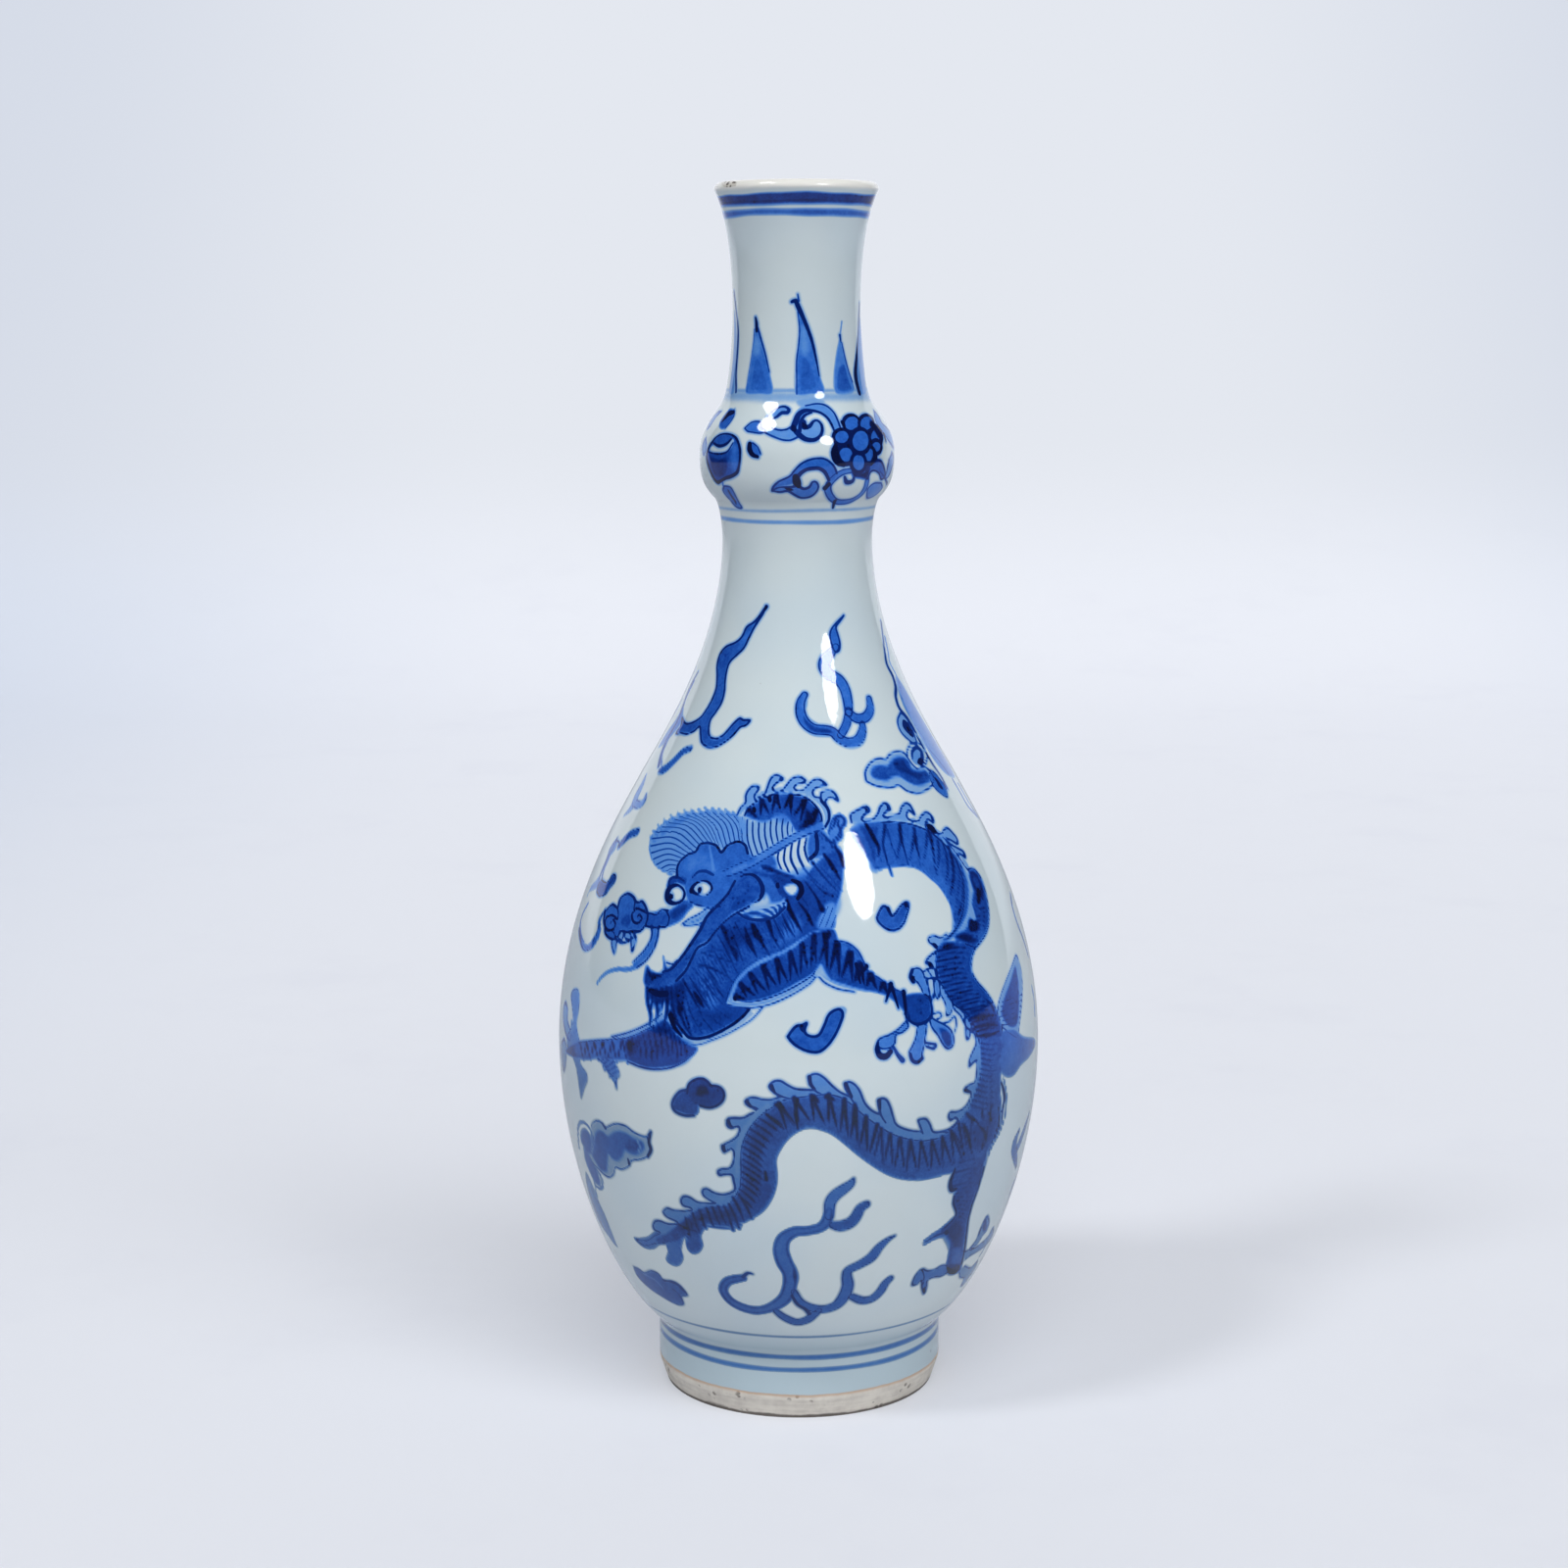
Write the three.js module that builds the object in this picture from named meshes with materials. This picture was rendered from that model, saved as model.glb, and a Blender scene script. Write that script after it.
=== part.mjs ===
// Garlic-mouth vase (gallbladder vase): a blue-and-white porcelain bottle with a pear body,
// a long waisted neck, a garlic bulb and a flared mouth.
//
// A vase of this kind is thrown in sections that are joined end to end with liquid clay (luting
// slip) while they are leather hard. Each thrown section is a solid here, and so is each slip seam.
// Units are millimetres, +Z is up, and the origin is the centre of the foot's contact ring.

import * as THREE from 'three';

// Heights of the stretches of the outer profile, from the ground up
const footHeight = 16.6;
const bellyRise = 62.9;
const shoulderRise = 60;
const neckRise = 53.5;
const bulbRootRise = 8.8;
const bulbLowerRise = 9.4;
const bulbUpperRise = 12.8;
const mouthWaistRise = 19.5;
const mouthFlareRise = 24.9;

// Outer radii where the profile changes its bend
const footRadius = 32.3;
const footFlare = 1.3;
const bellyRadius = 54.4;
const neckRadius = 16.6;
const bulbRadius = 21.6;
const mouthWaistRadius = 14.1;
const lipRadius = 18;

// Walls
const footWall = 6;
const bellyWall = 4.6;
const neckWall = 3.7;
const lipWall = 3.2;
const floorThickness = 5.5;

// Foot ring: bevelled below, and swept out to meet the body above
const footBevel = 1.7;
const footBevelHeight = 5;
const footInnerBevel = 1.2;
const footSweepHeight = 3.2;
const baseDome = 3.6;
const baseDomeMargin = 0.5;
const wellSweepHeight = 9;

// Slip seams: the layer between two sections, and the bead it leaves on the inside
const slipThickness = 0.8;
const slipBead = 0.9;

// Leans of the outer profile from the vertical, in degrees, outwards positive
const bodyRootLean = 50;
const shoulderLean = -28.5;
const bulbRootLean = 44;
const bulbTopLean = -19;
const lipLean = 28;

// Radii that lie between two named radii
const shoulderShare = 0.503;
const bulbRootShare = 0.34;
const bulbTopShare = 0.253;

// Seams that lie part of the way up a stretch
const neckRootSeamShare = 0.22;
const bulbRootSeamShare = 0.4;
const bulbTopSeamShare = 0.1;

// Fineness of the turning: steps round the axis, along each stretch, and round small edges
const turnSteps = 48;
const stretchSteps = 7;
const shortStretchSteps = 4;
const edgeSteps = 4;
const beadSteps = 2;

// The body starts a little wider than the foot that it stands on
const bodyRootRadius = footRadius + footFlare;

const degrees = Math.PI / 180;
const between = (low, high, share) => low + (high - low) * share;

// Outer profile: bends with their lean, joined by curves whose handles are shares of the rise
const bends = [
  { rise: footHeight, radius: bodyRootRadius, lean: bodyRootLean },
  { rise: bellyRise, radius: bellyRadius, lean: 0, handleShares: [0.19, 0.46], steps: stretchSteps },
  {
    rise: shoulderRise, radius: between(neckRadius, bellyRadius, shoulderShare),
    lean: shoulderLean, handleShares: [0.483, 0.167], steps: stretchSteps,
  },
  { rise: neckRise, radius: neckRadius, lean: 0, handleShares: [0.168, 0.45], steps: stretchSteps },
  {
    rise: bulbRootRise, radius: between(neckRadius, bulbRadius, bulbRootShare),
    lean: bulbRootLean, handleShares: [0.25, 0.18], steps: shortStretchSteps,
  },
  { rise: bulbLowerRise, radius: bulbRadius, lean: 0, handleShares: [0.34, 0.53], steps: shortStretchSteps },
  {
    rise: bulbUpperRise, radius: between(mouthWaistRadius, bulbRadius, bulbTopShare),
    lean: bulbTopLean, handleShares: [0.5, 0.3], steps: shortStretchSteps,
  },
  { rise: mouthWaistRise, radius: mouthWaistRadius, lean: 0, handleShares: [0.113, 0.46], steps: shortStretchSteps },
  { rise: mouthFlareRise, radius: lipRadius, lean: lipLean, handleShares: [0.3, 0.27], steps: shortStretchSteps },
];

let levelSoFar = 0;
for (const bend of bends) {
  levelSoFar += bend.rise;
  bend.level = levelSoFar;
}
const [bodyRoot, belly, shoulder, neck, , , bulbTop, mouthWaist, lip] = bends;

// Wall thickness at a level: even over the body, drawn in up the neck, thinnest at the lip
function wallAt(level) {
  if (level <= belly.level) return bellyWall;
  if (level <= neck.level) {
    return between(bellyWall, neckWall, (level - belly.level) / (neck.level - belly.level));
  }
  return between(neckWall, lipWall, (level - neck.level) / (lip.level - neck.level));
}

const outerPoints = [];
const innerPoints = [];

for (let i = 1; i < bends.length; i++) {
  const from = bends[i - 1];
  const to = bends[i];
  const [fromShare, toShare] = to.handleShares;
  const fromLean = new THREE.Vector2(Math.sin(from.lean * degrees), Math.cos(from.lean * degrees));
  const toLean = new THREE.Vector2(Math.sin(to.lean * degrees), Math.cos(to.lean * degrees));
  const start = new THREE.Vector2(from.radius, from.level);
  const end = new THREE.Vector2(to.radius, to.level);
  const stretch = new THREE.CubicBezierCurve(
    start,
    start.clone().addScaledVector(fromLean, to.rise * fromShare),
    end.clone().addScaledVector(toLean, -to.rise * toShare),
    end,
  );
  for (let step = i === 1 ? 0 : 1; step <= to.steps; step++) {
    const point = stretch.getPoint(step / to.steps);
    const tangent = stretch.getTangent(step / to.steps);
    const wall = wallAt(point.y);
    outerPoints.push(point);
    innerPoints.push(new THREE.Vector2(point.x - tangent.y * wall, point.y + tangent.x * wall));
  }
}

// Radius of a profile at a level, on the straight line between its two nearest points
function radiusAt(points, level) {
  const above = points.findIndex((point) => point.y >= level);
  if (above < 0) return points[points.length - 1].x;
  if (above === 0) return points[0].x;
  const low = points[above - 1];
  const high = points[above];
  return between(low.x, high.x, (level - low.y) / (high.y - low.y));
}

// The part of a profile between two levels, from the lower one up, with its ends exactly on them
function cutOut(points, bottom, top) {
  const kept = points.filter((point) => point.y > bottom && point.y < top);
  const first = new THREE.Vector2(radiusAt(points, bottom), bottom);
  const last = new THREE.Vector2(radiusAt(points, top), top);
  return [first, ...kept, last];
}

// Levels of the seams' undersides
const footSeam = bodyRoot.level - slipThickness;
const bellySeam = belly.level - slipThickness / 2;
const neckRootSeam = shoulder.level + neckRise * neckRootSeamShare;
const bulbRootSeam = neck.level + bulbRootRise * bulbRootSeamShare;
const bulbTopSeam = bulbTop.level + mouthWaistRise * bulbTopSeamShare;

const footBore = footRadius - footWall;

const glaze = { color: 0xb3bfc6, roughness: 0.16, metalness: 0 };
const biscuit = { color: 0xbab4ab, roughness: 0.85, metalness: 0 };
const slip = { color: 0xcfcabf, roughness: 0.7, metalness: 0 };

const vase = new THREE.Group();

// Turns a closed profile round the upright axis and adds it to the vase as a named piece
function addTurned(name, profile, finish) {
  const geometry = new THREE.LatheGeometry(profile, turnSteps);
  geometry.rotateX(Math.PI / 2);
  const piece = new THREE.Mesh(geometry, new THREE.MeshStandardMaterial(finish));
  piece.name = name;
  vase.add(piece);
}

// A wall section: up the outside, across the top, down the inside and back to its start
function addSection(name, bottom, top) {
  const outside = cutOut(outerPoints, bottom, top);
  const inside = cutOut(innerPoints, bottom, top).reverse();
  addTurned(name, [...outside, ...inside, outside[0].clone()], glaze);
}

// A slip seam between two levels: flat above and below, with a rounded bead on the inside
function addSeam(name, bottom, insidePoints, outsidePoints) {
  const top = bottom + slipThickness;
  const innerTop = radiusAt(insidePoints, top);
  const innerBottom = radiusAt(insidePoints, bottom);
  const profile = [...cutOut(outsidePoints, bottom, top), new THREE.Vector2(innerTop, top)];
  for (let step = 1; step < beadSteps; step++) {
    const turn = Math.PI * step / beadSteps;
    const radius = between(innerTop, innerBottom, step / beadSteps) - slipBead * Math.sin(turn);
    profile.push(new THREE.Vector2(radius, bottom + slipThickness * (1 + Math.cos(turn)) / 2));
  }
  profile.push(new THREE.Vector2(innerBottom, bottom), profile[0].clone());
  addTurned(name, profile, slip);
}

// Foot ring: contact ring, outer bevel, upright wall swept out under the body, and the bore
const footSweep = new THREE.QuadraticBezierCurve(
  new THREE.Vector2(footRadius, footHeight - footSweepHeight),
  new THREE.Vector2(footRadius, footHeight - slipThickness * 2),
  new THREE.Vector2(bodyRootRadius, footHeight),
).getPoints(edgeSteps);
const footTop = new THREE.Vector2(radiusAt(footSweep, footSeam), footSeam);
const footSide = [...footSweep.filter((point) => point.y < footSeam), footTop];
const contactOuter = new THREE.Vector2(footRadius - footBevel, 0);

addTurned('foot_ring', [
  contactOuter,
  new THREE.Vector2(footRadius, footBevelHeight),
  ...footSide,
  new THREE.Vector2(footBore, footSeam),
  new THREE.Vector2(footBore, footInnerBevel),
  new THREE.Vector2(footBore + footInnerBevel, 0),
  contactOuter.clone(),
], biscuit);

// Slip between the foot ring and the body, whose inside edge is the foot's bore
const footBoreLine = [new THREE.Vector2(footBore, 0), new THREE.Vector2(footBore, footHeight)];
const footOutline = [...footSide, new THREE.Vector2(bodyRootRadius, footHeight)];
addSeam('foot_slip_seam', footSeam, footBoreLine, footOutline);

// Lower body: domed base, flat seat on the foot, belly wall, and a well inside over the floor
const baseDomeRadius = footBore - slipBead - baseDomeMargin;
const baseDomeLine = new THREE.QuadraticBezierCurve(
  new THREE.Vector2(0, footHeight - baseDome),
  new THREE.Vector2(baseDomeRadius / 2, footHeight - baseDome),
  new THREE.Vector2(baseDomeRadius, footHeight),
).getPoints(edgeSteps);
const floorLevel = footHeight + floorThickness;
const wellTop = floorLevel + wellSweepHeight;
const wellLine = new THREE.QuadraticBezierCurve(
  new THREE.Vector2(radiusAt(innerPoints, wellTop), wellTop),
  new THREE.Vector2(radiusAt(innerPoints, floorLevel), floorLevel),
  new THREE.Vector2(0, floorLevel),
).getPoints(edgeSteps);
addTurned('lower_body', [
  ...baseDomeLine,
  ...cutOut(outerPoints, footHeight, bellySeam),
  ...cutOut(innerPoints, wellTop, bellySeam).reverse(),
  ...wellLine.slice(1),
], glaze);
addSeam('belly_slip_seam', bellySeam, innerPoints, outerPoints);

addSection('upper_body', bellySeam + slipThickness, neckRootSeam);
addSeam('neck_root_slip_seam', neckRootSeam, innerPoints, outerPoints);

addSection('lower_neck', neckRootSeam + slipThickness, bulbRootSeam);
addSeam('bulb_root_slip_seam', bulbRootSeam, innerPoints, outerPoints);

addSection('garlic_bulb', bulbRootSeam + slipThickness, bulbTopSeam);
addSeam('bulb_top_slip_seam', bulbTopSeam, innerPoints, outerPoints);

// Mouth: the upper neck, its flare, and the lip rounded over from outside to inside
const mouthBottom = bulbTopSeam + slipThickness;
const lipLine = [];
for (let step = 1; step < edgeSteps; step++) {
  const turn = Math.PI * step / edgeSteps;
  const radius = lipRadius - lipWall * (1 - Math.cos(turn)) / 2;
  lipLine.push(new THREE.Vector2(radius, lip.level + lipWall / 2 * Math.sin(turn)));
}
const mouthOutside = cutOut(outerPoints, mouthBottom, lip.level);
const mouthInsideTop = new THREE.Vector2(lipRadius - lipWall, lip.level);
const mouthInside = cutOut(innerPoints, mouthBottom, mouthWaist.level + mouthFlareRise / 2).reverse();
addTurned('mouth', [
  ...mouthOutside,
  ...lipLine,
  mouthInsideTop,
  ...mouthInside,
  mouthOutside[0].clone(),
], glaze);

export default vase;
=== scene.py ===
"""A garlic-mouth porcelain vase with a dragon, flames and clouds painted in cobalt under its glaze.

The vase is turned section by section, as the potter throws it, and the painting is laid on its
glazed skin brush stroke by brush stroke. Each stroke is given by the pixels of the photograph
(1600 x 1600) that it passes through, and is cast on to the skin from the photograph's camera.
Lengths are in millimetres until they go into a mesh. Angles round the vase start at the front.
"""
import math

import bpy
import numpy as np
from mathutils import Matrix, Vector


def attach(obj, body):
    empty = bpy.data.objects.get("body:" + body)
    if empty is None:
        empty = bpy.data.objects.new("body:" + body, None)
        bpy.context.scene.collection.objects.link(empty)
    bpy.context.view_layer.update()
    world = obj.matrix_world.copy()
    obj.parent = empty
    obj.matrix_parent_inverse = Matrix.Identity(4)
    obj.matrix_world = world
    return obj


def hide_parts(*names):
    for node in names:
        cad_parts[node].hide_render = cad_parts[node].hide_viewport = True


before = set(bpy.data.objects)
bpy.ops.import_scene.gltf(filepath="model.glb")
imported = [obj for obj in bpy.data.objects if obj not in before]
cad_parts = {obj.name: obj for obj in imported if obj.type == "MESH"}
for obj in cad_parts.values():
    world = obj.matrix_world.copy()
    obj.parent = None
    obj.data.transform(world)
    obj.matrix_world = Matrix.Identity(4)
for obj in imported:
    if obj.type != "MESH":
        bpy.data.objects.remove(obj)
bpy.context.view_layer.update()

MM = 0.001

# ---------------------------------------------------------------- the photograph's camera
PHOTO_CENTRE = 800
LENS = 66.0
SENSOR = 36.0
FOCAL_PIXELS = 2 * PHOTO_CENTRE * LENS / SENSOR
CAMERA_PLACE = (-3.1, -638.0, 240.0)
CAMERA_PITCH = math.radians(9.13)
CAMERA_ROLL = math.radians(-0.186)
# Between these distances a ray from the camera can meet the vase
NEAREST_SKIN, FARTHEST_SKIN, RAY_STEP = 560.0, 730.0, 0.5

# ---------------------------------------------------------------- the vase's outer profile
# Each bend: its rise above the last one, radius, lean in degrees, and the two handles of the curve
# that reaches it, as shares of the rise
ROOT_LEVEL = 16.6
ROOT_RADIUS = 33.6
ROOT_LEAN = 50
BENDS = [
    ("belly", 62.9, 54.4, 0, 0.19, 0.46),
    ("shoulder", 60.0, 35.61, -28.5, 0.483, 0.167),
    ("neck", 53.5, 16.6, 0, 0.168, 0.45),
    ("bulb root", 8.8, 18.3, 44, 0.25, 0.18),
    ("bulb", 9.4, 21.6, 0, 0.34, 0.53),
    ("bulb top", 12.8, 16.0, -19, 0.5, 0.3),
    ("mouth waist", 19.5, 14.1, 0, 0.113, 0.46),
    ("lip", 24.9, 18.0, 28, 0.3, 0.27),
]
FOOT_RADIUS = 32.3
FOOT_BEVEL = 1.7
FOOT_BEVEL_HEIGHT = 5.0
FOOT_SWEEP_LEVEL = 13.4
FOOT_CORNER = 0.7
FOOT_CORNER_HANDLE = 0.25
ROOT_HANDLE = 1.4
ROOT_HANDLE_LEAN = 42
BEND_STEPS, CORNER_STEPS, SWEEP_STEPS, LIP_STEPS = 1200, 40, 200, 90
FOOT_BORE = 26.3
FOOT_BORE_LEVELS = (12.0, 7.0, 3.0)
FOOT_INNER_BEVEL = 1.2
BORE_ROUND, BEVEL_ROUND, BEVEL_CUT = 0.4, 0.3, 0.2
FOOT_CONTACT_MIDDLE = 29.0
BASE_DOME_LEVEL = 13.0
BASE_DOME_RADIUS = 24.9
FLOOR_LEVEL = 22.1
WELL_TOP = 31.1
LIP_LEVEL = 268.4
LIP_WALL = 3.2
LIP_RADIUS = 18.0
TOP_LEVEL = 270.0
MOUTH_WALL_TOP = 262.0
DOME_STEPS, WELL_STEPS, RIM_STEPS, BEAD_STEPS = 4, 5, 7, 9
WALL_STEPS = {"lower_body": 9, "upper_body": 12, "lower_neck": 10, "garlic_bulb": 14, "mouth": 14}
# Levels and the wall's thickness there
WALLS = [(79.5, 4.6), (193.0, 3.7), (LIP_LEVEL, LIP_WALL)]

# Undersides of the slip seams between the thrown sections
SLIP = 0.8
SLIP_BEAD = 0.675
SLIP_COLUMNS = 144
GLAZE_LIP = 0.5
FOOT_SEAM = 15.8
BELLY_SEAM = 79.1
NECK_ROOT_SEAM = 151.27
BULB_ROOT_SEAM = 196.52
BULB_TOP_SEAM = 225.95


def lean_line(lean):
    """A step of one along a profile that leans outwards by so many degrees."""
    return np.array([math.sin(math.radians(lean)), math.cos(math.radians(lean))])


def curve(start, first_handle, second_handle, end, steps):
    """Points of one curved stretch, both ends among them."""
    t = np.linspace(0, 1, steps)[:, None]
    return ((1 - t) ** 3 * start + 3 * (1 - t) ** 2 * t * first_handle
            + 3 * (1 - t) * t ** 2 * second_handle + t ** 3 * end)


def outer_profile():
    """Radius and level of the outside, from the foot's contact ring to the top of the lip."""
    bevel_corner = np.array([FOOT_RADIUS, FOOT_BEVEL_HEIGHT])
    contact = np.array([FOOT_RADIUS - FOOT_BEVEL, 0.0])
    slope = (bevel_corner - contact) / np.linalg.norm(bevel_corner - contact)
    upright = np.array([0.0, 1.0])
    sweep = np.array([FOOT_RADIUS, FOOT_SWEEP_LEVEL])
    root = np.array([ROOT_RADIUS, ROOT_LEVEL])
    stretches = [
        np.array([contact, bevel_corner - FOOT_CORNER * slope]),
        curve(bevel_corner - FOOT_CORNER * slope, bevel_corner - FOOT_CORNER_HANDLE * slope,
              bevel_corner + FOOT_CORNER_HANDLE * upright, bevel_corner + FOOT_CORNER * upright,
              CORNER_STEPS),
        curve(sweep, sweep + upright, root - ROOT_HANDLE * lean_line(ROOT_HANDLE_LEAN), root,
              SWEEP_STEPS),
    ]
    start, lean, level = root, ROOT_LEAN, ROOT_LEVEL
    for _, rise, radius, next_lean, low_handle, high_handle in BENDS:
        level += rise
        end = np.array([radius, level])
        stretches.append(curve(start, start + rise * low_handle * lean_line(lean),
                               end - rise * high_handle * lean_line(next_lean), end, BEND_STEPS))
        start, lean = end, next_lean
    turn = np.linspace(0, math.pi / 2, LIP_STEPS)[1:]
    half = LIP_WALL / 2
    stretches.append(np.stack([start[0] - half * (1 - np.cos(turn)),
                               LIP_LEVEL + half * np.sin(turn)], 1))
    points = np.concatenate(stretches)
    keep = np.concatenate([[True], np.hypot(*np.diff(points, axis=0).T) > 1e-6])
    return points[keep]


PROFILE = outer_profile()
RADII, LEVELS = PROFILE.T
CLIMBS = np.concatenate([[0], np.cumsum(np.hypot(*np.diff(PROFILE, axis=0).T))])


def inner_profile():
    """The inside of the wall, one wall thickness in from the outside, above the body's root."""
    shown = (LEVELS > ROOT_LEVEL) & (LEVELS < LIP_LEVEL)
    outer = PROFILE[shown]
    tangent = np.gradient(outer, axis=0)
    tangent /= np.linalg.norm(tangent, axis=1)[:, None]
    wall = np.interp(outer[:, 1], *zip(*WALLS))
    inner = outer + wall[:, None] * np.stack([-tangent[:, 1], tangent[:, 0]], 1)
    return inner[np.argsort(inner[:, 1])]


INNER_RADII, INNER_LEVELS = inner_profile().T


def climb_at(level):
    return float(np.interp(level, LEVELS, CLIMBS))


def outer_radius(level):
    return float(np.interp(level, LEVELS, RADII))


def inner_radius(level):
    return float(np.interp(level, INNER_LEVELS, INNER_RADII))


# Millimetres between the points of a stroke, of a filled outline and of a comb's guide line
PATH_STEP, OUTLINE_STEP, GUIDE_STEP = 0.6, 0.8, 1.0
# The body's mean radius: guide lines are laid out flat with it
FLAT_RADIUS = 40


def cast(points):
    """Photo pixels to the angle and climb of the skin that they show; misses slide to its edge."""
    pixel = np.asarray(points, float) - PHOTO_CENTRE
    cosine, sine = math.cos(CAMERA_ROLL), math.sin(CAMERA_ROLL)
    right = pixel[:, 0] * cosine + pixel[:, 1] * sine
    down = -pixel[:, 0] * sine + pixel[:, 1] * cosine
    cosine, sine = math.cos(CAMERA_PITCH), math.sin(CAMERA_PITCH)
    ray = np.stack([right, FOCAL_PIXELS * cosine - down * sine,
                    -FOCAL_PIXELS * sine - down * cosine], 1)
    ray /= np.linalg.norm(ray, axis=1)[:, None]
    travel = np.arange(NEAREST_SKIN, FARTHEST_SKIN, RAY_STEP)[:, None, None]
    place = np.array(CAMERA_PLACE) + ray * travel
    gap = np.hypot(place[..., 0], place[..., 1]) - np.interp(place[..., 2], LEVELS, RADII)
    entering = (gap[:-1] > 0) & (gap[1:] <= 0)
    met = entering.any(axis=0)
    step = np.where(met, entering.argmax(axis=0), gap.argmin(axis=0))
    step = np.minimum(step, len(gap) - 2)
    each = np.arange(len(ray))
    before, after = gap[step, each], gap[step + 1, each]
    share = np.where(met, before / np.maximum(before - after, 1e-9), 0.0)
    hit = np.array(CAMERA_PLACE) + ray * (travel[step, 0] + RAY_STEP * share[:, None])
    return np.arctan2(hit[:, 0], -hit[:, 1]), np.interp(hit[:, 2], LEVELS, CLIMBS)


def smooth_path(points, step, closed=False):
    """A flowing curve through points, whose first two columns are millimetres."""
    p = np.asarray(points, float)
    if closed:
        p = np.concatenate([p[-1:], p, p[:2]])
    else:
        p = np.concatenate([2 * p[:1] - p[1:2], p, 2 * p[-1:] - p[-2:-1]])
    path = []
    for a, b, c, d in zip(p[:-3], p[1:-2], p[2:-1], p[3:]):
        count = max(2, int(math.hypot(*(c - b)[:2]) / step) + 1)
        t = np.linspace(0, 1, count, endpoint=False)[:, None]
        path.append(0.5 * (2 * b + (c - a) * t + (2 * a - 5 * b + 4 * c - d) * t ** 2
                           + (3 * b - a - 3 * c + d) * t ** 3))
    path.append(p[-2:-1])
    return np.concatenate(path)


def flow(angles, climbs, widths=None, step=PATH_STEP, closed=False):
    """A smooth path over the skin through the points: its angles, climbs and half widths."""
    radii = np.interp(climbs, CLIMBS, RADII)
    middle = angles.mean()
    columns = [(angles - middle) * radii, climbs]
    if widths is not None:
        count = len(angles)
        columns.append(np.interp(np.linspace(0, 1, count), np.linspace(0, 1, len(widths)), widths))
    path = smooth_path(np.stack(columns, 1), step, closed)
    around = middle + path[:, 0] / np.interp(path[:, 1], CLIMBS, RADII)
    return around, path[:, 1], np.abs(path[:, -1]) / 2


def column_angle(column, columns, crowding):
    """Columns crowd together at the front, where the photograph looks."""
    share = 2 * np.asarray(column, float) / columns - 1
    return math.pi * share - crowding * np.sin(math.pi * share)


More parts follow.
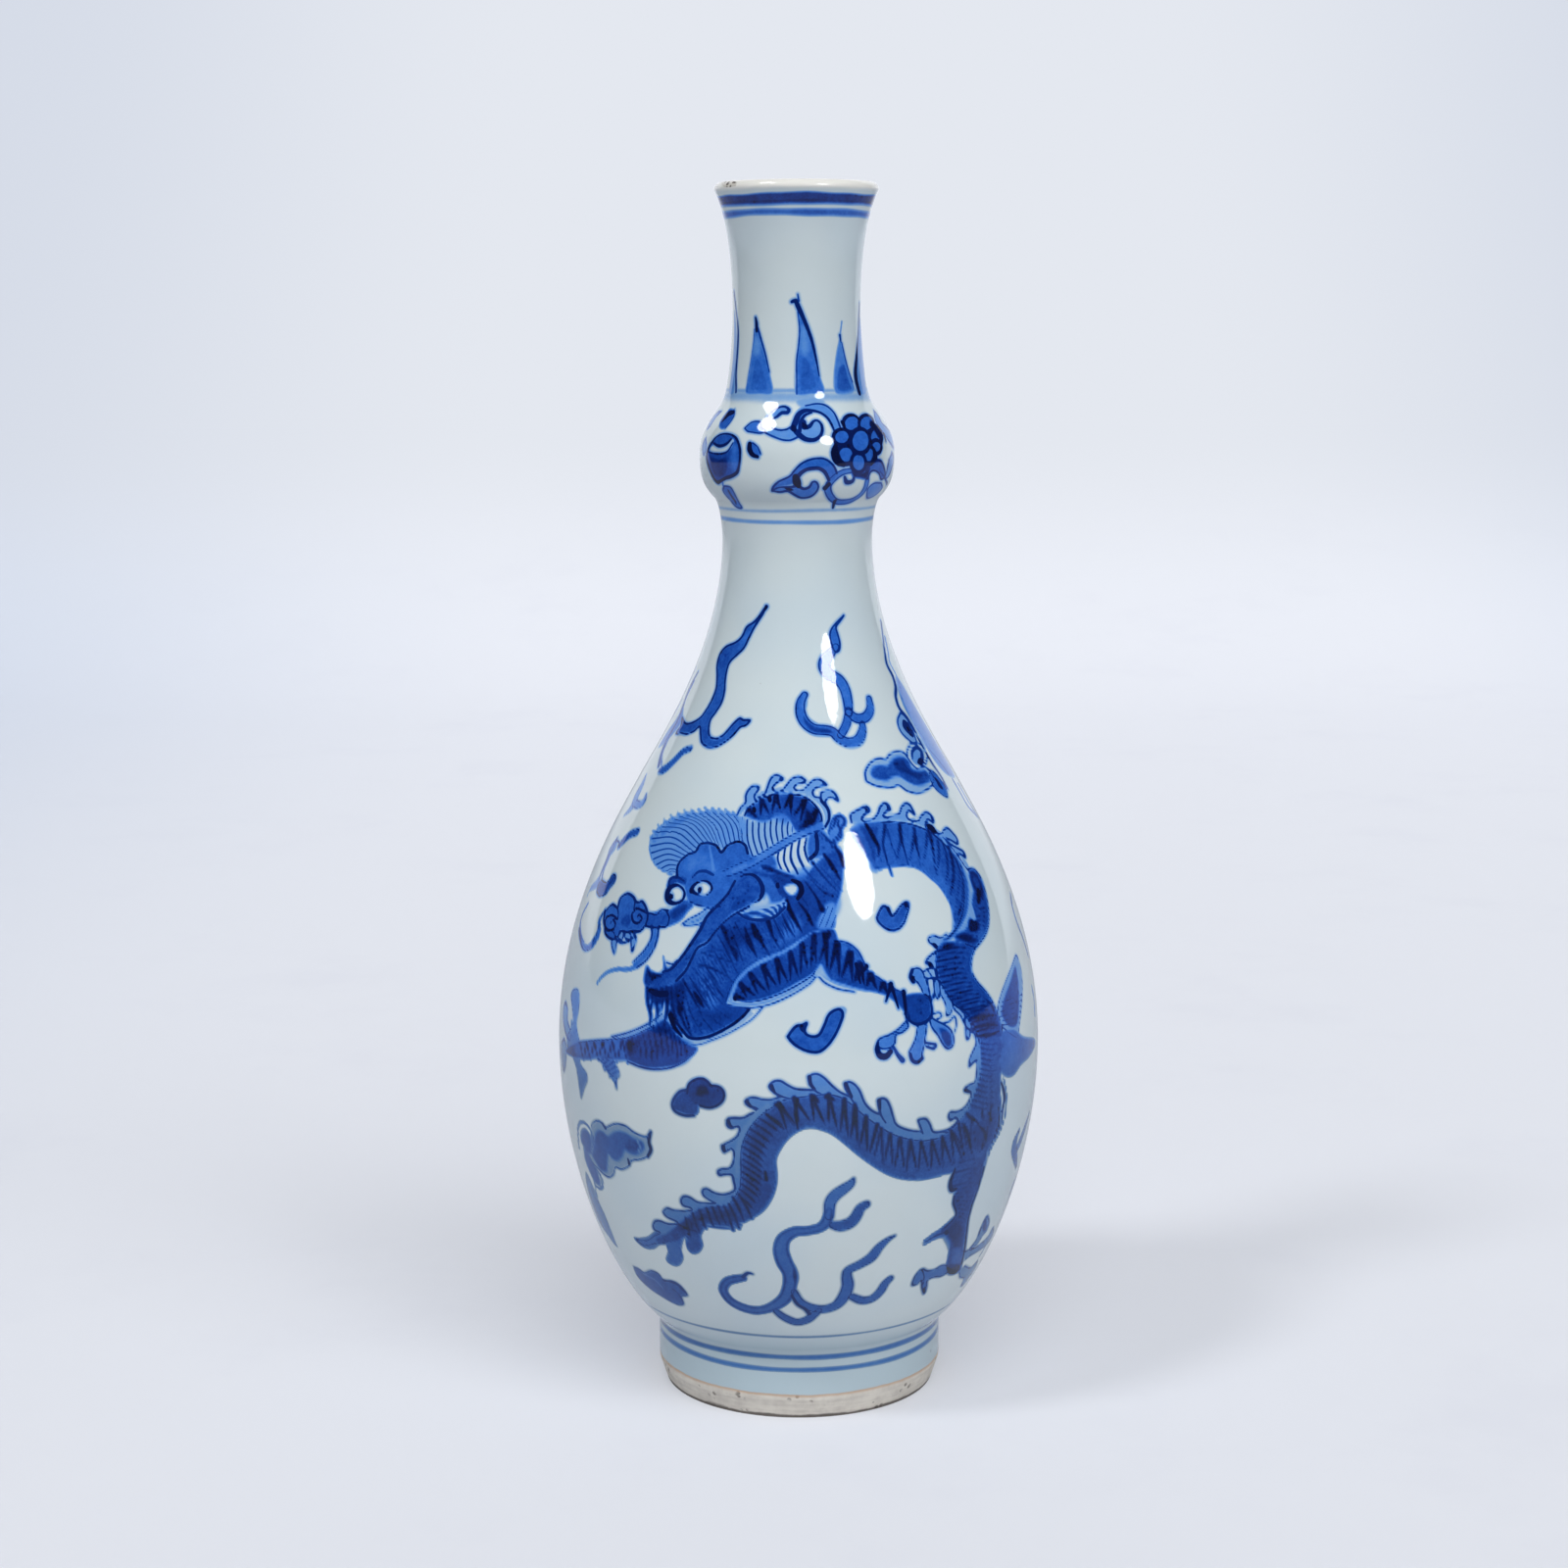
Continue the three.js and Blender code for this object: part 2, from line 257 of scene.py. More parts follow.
class Skin:
    """The outside of one thrown section: a grid of points, with the cobalt that each one holds.

    wash is the depth of the thinned colour. An ink line is kept as its reach, the distance in
    millimetres to its edge, positive inside, so that its edge stays sharp between points.
    """

    FAR = 1.0
    MOST_REACH = 0.5
    # of two ink lines a point keeps the one it lies deeper in, up to the core; tone decides ties
    CORE, TONE_PULL = 0.12, 0.06
    # a wash laid over others with an edge this crisp also covers their ink
    CRISP = 0.5

    def __init__(self, low_level, high_level, rows, columns, crowding, low_crowding):
        low, high = climb_at(low_level), climb_at(high_level)
        share = np.linspace(0, 1, rows)
        self.climbs = low + (high - low) * share * (1 - low_crowding * (1 - share))
        self.radii = np.interp(self.climbs, CLIMBS, RADII)
        self.levels = np.interp(self.climbs, CLIMBS, LEVELS)
        self.columns = columns
        self.crowding = crowding
        self.wash = np.zeros((rows, columns))
        self.reach = np.full((rows, columns), -self.FAR)
        self.ink = np.zeros((rows, columns))
        self.chips = np.zeros((rows, columns))
        self.strand_count = np.zeros((rows, columns))
        self.strand_tone = np.zeros((rows, columns))
        self.table = np.linspace(0, columns, 4 * columns + 1)
        self.table_angles = self.angle_of(self.table)

    def angle_of(self, column):
        return column_angle(column, self.columns, self.crowding)

    def column_of(self, angle):
        turns = math.floor((angle + math.pi) / math.tau)
        column = float(np.interp(angle - turns * math.tau, self.table_angles, self.table))
        return column + turns * self.columns

    def patch(self, angles, climbs, margin):
        """Rows and columns within the margin of a shape, with the columns' angles."""
        low, high = np.searchsorted(self.climbs, [climbs.min() - margin, climbs.max() + margin])
        if low >= high:
            return None
        room = margin / self.radii[low:high].min()
        first = math.floor(self.column_of(angles.min() - room))
        last = math.ceil(self.column_of(angles.max() + room))
        columns = np.arange(first, min(last, first + self.columns - 1) + 1)
        return np.arange(low, high), columns % self.columns, self.angle_of(columns)

    def near_path(self, angles, climbs, halves, margin):
        """How far each point of a patch lies inside a line of the given half widths."""
        found = self.patch(angles, climbs, margin)
        if found is None:
            return None
        rows, columns, across = found
        levels, radii = self.climbs[rows][:, None], self.radii[rows][:, None]
        block = np.full((len(rows), len(columns)), -max(self.FAR, margin))
        room = margin / radii.min()
        starts = np.searchsorted(levels[:, 0], np.minimum(climbs[:-1], climbs[1:]) - margin)
        stops = np.searchsorted(levels[:, 0], np.maximum(climbs[:-1], climbs[1:]) + margin)
        lefts = np.searchsorted(across, np.minimum(angles[:-1], angles[1:]) - room)
        rights = np.searchsorted(across, np.maximum(angles[:-1], angles[1:]) + room)
        for i in range(len(angles) - 1):
            if starts[i] >= stops[i] or lefts[i] >= rights[i]:
                continue
            part = np.s_[starts[i]:stops[i], lefts[i]:rights[i]]
            radius = radii[starts[i]:stops[i]]
            x = (across[lefts[i]:rights[i]] - angles[i]) * radius
            y = levels[starts[i]:stops[i]] - climbs[i]
            run, rise = (angles[i + 1] - angles[i]) * radius, climbs[i + 1] - climbs[i]
            along = np.clip((x * run + y * rise) / (run * run + rise * rise + 1e-9), 0, 1)
            inside = (halves[i] + (halves[i + 1] - halves[i]) * along
                      - np.hypot(x - along * run, y - along * rise))
            np.maximum(block[part], inside, out=block[part])
        return np.ix_(rows, columns), block

    def near_outline(self, angles, climbs, margin):
        """How far each point of a patch lies inside a closed outline."""
        halves = np.zeros(len(angles))
        found = self.near_path(angles, climbs, halves, margin)
        if found is None:
            return None
        where, block = found
        rows, _, across = self.patch(angles, climbs, margin)
        levels = self.climbs[rows]
        inside = np.zeros(block.shape, bool)
        for ax, ay, bx, by in zip(angles[:-1], climbs[:-1], angles[1:], climbs[1:]):
            if ay == by:
                continue
            low, high = np.searchsorted(levels, sorted((ay, by)))
            crossing = ax + (levels[low:high] - ay) * (bx - ax) / (by - ay)
            inside[low:high] ^= across[None, :] < crossing[:, None]
        return where, np.where(inside, -block, block)

    def lay_wash(self, where, block, tone, edge, over):
        cover = np.clip(0.5 + block / (2 * edge), 0, 1)
        cover = cover * cover * (3 - 2 * cover)
        if over:
            self.wash[where] = self.wash[where] * (1 - cover) + tone * cover
            if edge <= self.CRISP:
                self.reach[where] = np.minimum(self.reach[where], -block)
                self.strand_tone[where] *= 1 - cover
        else:
            self.wash[where] = np.maximum(self.wash[where], cover * tone)

    def lay_ink(self, where, block, tone):
        old_reach, old_ink = self.reach[where], self.ink[where]
        new_claim = np.minimum(block, self.CORE) + self.TONE_PULL * tone
        old_claim = np.minimum(old_reach, self.CORE) + self.TONE_PULL * old_ink
        stronger = new_claim > old_claim
        self.reach[where] = np.where(stronger, np.minimum(block, self.MOST_REACH), old_reach)
        self.ink[where] = np.where(stronger, tone, old_ink)


class Brush:
    """Paints all its skins at once, repeating each stroke at every copy: a turn and a squeeze."""

    # a line this dark, thin and crisp, or a fill this dark and crisp, is kept as ink
    INK_LINE_TONE, INK_LINE_WIDTH, INK_LINE_EDGE = 0.55, 2.2, 0.4
    INK_FILL_TONE, INK_FILL_EDGE = 0.8, 0.45
    # the crispest edges that the grid can show
    LINE_EDGE, FILL_EDGE, COVER_EDGE = 0.22, 0.38, 0.25
    # how far beside its strokes the ink is reckoned
    INK_MARGIN, WASH_MARGIN, OUTLINE_MARGIN = 0.75, 0.45, 0.8
    TAPER_END, COMB_TAPER = 0.12, (0, 0.3)
    # towards the sides the grid is coarse beside a line seen edge on, so no line is thinner there
    SIDE_ANGLES, SIDE_HALVES = (1.05, 1.3), (0.0, 0.42)
    # a loaded stroke's dark rim lies this far inside it, and its colour ends this far outside
    RIM_DEPTH, BAND_SPILL, BAND_TONE = 0.2, 0.1, 0.54
    # strands: how far apart they may lie, and how far the outer ones stand off (radians)
    STRAND_MARGIN, STRAND_OFFSET, NO_STRAND = 2.2, 0.024, 9.0
    FRONT_COLUMN = 815

    def __init__(self, skins, copies):
        self.skins = skins
        self.copies = copies

    def near(self, around, climbs, margin, halves=None):
        """Each skin that a line comes near, or a closed outline where no half widths are given."""
        for turn, squeeze in self.copies:
            angles = around * squeeze + turn
            for skin in self.skins:
                if halves is None:
                    found = skin.near_outline(angles, climbs, margin)
                else:
                    found = skin.near_path(angles, climbs, halves, margin)
                if found is not None:
                    yield skin, *found

    def line(self, width, tone, points, mode="max", taper=(0, 0), edge=0.15, surface=None):
        """A brush line of one or more widths along its length."""
        angles, climbs = surface if surface else cast(points)
        widths = np.atleast_1d(np.asarray(width, float))
        around, climbs, halves = flow(angles, climbs, widths)
        share = np.linspace(0, 1, len(around))
        if taper[0]:
            halves = halves * np.clip(share / taper[0], self.TAPER_END, 1)
        if taper[1]:
            halves = halves * np.clip((1 - share) / taper[1], self.TAPER_END, 1)
        halves = np.maximum(halves, np.interp(np.abs(around), self.SIDE_ANGLES, self.SIDE_HALVES))
        is_ink = (mode == "max" and tone >= self.INK_LINE_TONE
                  and widths.max() <= self.INK_LINE_WIDTH and edge < self.INK_LINE_EDGE)
        margin = halves.max() + (self.INK_MARGIN if is_ink else edge + self.WASH_MARGIN)
        for skin, where, block in self.near(around, climbs, margin, halves):
            if is_ink:
                skin.lay_ink(where, block, tone)
            else:
                skin.lay_wash(where, block, tone, max(edge, self.LINE_EDGE), mode == "over")

    def lines(self, strokes, edge):
        """Several brush lines: the points, width and tone of each."""
        for points, width, tone in strokes:
            self.line(width, tone, points, edge=edge)

    def wash(self, tone, points, edge=0.25, mode="max"):
        """A filled shape whose outline flows through the points."""
        around, climbs, _ = flow(*cast(points), step=OUTLINE_STEP, closed=True)
        is_ink = mode == "max" and tone >= self.INK_FILL_TONE and edge <= self.INK_FILL_EDGE
        crispest = self.COVER_EDGE if mode == "over" else self.FILL_EDGE
        for skin, where, block in self.near(around, climbs, max(edge + 0.4, self.OUTLINE_MARGIN)):
            if is_ink:
                skin.lay_ink(where, block, tone)
            else:
                skin.lay_wash(where, block, tone, max(edge, crispest), mode == "over")

    def shape(self, tone, points, width, rim, edge=0.25, rim_edge=0.15):
        """A filled shape with a line all round it."""
        self.wash(tone, points, edge)
        self.line(width, rim, points + points[:1], edge=rim_edge)

    def band(self, points, widths, tone=0.58, rim=0.84):
        """A loaded stroke whose colour has settled darker along both edges."""
        spill = self.BAND_SPILL
        self.line([width + spill for width in widths], min(tone, self.BAND_TONE), points, edge=0.25)
        around, climbs, halves = flow(*cast(points), widths)
        halves = halves + spill
        margin = halves.max() + self.INK_MARGIN
        for skin, where, block in self.near(around, climbs, margin, halves):
            skin.lay_ink(where, self.RIM_DEPTH - np.abs(block - self.RIM_DEPTH), rim)

    def between(self, side_a, side_b, bow):
        """Bowed strokes between two guide lines, from and to given shares along them."""
        sides = []
        for side in (side_a, side_b):
            angles, climbs = cast(side)
            path = smooth_path(np.stack([angles * FLAT_RADIUS, climbs], 1), GUIDE_STEP)
            run = np.concatenate([[0], np.cumsum(np.hypot(*np.diff(path, axis=0).T))])
            sides.append((path, run / run[-1]))

        def stroke(here, there, ends=(0.0, 1.0)):
            a, b = (np.array([np.interp(share, run, path[:, 0]), np.interp(share, run, path[:, 1])])
                    for (path, run), share in zip(sides, (here, there)))
            start, end = a + (b - a) * ends[0], a + (b - a) * ends[1]
            step = end - start
            middle = (start + end) / 2 + bow * np.array([-step[1], step[0]])
            return np.stack([start, middle, end])

        return stroke

    def comb(self, side_a, side_b, count, width, tone, bow=0.0, edge=0.14, ends=(0.0, 1.0),
             zig=False):
        """Even strokes from one guide line to another; zig runs them to and fro between the two."""
        stroke = self.between(side_a, side_b, bow)
        for k in range(count):
            here, there = (k / count, (k + 1) / count) if zig else ((k + 0.5) / count,) * 2
            if zig and k % 2:
                here, there = there, here
            points = stroke(here, there, ends)
            surface = (points[:, 0] / FLAT_RADIUS, points[:, 1])
            self.line(width, tone, None, taper=self.COMB_TAPER, edge=edge, surface=surface)

    def strands(self, side_a, side_b, count, tone, bow):
        """Strokes too fine for the grid: each of its points counts the strokes up to it."""
        stroke = self.between(side_a, side_b, bow)
        lines = []
        for k in range(-1, count + 2):
            share = min(max(k / count, 0.0), 1.0)
            points = stroke(share, share)
            points[:, 0] += FLAT_RADIUS * self.STRAND_OFFSET * (min(k, 0) + max(k - count, 0))
            lines.append(smooth_path(points, OUTLINE_STEP))
        around, climbs = cast(list(side_a) + list(side_b)[::-1] + list(side_a)[:1])
        for turn, squeeze in self.copies:
            paths = [(path[:, 0] / FLAT_RADIUS * squeeze + turn, path[:, 1]) for path in lines]
            for skin in self.skins:
                found = skin.near_outline(around * squeeze + turn, climbs, self.OUTLINE_MARGIN)
                if found is not None:
                    self.count_strands(skin, paths, *found, tone)

    def count_strands(self, skin, paths, where, block, tone):
        """Gives a skin its strand count: the nearest strand's number, shared with the next's."""
        first, second = (np.full(skin.wash.shape, self.NO_STRAND) for _ in range(2))
        first_number, second_number = (np.zeros(skin.wash.shape) for _ in range(2))
        for number, (angles, climbs) in enumerate(paths):
            near = skin.near_path(angles, climbs, np.zeros(len(angles)), self.STRAND_MARGIN)
            if near is None:
                continue
            here, inside = near
            gap, a, b = -inside, first[here], second[here]
            closer, next_best = gap < a, (gap >= a) & (gap < b)
            second[here] = np.where(closer, a, np.where(next_best, gap, b))
            second_number[here] = np.where(closer, first_number[here],
                                           np.where(next_best, number, second_number[here]))
            first[here] = np.where(closer, gap, a)
            first_number[here] = np.where(closer, number, first_number[here])
        share = first[where] / (first[where] + second[where])
        counted = first_number[where] + (second_number[where] - first_number[where]) * share
        skin.strand_count[where] = np.where(block > -self.INK_MARGIN, counted,
                                            skin.strand_count[where])
        cover = np.clip(0.5 + block / 0.5, 0, 1)
        skin.strand_tone[where] = np.maximum(skin.strand_tone[where] * (1 - cover), tone * cover)

    def chip(self, points):
        """A place where the glaze has come off."""
        for skin, where, block in self.near(*cast(points + points[:1]), self.OUTLINE_MARGIN):
            skin.chips[where] = np.maximum(skin.chips[where], np.clip(0.5 + block / 0.5, 0, 1))

    def ring(self, pixel_level, width, tone, edge, phase, sway):
        """A line round the vase, laid on as it turns, at the height of a pixel on its front."""
        _, climbs = cast([(self.FRONT_COLUMN, pixel_level)])
        for skin in self.skins:
            around = skin.angle_of(np.arange(skin.columns))
            waver = np.sin(2 * around + phase) + 0.5 * np.sin(5 * around + 2 * phase)
            swell = 1 + 0.12 * np.sin(3 * around + 3 * phase) + 0.06 * np.sin(11 * around)
            middle = climbs[0] + sway * waver
            block = width / 2 * swell - np.abs(skin.climbs[:, None] - middle)
            if block.max() >= -skin.FAR:
                skin.lay_wash(np.s_[:, :], block, tone, edge, False)


# ---------------------------------------------------------------- the painting, motif by motif
PALE, SOFT, DEEP, INK, JET = 0.24, 0.36, 0.68, 0.84, 1.0


def dragon_back(brush):
    """The arch of the back, with its pale crest and the band of feathers outside it."""
    outer = [
        (868,850), (878,842), (890,839), (903,838), (918,839), (932,841), (946,847), (958,855),
        (968,864), (977,875), (984,888), (988,903), (989,918), (987,932), (982,943), (975,953),
        (966,961),
    ]
    inner = [
        (893,886), (905,884), (920,883), (932,884), (942,889), (950,896), (958,903), (965,913),
        (971,925), (974,938), (974,948), (970,954), (962,960),
    ]
    brush.wash(0.55, outer + inner[::-1])
    brush.wash(0.60, [(952,850),(968,865),(977,876),(984,889),(988,903),(988,918),(984,936),
        (975,950),(974,938),(972,922),(966,908),(958,896),(952,870)], 1.6)
    brush.wash(0.66, [(874,842),(890,840),(900,840),(898,860),(896,884),(890,886),(884,866)], 1.4)
    # strokes over the back, each running dry towards its foot
    brush.lines([
        ([(884,842),(889,850),(893,858),(897,866),(896,875)], [1.1,1.4,1.3,0.9,0.4], 1.0),
        ([(890,846),(894,862),(899,878)], [0.5,0.7,0.4], 0.88),
        ([(903,842),(902,852),(901,862),(904,874),(910,893)], [1.0,0.9,0.7,0.7,0.35], 0.90),
        ([(905,846),(909,860),(914,872),(916,881)], [0.7,0.6,0.5,0.35], 0.80),
        ([(918,841),(919,852),(921,862),(925,874),(927,883)], [1.0,1.2,0.8,0.5,0.3], 0.95),
        ([(920,856),(917,866),(915,879)], [0.8,0.7,0.4], 0.84),
        ([(933,846),(934,856),(936,867),(940,884)], [1.0,1.2,0.8,0.4], 0.92),
        ([(933,850),(931,864),(928,880)], [0.9,0.7,0.35], 0.84),
        ([(947,847),(950,856),(952,868),(955,891)], [1.2,1.2,0.8,0.5], 0.92),
        ([(946,851),(945,864),(942,883)], [1.0,0.7,0.4], 0.84),
        ([(957,855),(958,872),(956,892)], [0.8,0.9,0.5], 0.86),
        ([(961,858),(966,874),(967,890),(965,903)], [0.7,0.9,0.8,0.5], 0.86),
        ([(968,864),(972,880),(973,896),(970,912)], [1.0,1.3,1.1,0.6], 0.90),
        ([(975,874),(979,890),(978,908),(974,934)], [0.6,0.8,0.7,0.4], 0.80),
        ([(981,884),(983,900),(982,918),(977,938)], [0.6,0.8,0.8,0.5], 0.84),
    ], edge=0.4)
    brush.line(0.4, 0.78, inner, edge=0.4)
    brush.line([0.5,0.6,0.7,0.6], 0.80, [(898,839),(912,839),(928,841),(945,847),(958,856),
        (969,868),(977,881),(982,897),(984,914),(982,932),(976,947),(967,958)], edge=0.3)
    # pale crest and its curls
    brush.line([0.5,1.1,1.1,0.9], PALE, [(872,838),(890,836),(905,836),(925,836),(942,840),
        (957,849),(968,858),(978,869),(986,882),(991,897),(993,912),(991,928),(987,941),(979,951),
        (968,958)])
    curls = [
        [(869,839),(868,832),(873,828),(879,825),(884,823),(887,827),(882,831),(879,836),(883,839)],
        [(883,838),(891,836),(896,830),(898,824),(902,820),(906,821),(908,826),(904,828),(901,833),
            (906,835)],
        [(905,834),(913,832),(918,830),(920,824),(924,820),(928,821),(931,826),(933,831),(928,827),
            (925,830),(926,835),(931,838)],
        [(929,837),(937,838),(940,833),(945,829),(949,831),(952,835),(952,839),(947,836),(944,840),
            (945,845)],
        [(955,850),(961,851),(963,847),(967,845),(972,850),(976,855),(977,861),(970,857),(965,855),
            (966,858)],
        [(966,857),(971,862),(978,866),(983,869),(985,875),(979,871),(977,874)],
    ]
    for curl in curls:
        brush.wash(0.27, curl)
        brush.line([0.5,0.6,0.7,0.5], 0.72, curl)
    for tip in [
        [(883,824),(886,827),(883,829)], [(904,821),(908,824),(906,827)],
        [(929,824),(932,828),(932,831)], [(949,832),(952,836),(951,838)],
        [(982,870),(985,874),(984,875)],
    ]:
        brush.wash(0.86, tip, 0.3)
    brush.wash(JET, [(945,841),(950,841),(954,845),(957,851),(952,850),(947,846)], 0.4)
    brush.line(0.45, 0.74, [(963,855),(972,866),(980,877),(986,886),(990,890)])
    brush.line(0.35, 0.6, [(957,852),(966,860),(975,870),(983,882)])
    # feather band on the outside
    band = [
        (988,887), (994,887), (1001,896), (1005,908), (1008,923), (1009,938), (1007,950),
        (1002,959), (995,966), (985,963), (974,960), (983,950), (990,940), (994,932), (991,920),
        (993,910), (990,900),
    ]
    brush.wash(0.60, band)
    brush.line(0.5, 0.84, band[:10])
    brush.wash(0.84, [(989,889),(995,889),(1001,899),(1004,910),(1003,920),(998,913),(992,904)],
        0.5)
    brush.wash(0.66, [(993,895),(997,896),(1000,904),(998,907),(994,902)], 0.5, 'over')
    brush.wash(1.0, [(996,906),(1001,908),(1001,920),(998,924),(996,916)], 0.6)
    brush.wash(0.97, [(989,938),(996,937),(1000,944),(998,951),(991,952),(988,946)], 0.6)
    brush.wash(0.90, [(974,956),(984,950),(994,955),(1000,958),(994,964),(984,962)], 0.9)
    brush.wash(0.20, [(989,912),(992,914),(992,925),(996,938),(992,938),(989,928)], 0.3, 'over')
    brush.comb([(1000,926),(997,934),(994,944),(986,956)],
        [(1008,924),(1008,934),(1007,946),(1000,959)], 8, 0.5, 0.9, bow=0.06, edge=0.4)


def dragon_flank(brush):
    """The flank below the arch, with the crest's curls beside it."""
    body = [
        (957,966), (966,960), (985,962), (998,964), (993,972), (991,985), (992,993), (998,1003),
        (1006,1012), (1013,1023), (1018,1035), (1022,1048), (1022,1058), (1012,1060), (1003,1062),
        (998,1058), (994,1048), (989,1038), (984,1031), (976,1027), (969,1019), (963,1008),
        (958,998), (956,985), (955,975),
    ]
    brush.wash(0.61, body)
    brush.line(0.45, INK, body[3:13])
    brush.line(0.45, INK, body[15:] + [body[0]])
    left = [(957,968),(956,985),(960,1003),(970,1020),(982,1030),(993,1046),(998,1060)]
    right = [(996,966),(991,985),(997,1001),(1008,1015),(1016,1030),(1021,1046),(1022,1058)]
    brush.comb(left, right, 20, [0.8,0.7,0.4], 0.90, bow=0.07, edge=0.4)
    brush.lines([
        ([(962,967),(968,965),(975,964)], [0.8,1.3,0.7], 0.92),
        ([(990,1032),(1000,1030),(1010,1024)], [0.9,1.2,0.7], 0.88),
        ([(992,1040),(1002,1038),(1014,1036)], [0.9,1.4,0.8], 0.92),
        ([(996,1049),(1006,1046),(1018,1046)], [1.0,1.4,0.8], 0.90),
        ([(1000,1057),(1010,1056),(1020,1052)], [1.0,1.3,0.8], 0.90),
        ([(970,1018),(980,1016),(992,1010)], [0.6,0.8,0.5], 0.84),
        ([(1006,1020),(1012,1026),(1016,1036)], [0.8,1.2,0.8], 0.88),
    ], edge=0.5)
    brush.wash(0.74,
        [(988,1030),(1004,1024),(1016,1034),(1021,1050),(1008,1058),(998,1058),(992,1044)], 2.0)
    # crest curls beside it
    for curl in [
        [(966,953),(960,957),(953,955),(948,957),(948,961),(953,965),(957,969),(952,973),(946,979),
            (945,983),(950,984),(954,990),(956,999),(958,988),(958,972),(962,962),(968,958)],
    ]:
        brush.wash(PALE, curl)
        brush.line([0.4,0.6], 0.76, curl[:13])
    brush.wash(0.9, [(951,962),(956,963),(956,968),(953,967)], 0.4)
    brush.wash(0.92, [(946,981),(951,982),(953,988),(948,987)], 0.4)


def dragon_right_claw(brush):
    """The right foot: its knot, the ribbons above it and the toes below."""
    knot = [
        (920,1018), (930,1014), (944,1014), (949,1020), (951,1030), (950,1037), (944,1043),
        (935,1045), (928,1041), (923,1034), (920,1027),
    ]
    brush.wash(0.68, knot)
    brush.line([0.4,0.7,0.9,0.8,0.5], INK, knot[2:10], edge=0.3)
    brush.line([0.9,1.0,0.6], 0.92, [(922,1014),(924,1026),(928,1040)], edge=0.4)
    # ribbons above the knot
    for c, t in [
        ([(929,999),(930,993),(934,988),(939,989),(942,993),(945,1001),(948,1010),(950,1020),
            (944,1017),(940,1008),(935,1001),(932,1003)], 0.4),
        ([(942,992),(946,989),(951,988),(956,991),(957,996),(953,998),(946,998),(943,997)], 0.18),
        ([(946,999),(952,998),(953,1006),(953,1014),(951,1021),(948,1014),(947,1006)], 0.10),
        ([(955,998),(959,1003),(959,1010),(957,1019),(954,1014),(953,1005)], 0.38),
        ([(958,1000),(964,1010),(970,1018),(972,1026),(970,1034),(966,1036),(966,1028),(963,1020),
            (960,1014)], 0.30),
        ([(972,1024),(979,1029),(985,1036),(990,1044),(994,1054),(988,1050),(984,1044),(980,1036),
            (974,1030)], 0.24),
    ]:
        brush.shape(t, c, 0.45, 0.78)
    brush.line(0.9, INK, [(931,990),(929,997),(932,1002)])
    brush.line(0.4, DEEP, [(946,989),(950,995),(953,1000)])
    brush.wash(JET, [(929,997),(934,996),(933,1001),(930,1003)], 0.3)
    for c in [
        [(925,1042),(917,1050),(908,1056),(898,1060),(895,1066),(900,1070),(908,1069),(913,1064),
            (914,1056),(921,1053),(927,1047)],
        [(937,1045),(945,1045),(944,1058),(943,1066),(941,1074),(940,1082),(935,1085),(930,1081),
            (928,1074),(931,1068),(935,1058)],
        [(948,1037),(956,1042),(964,1046),(970,1051),(973,1059),(972,1067),(967,1070),(962,1065),
            (957,1056),(951,1048)],
    ]:
        brush.shape(0.42, c, 0.5, 0.75)
    brush.wash(DEEP, [(958,1048),(966,1050),(971,1057),(971,1067),(966,1069),(961,1061)], 0.6)
    brush.line([0.5,1.3,1.5,1.1], 0.9, [(896,1063),(895,1070),(898,1077),(904,1078),(909,1073)])
    brush.line([0.5,0.9,1.2], DEEP, [(911,1067),(916,1076),(921,1082)])
    brush.line(0.9, 0.78, [(929,1076),(931,1082),(936,1084),(941,1080)])
    brush.line(0.6, 0.7, [(944,1064),(950,1065),(955,1066),(953,1070),(946,1068)])
    brush.line(0.45, DEEP, [(963,1044),(969,1042),(974,1037),(976,1045),(974,1053)])
    brush.line(0.4, DEEP, [(950,1036),(958,1033),(961,1037),(956,1040)])
    brush.line(0.35, SOFT, [(960,1046),(960,1058),(966,1068)])


TOP_EDGE = [
    (980,1025), (990,1037), (996,1050), (1000,1065), (1001,1080), (1001,1095), (998,1108),
    (994,1120), (988,1132), (978,1145), (968,1155), (955,1162), (940,1164), (925,1162), (910,1157),
    (895,1148), (880,1137), (870,1128), (858,1120), (845,1117), (830,1118), (815,1120), (800,1123),
    (788,1130), (777,1138), (768,1147), (762,1157), (757,1170), (756,1185), (756,1200), (755,1212),
    (750,1221), (744,1229),
]
LOW_EDGE = [
    (1022,1060), (1021,1080), (1020,1100), (1020,1115), (1021,1130), (1019,1150), (1012,1166),
    (1004,1180), (990,1190), (975,1196), (960,1199), (940,1203), (920,1202), (905,1197), (890,1188),
    (875,1177), (862,1166), (850,1157), (838,1152), (826,1150), (815,1153), (805,1160), (797,1170),
    (791,1183), (792,1198), (791,1210), (787,1222), (779,1234), (768,1242), (757,1247),
]

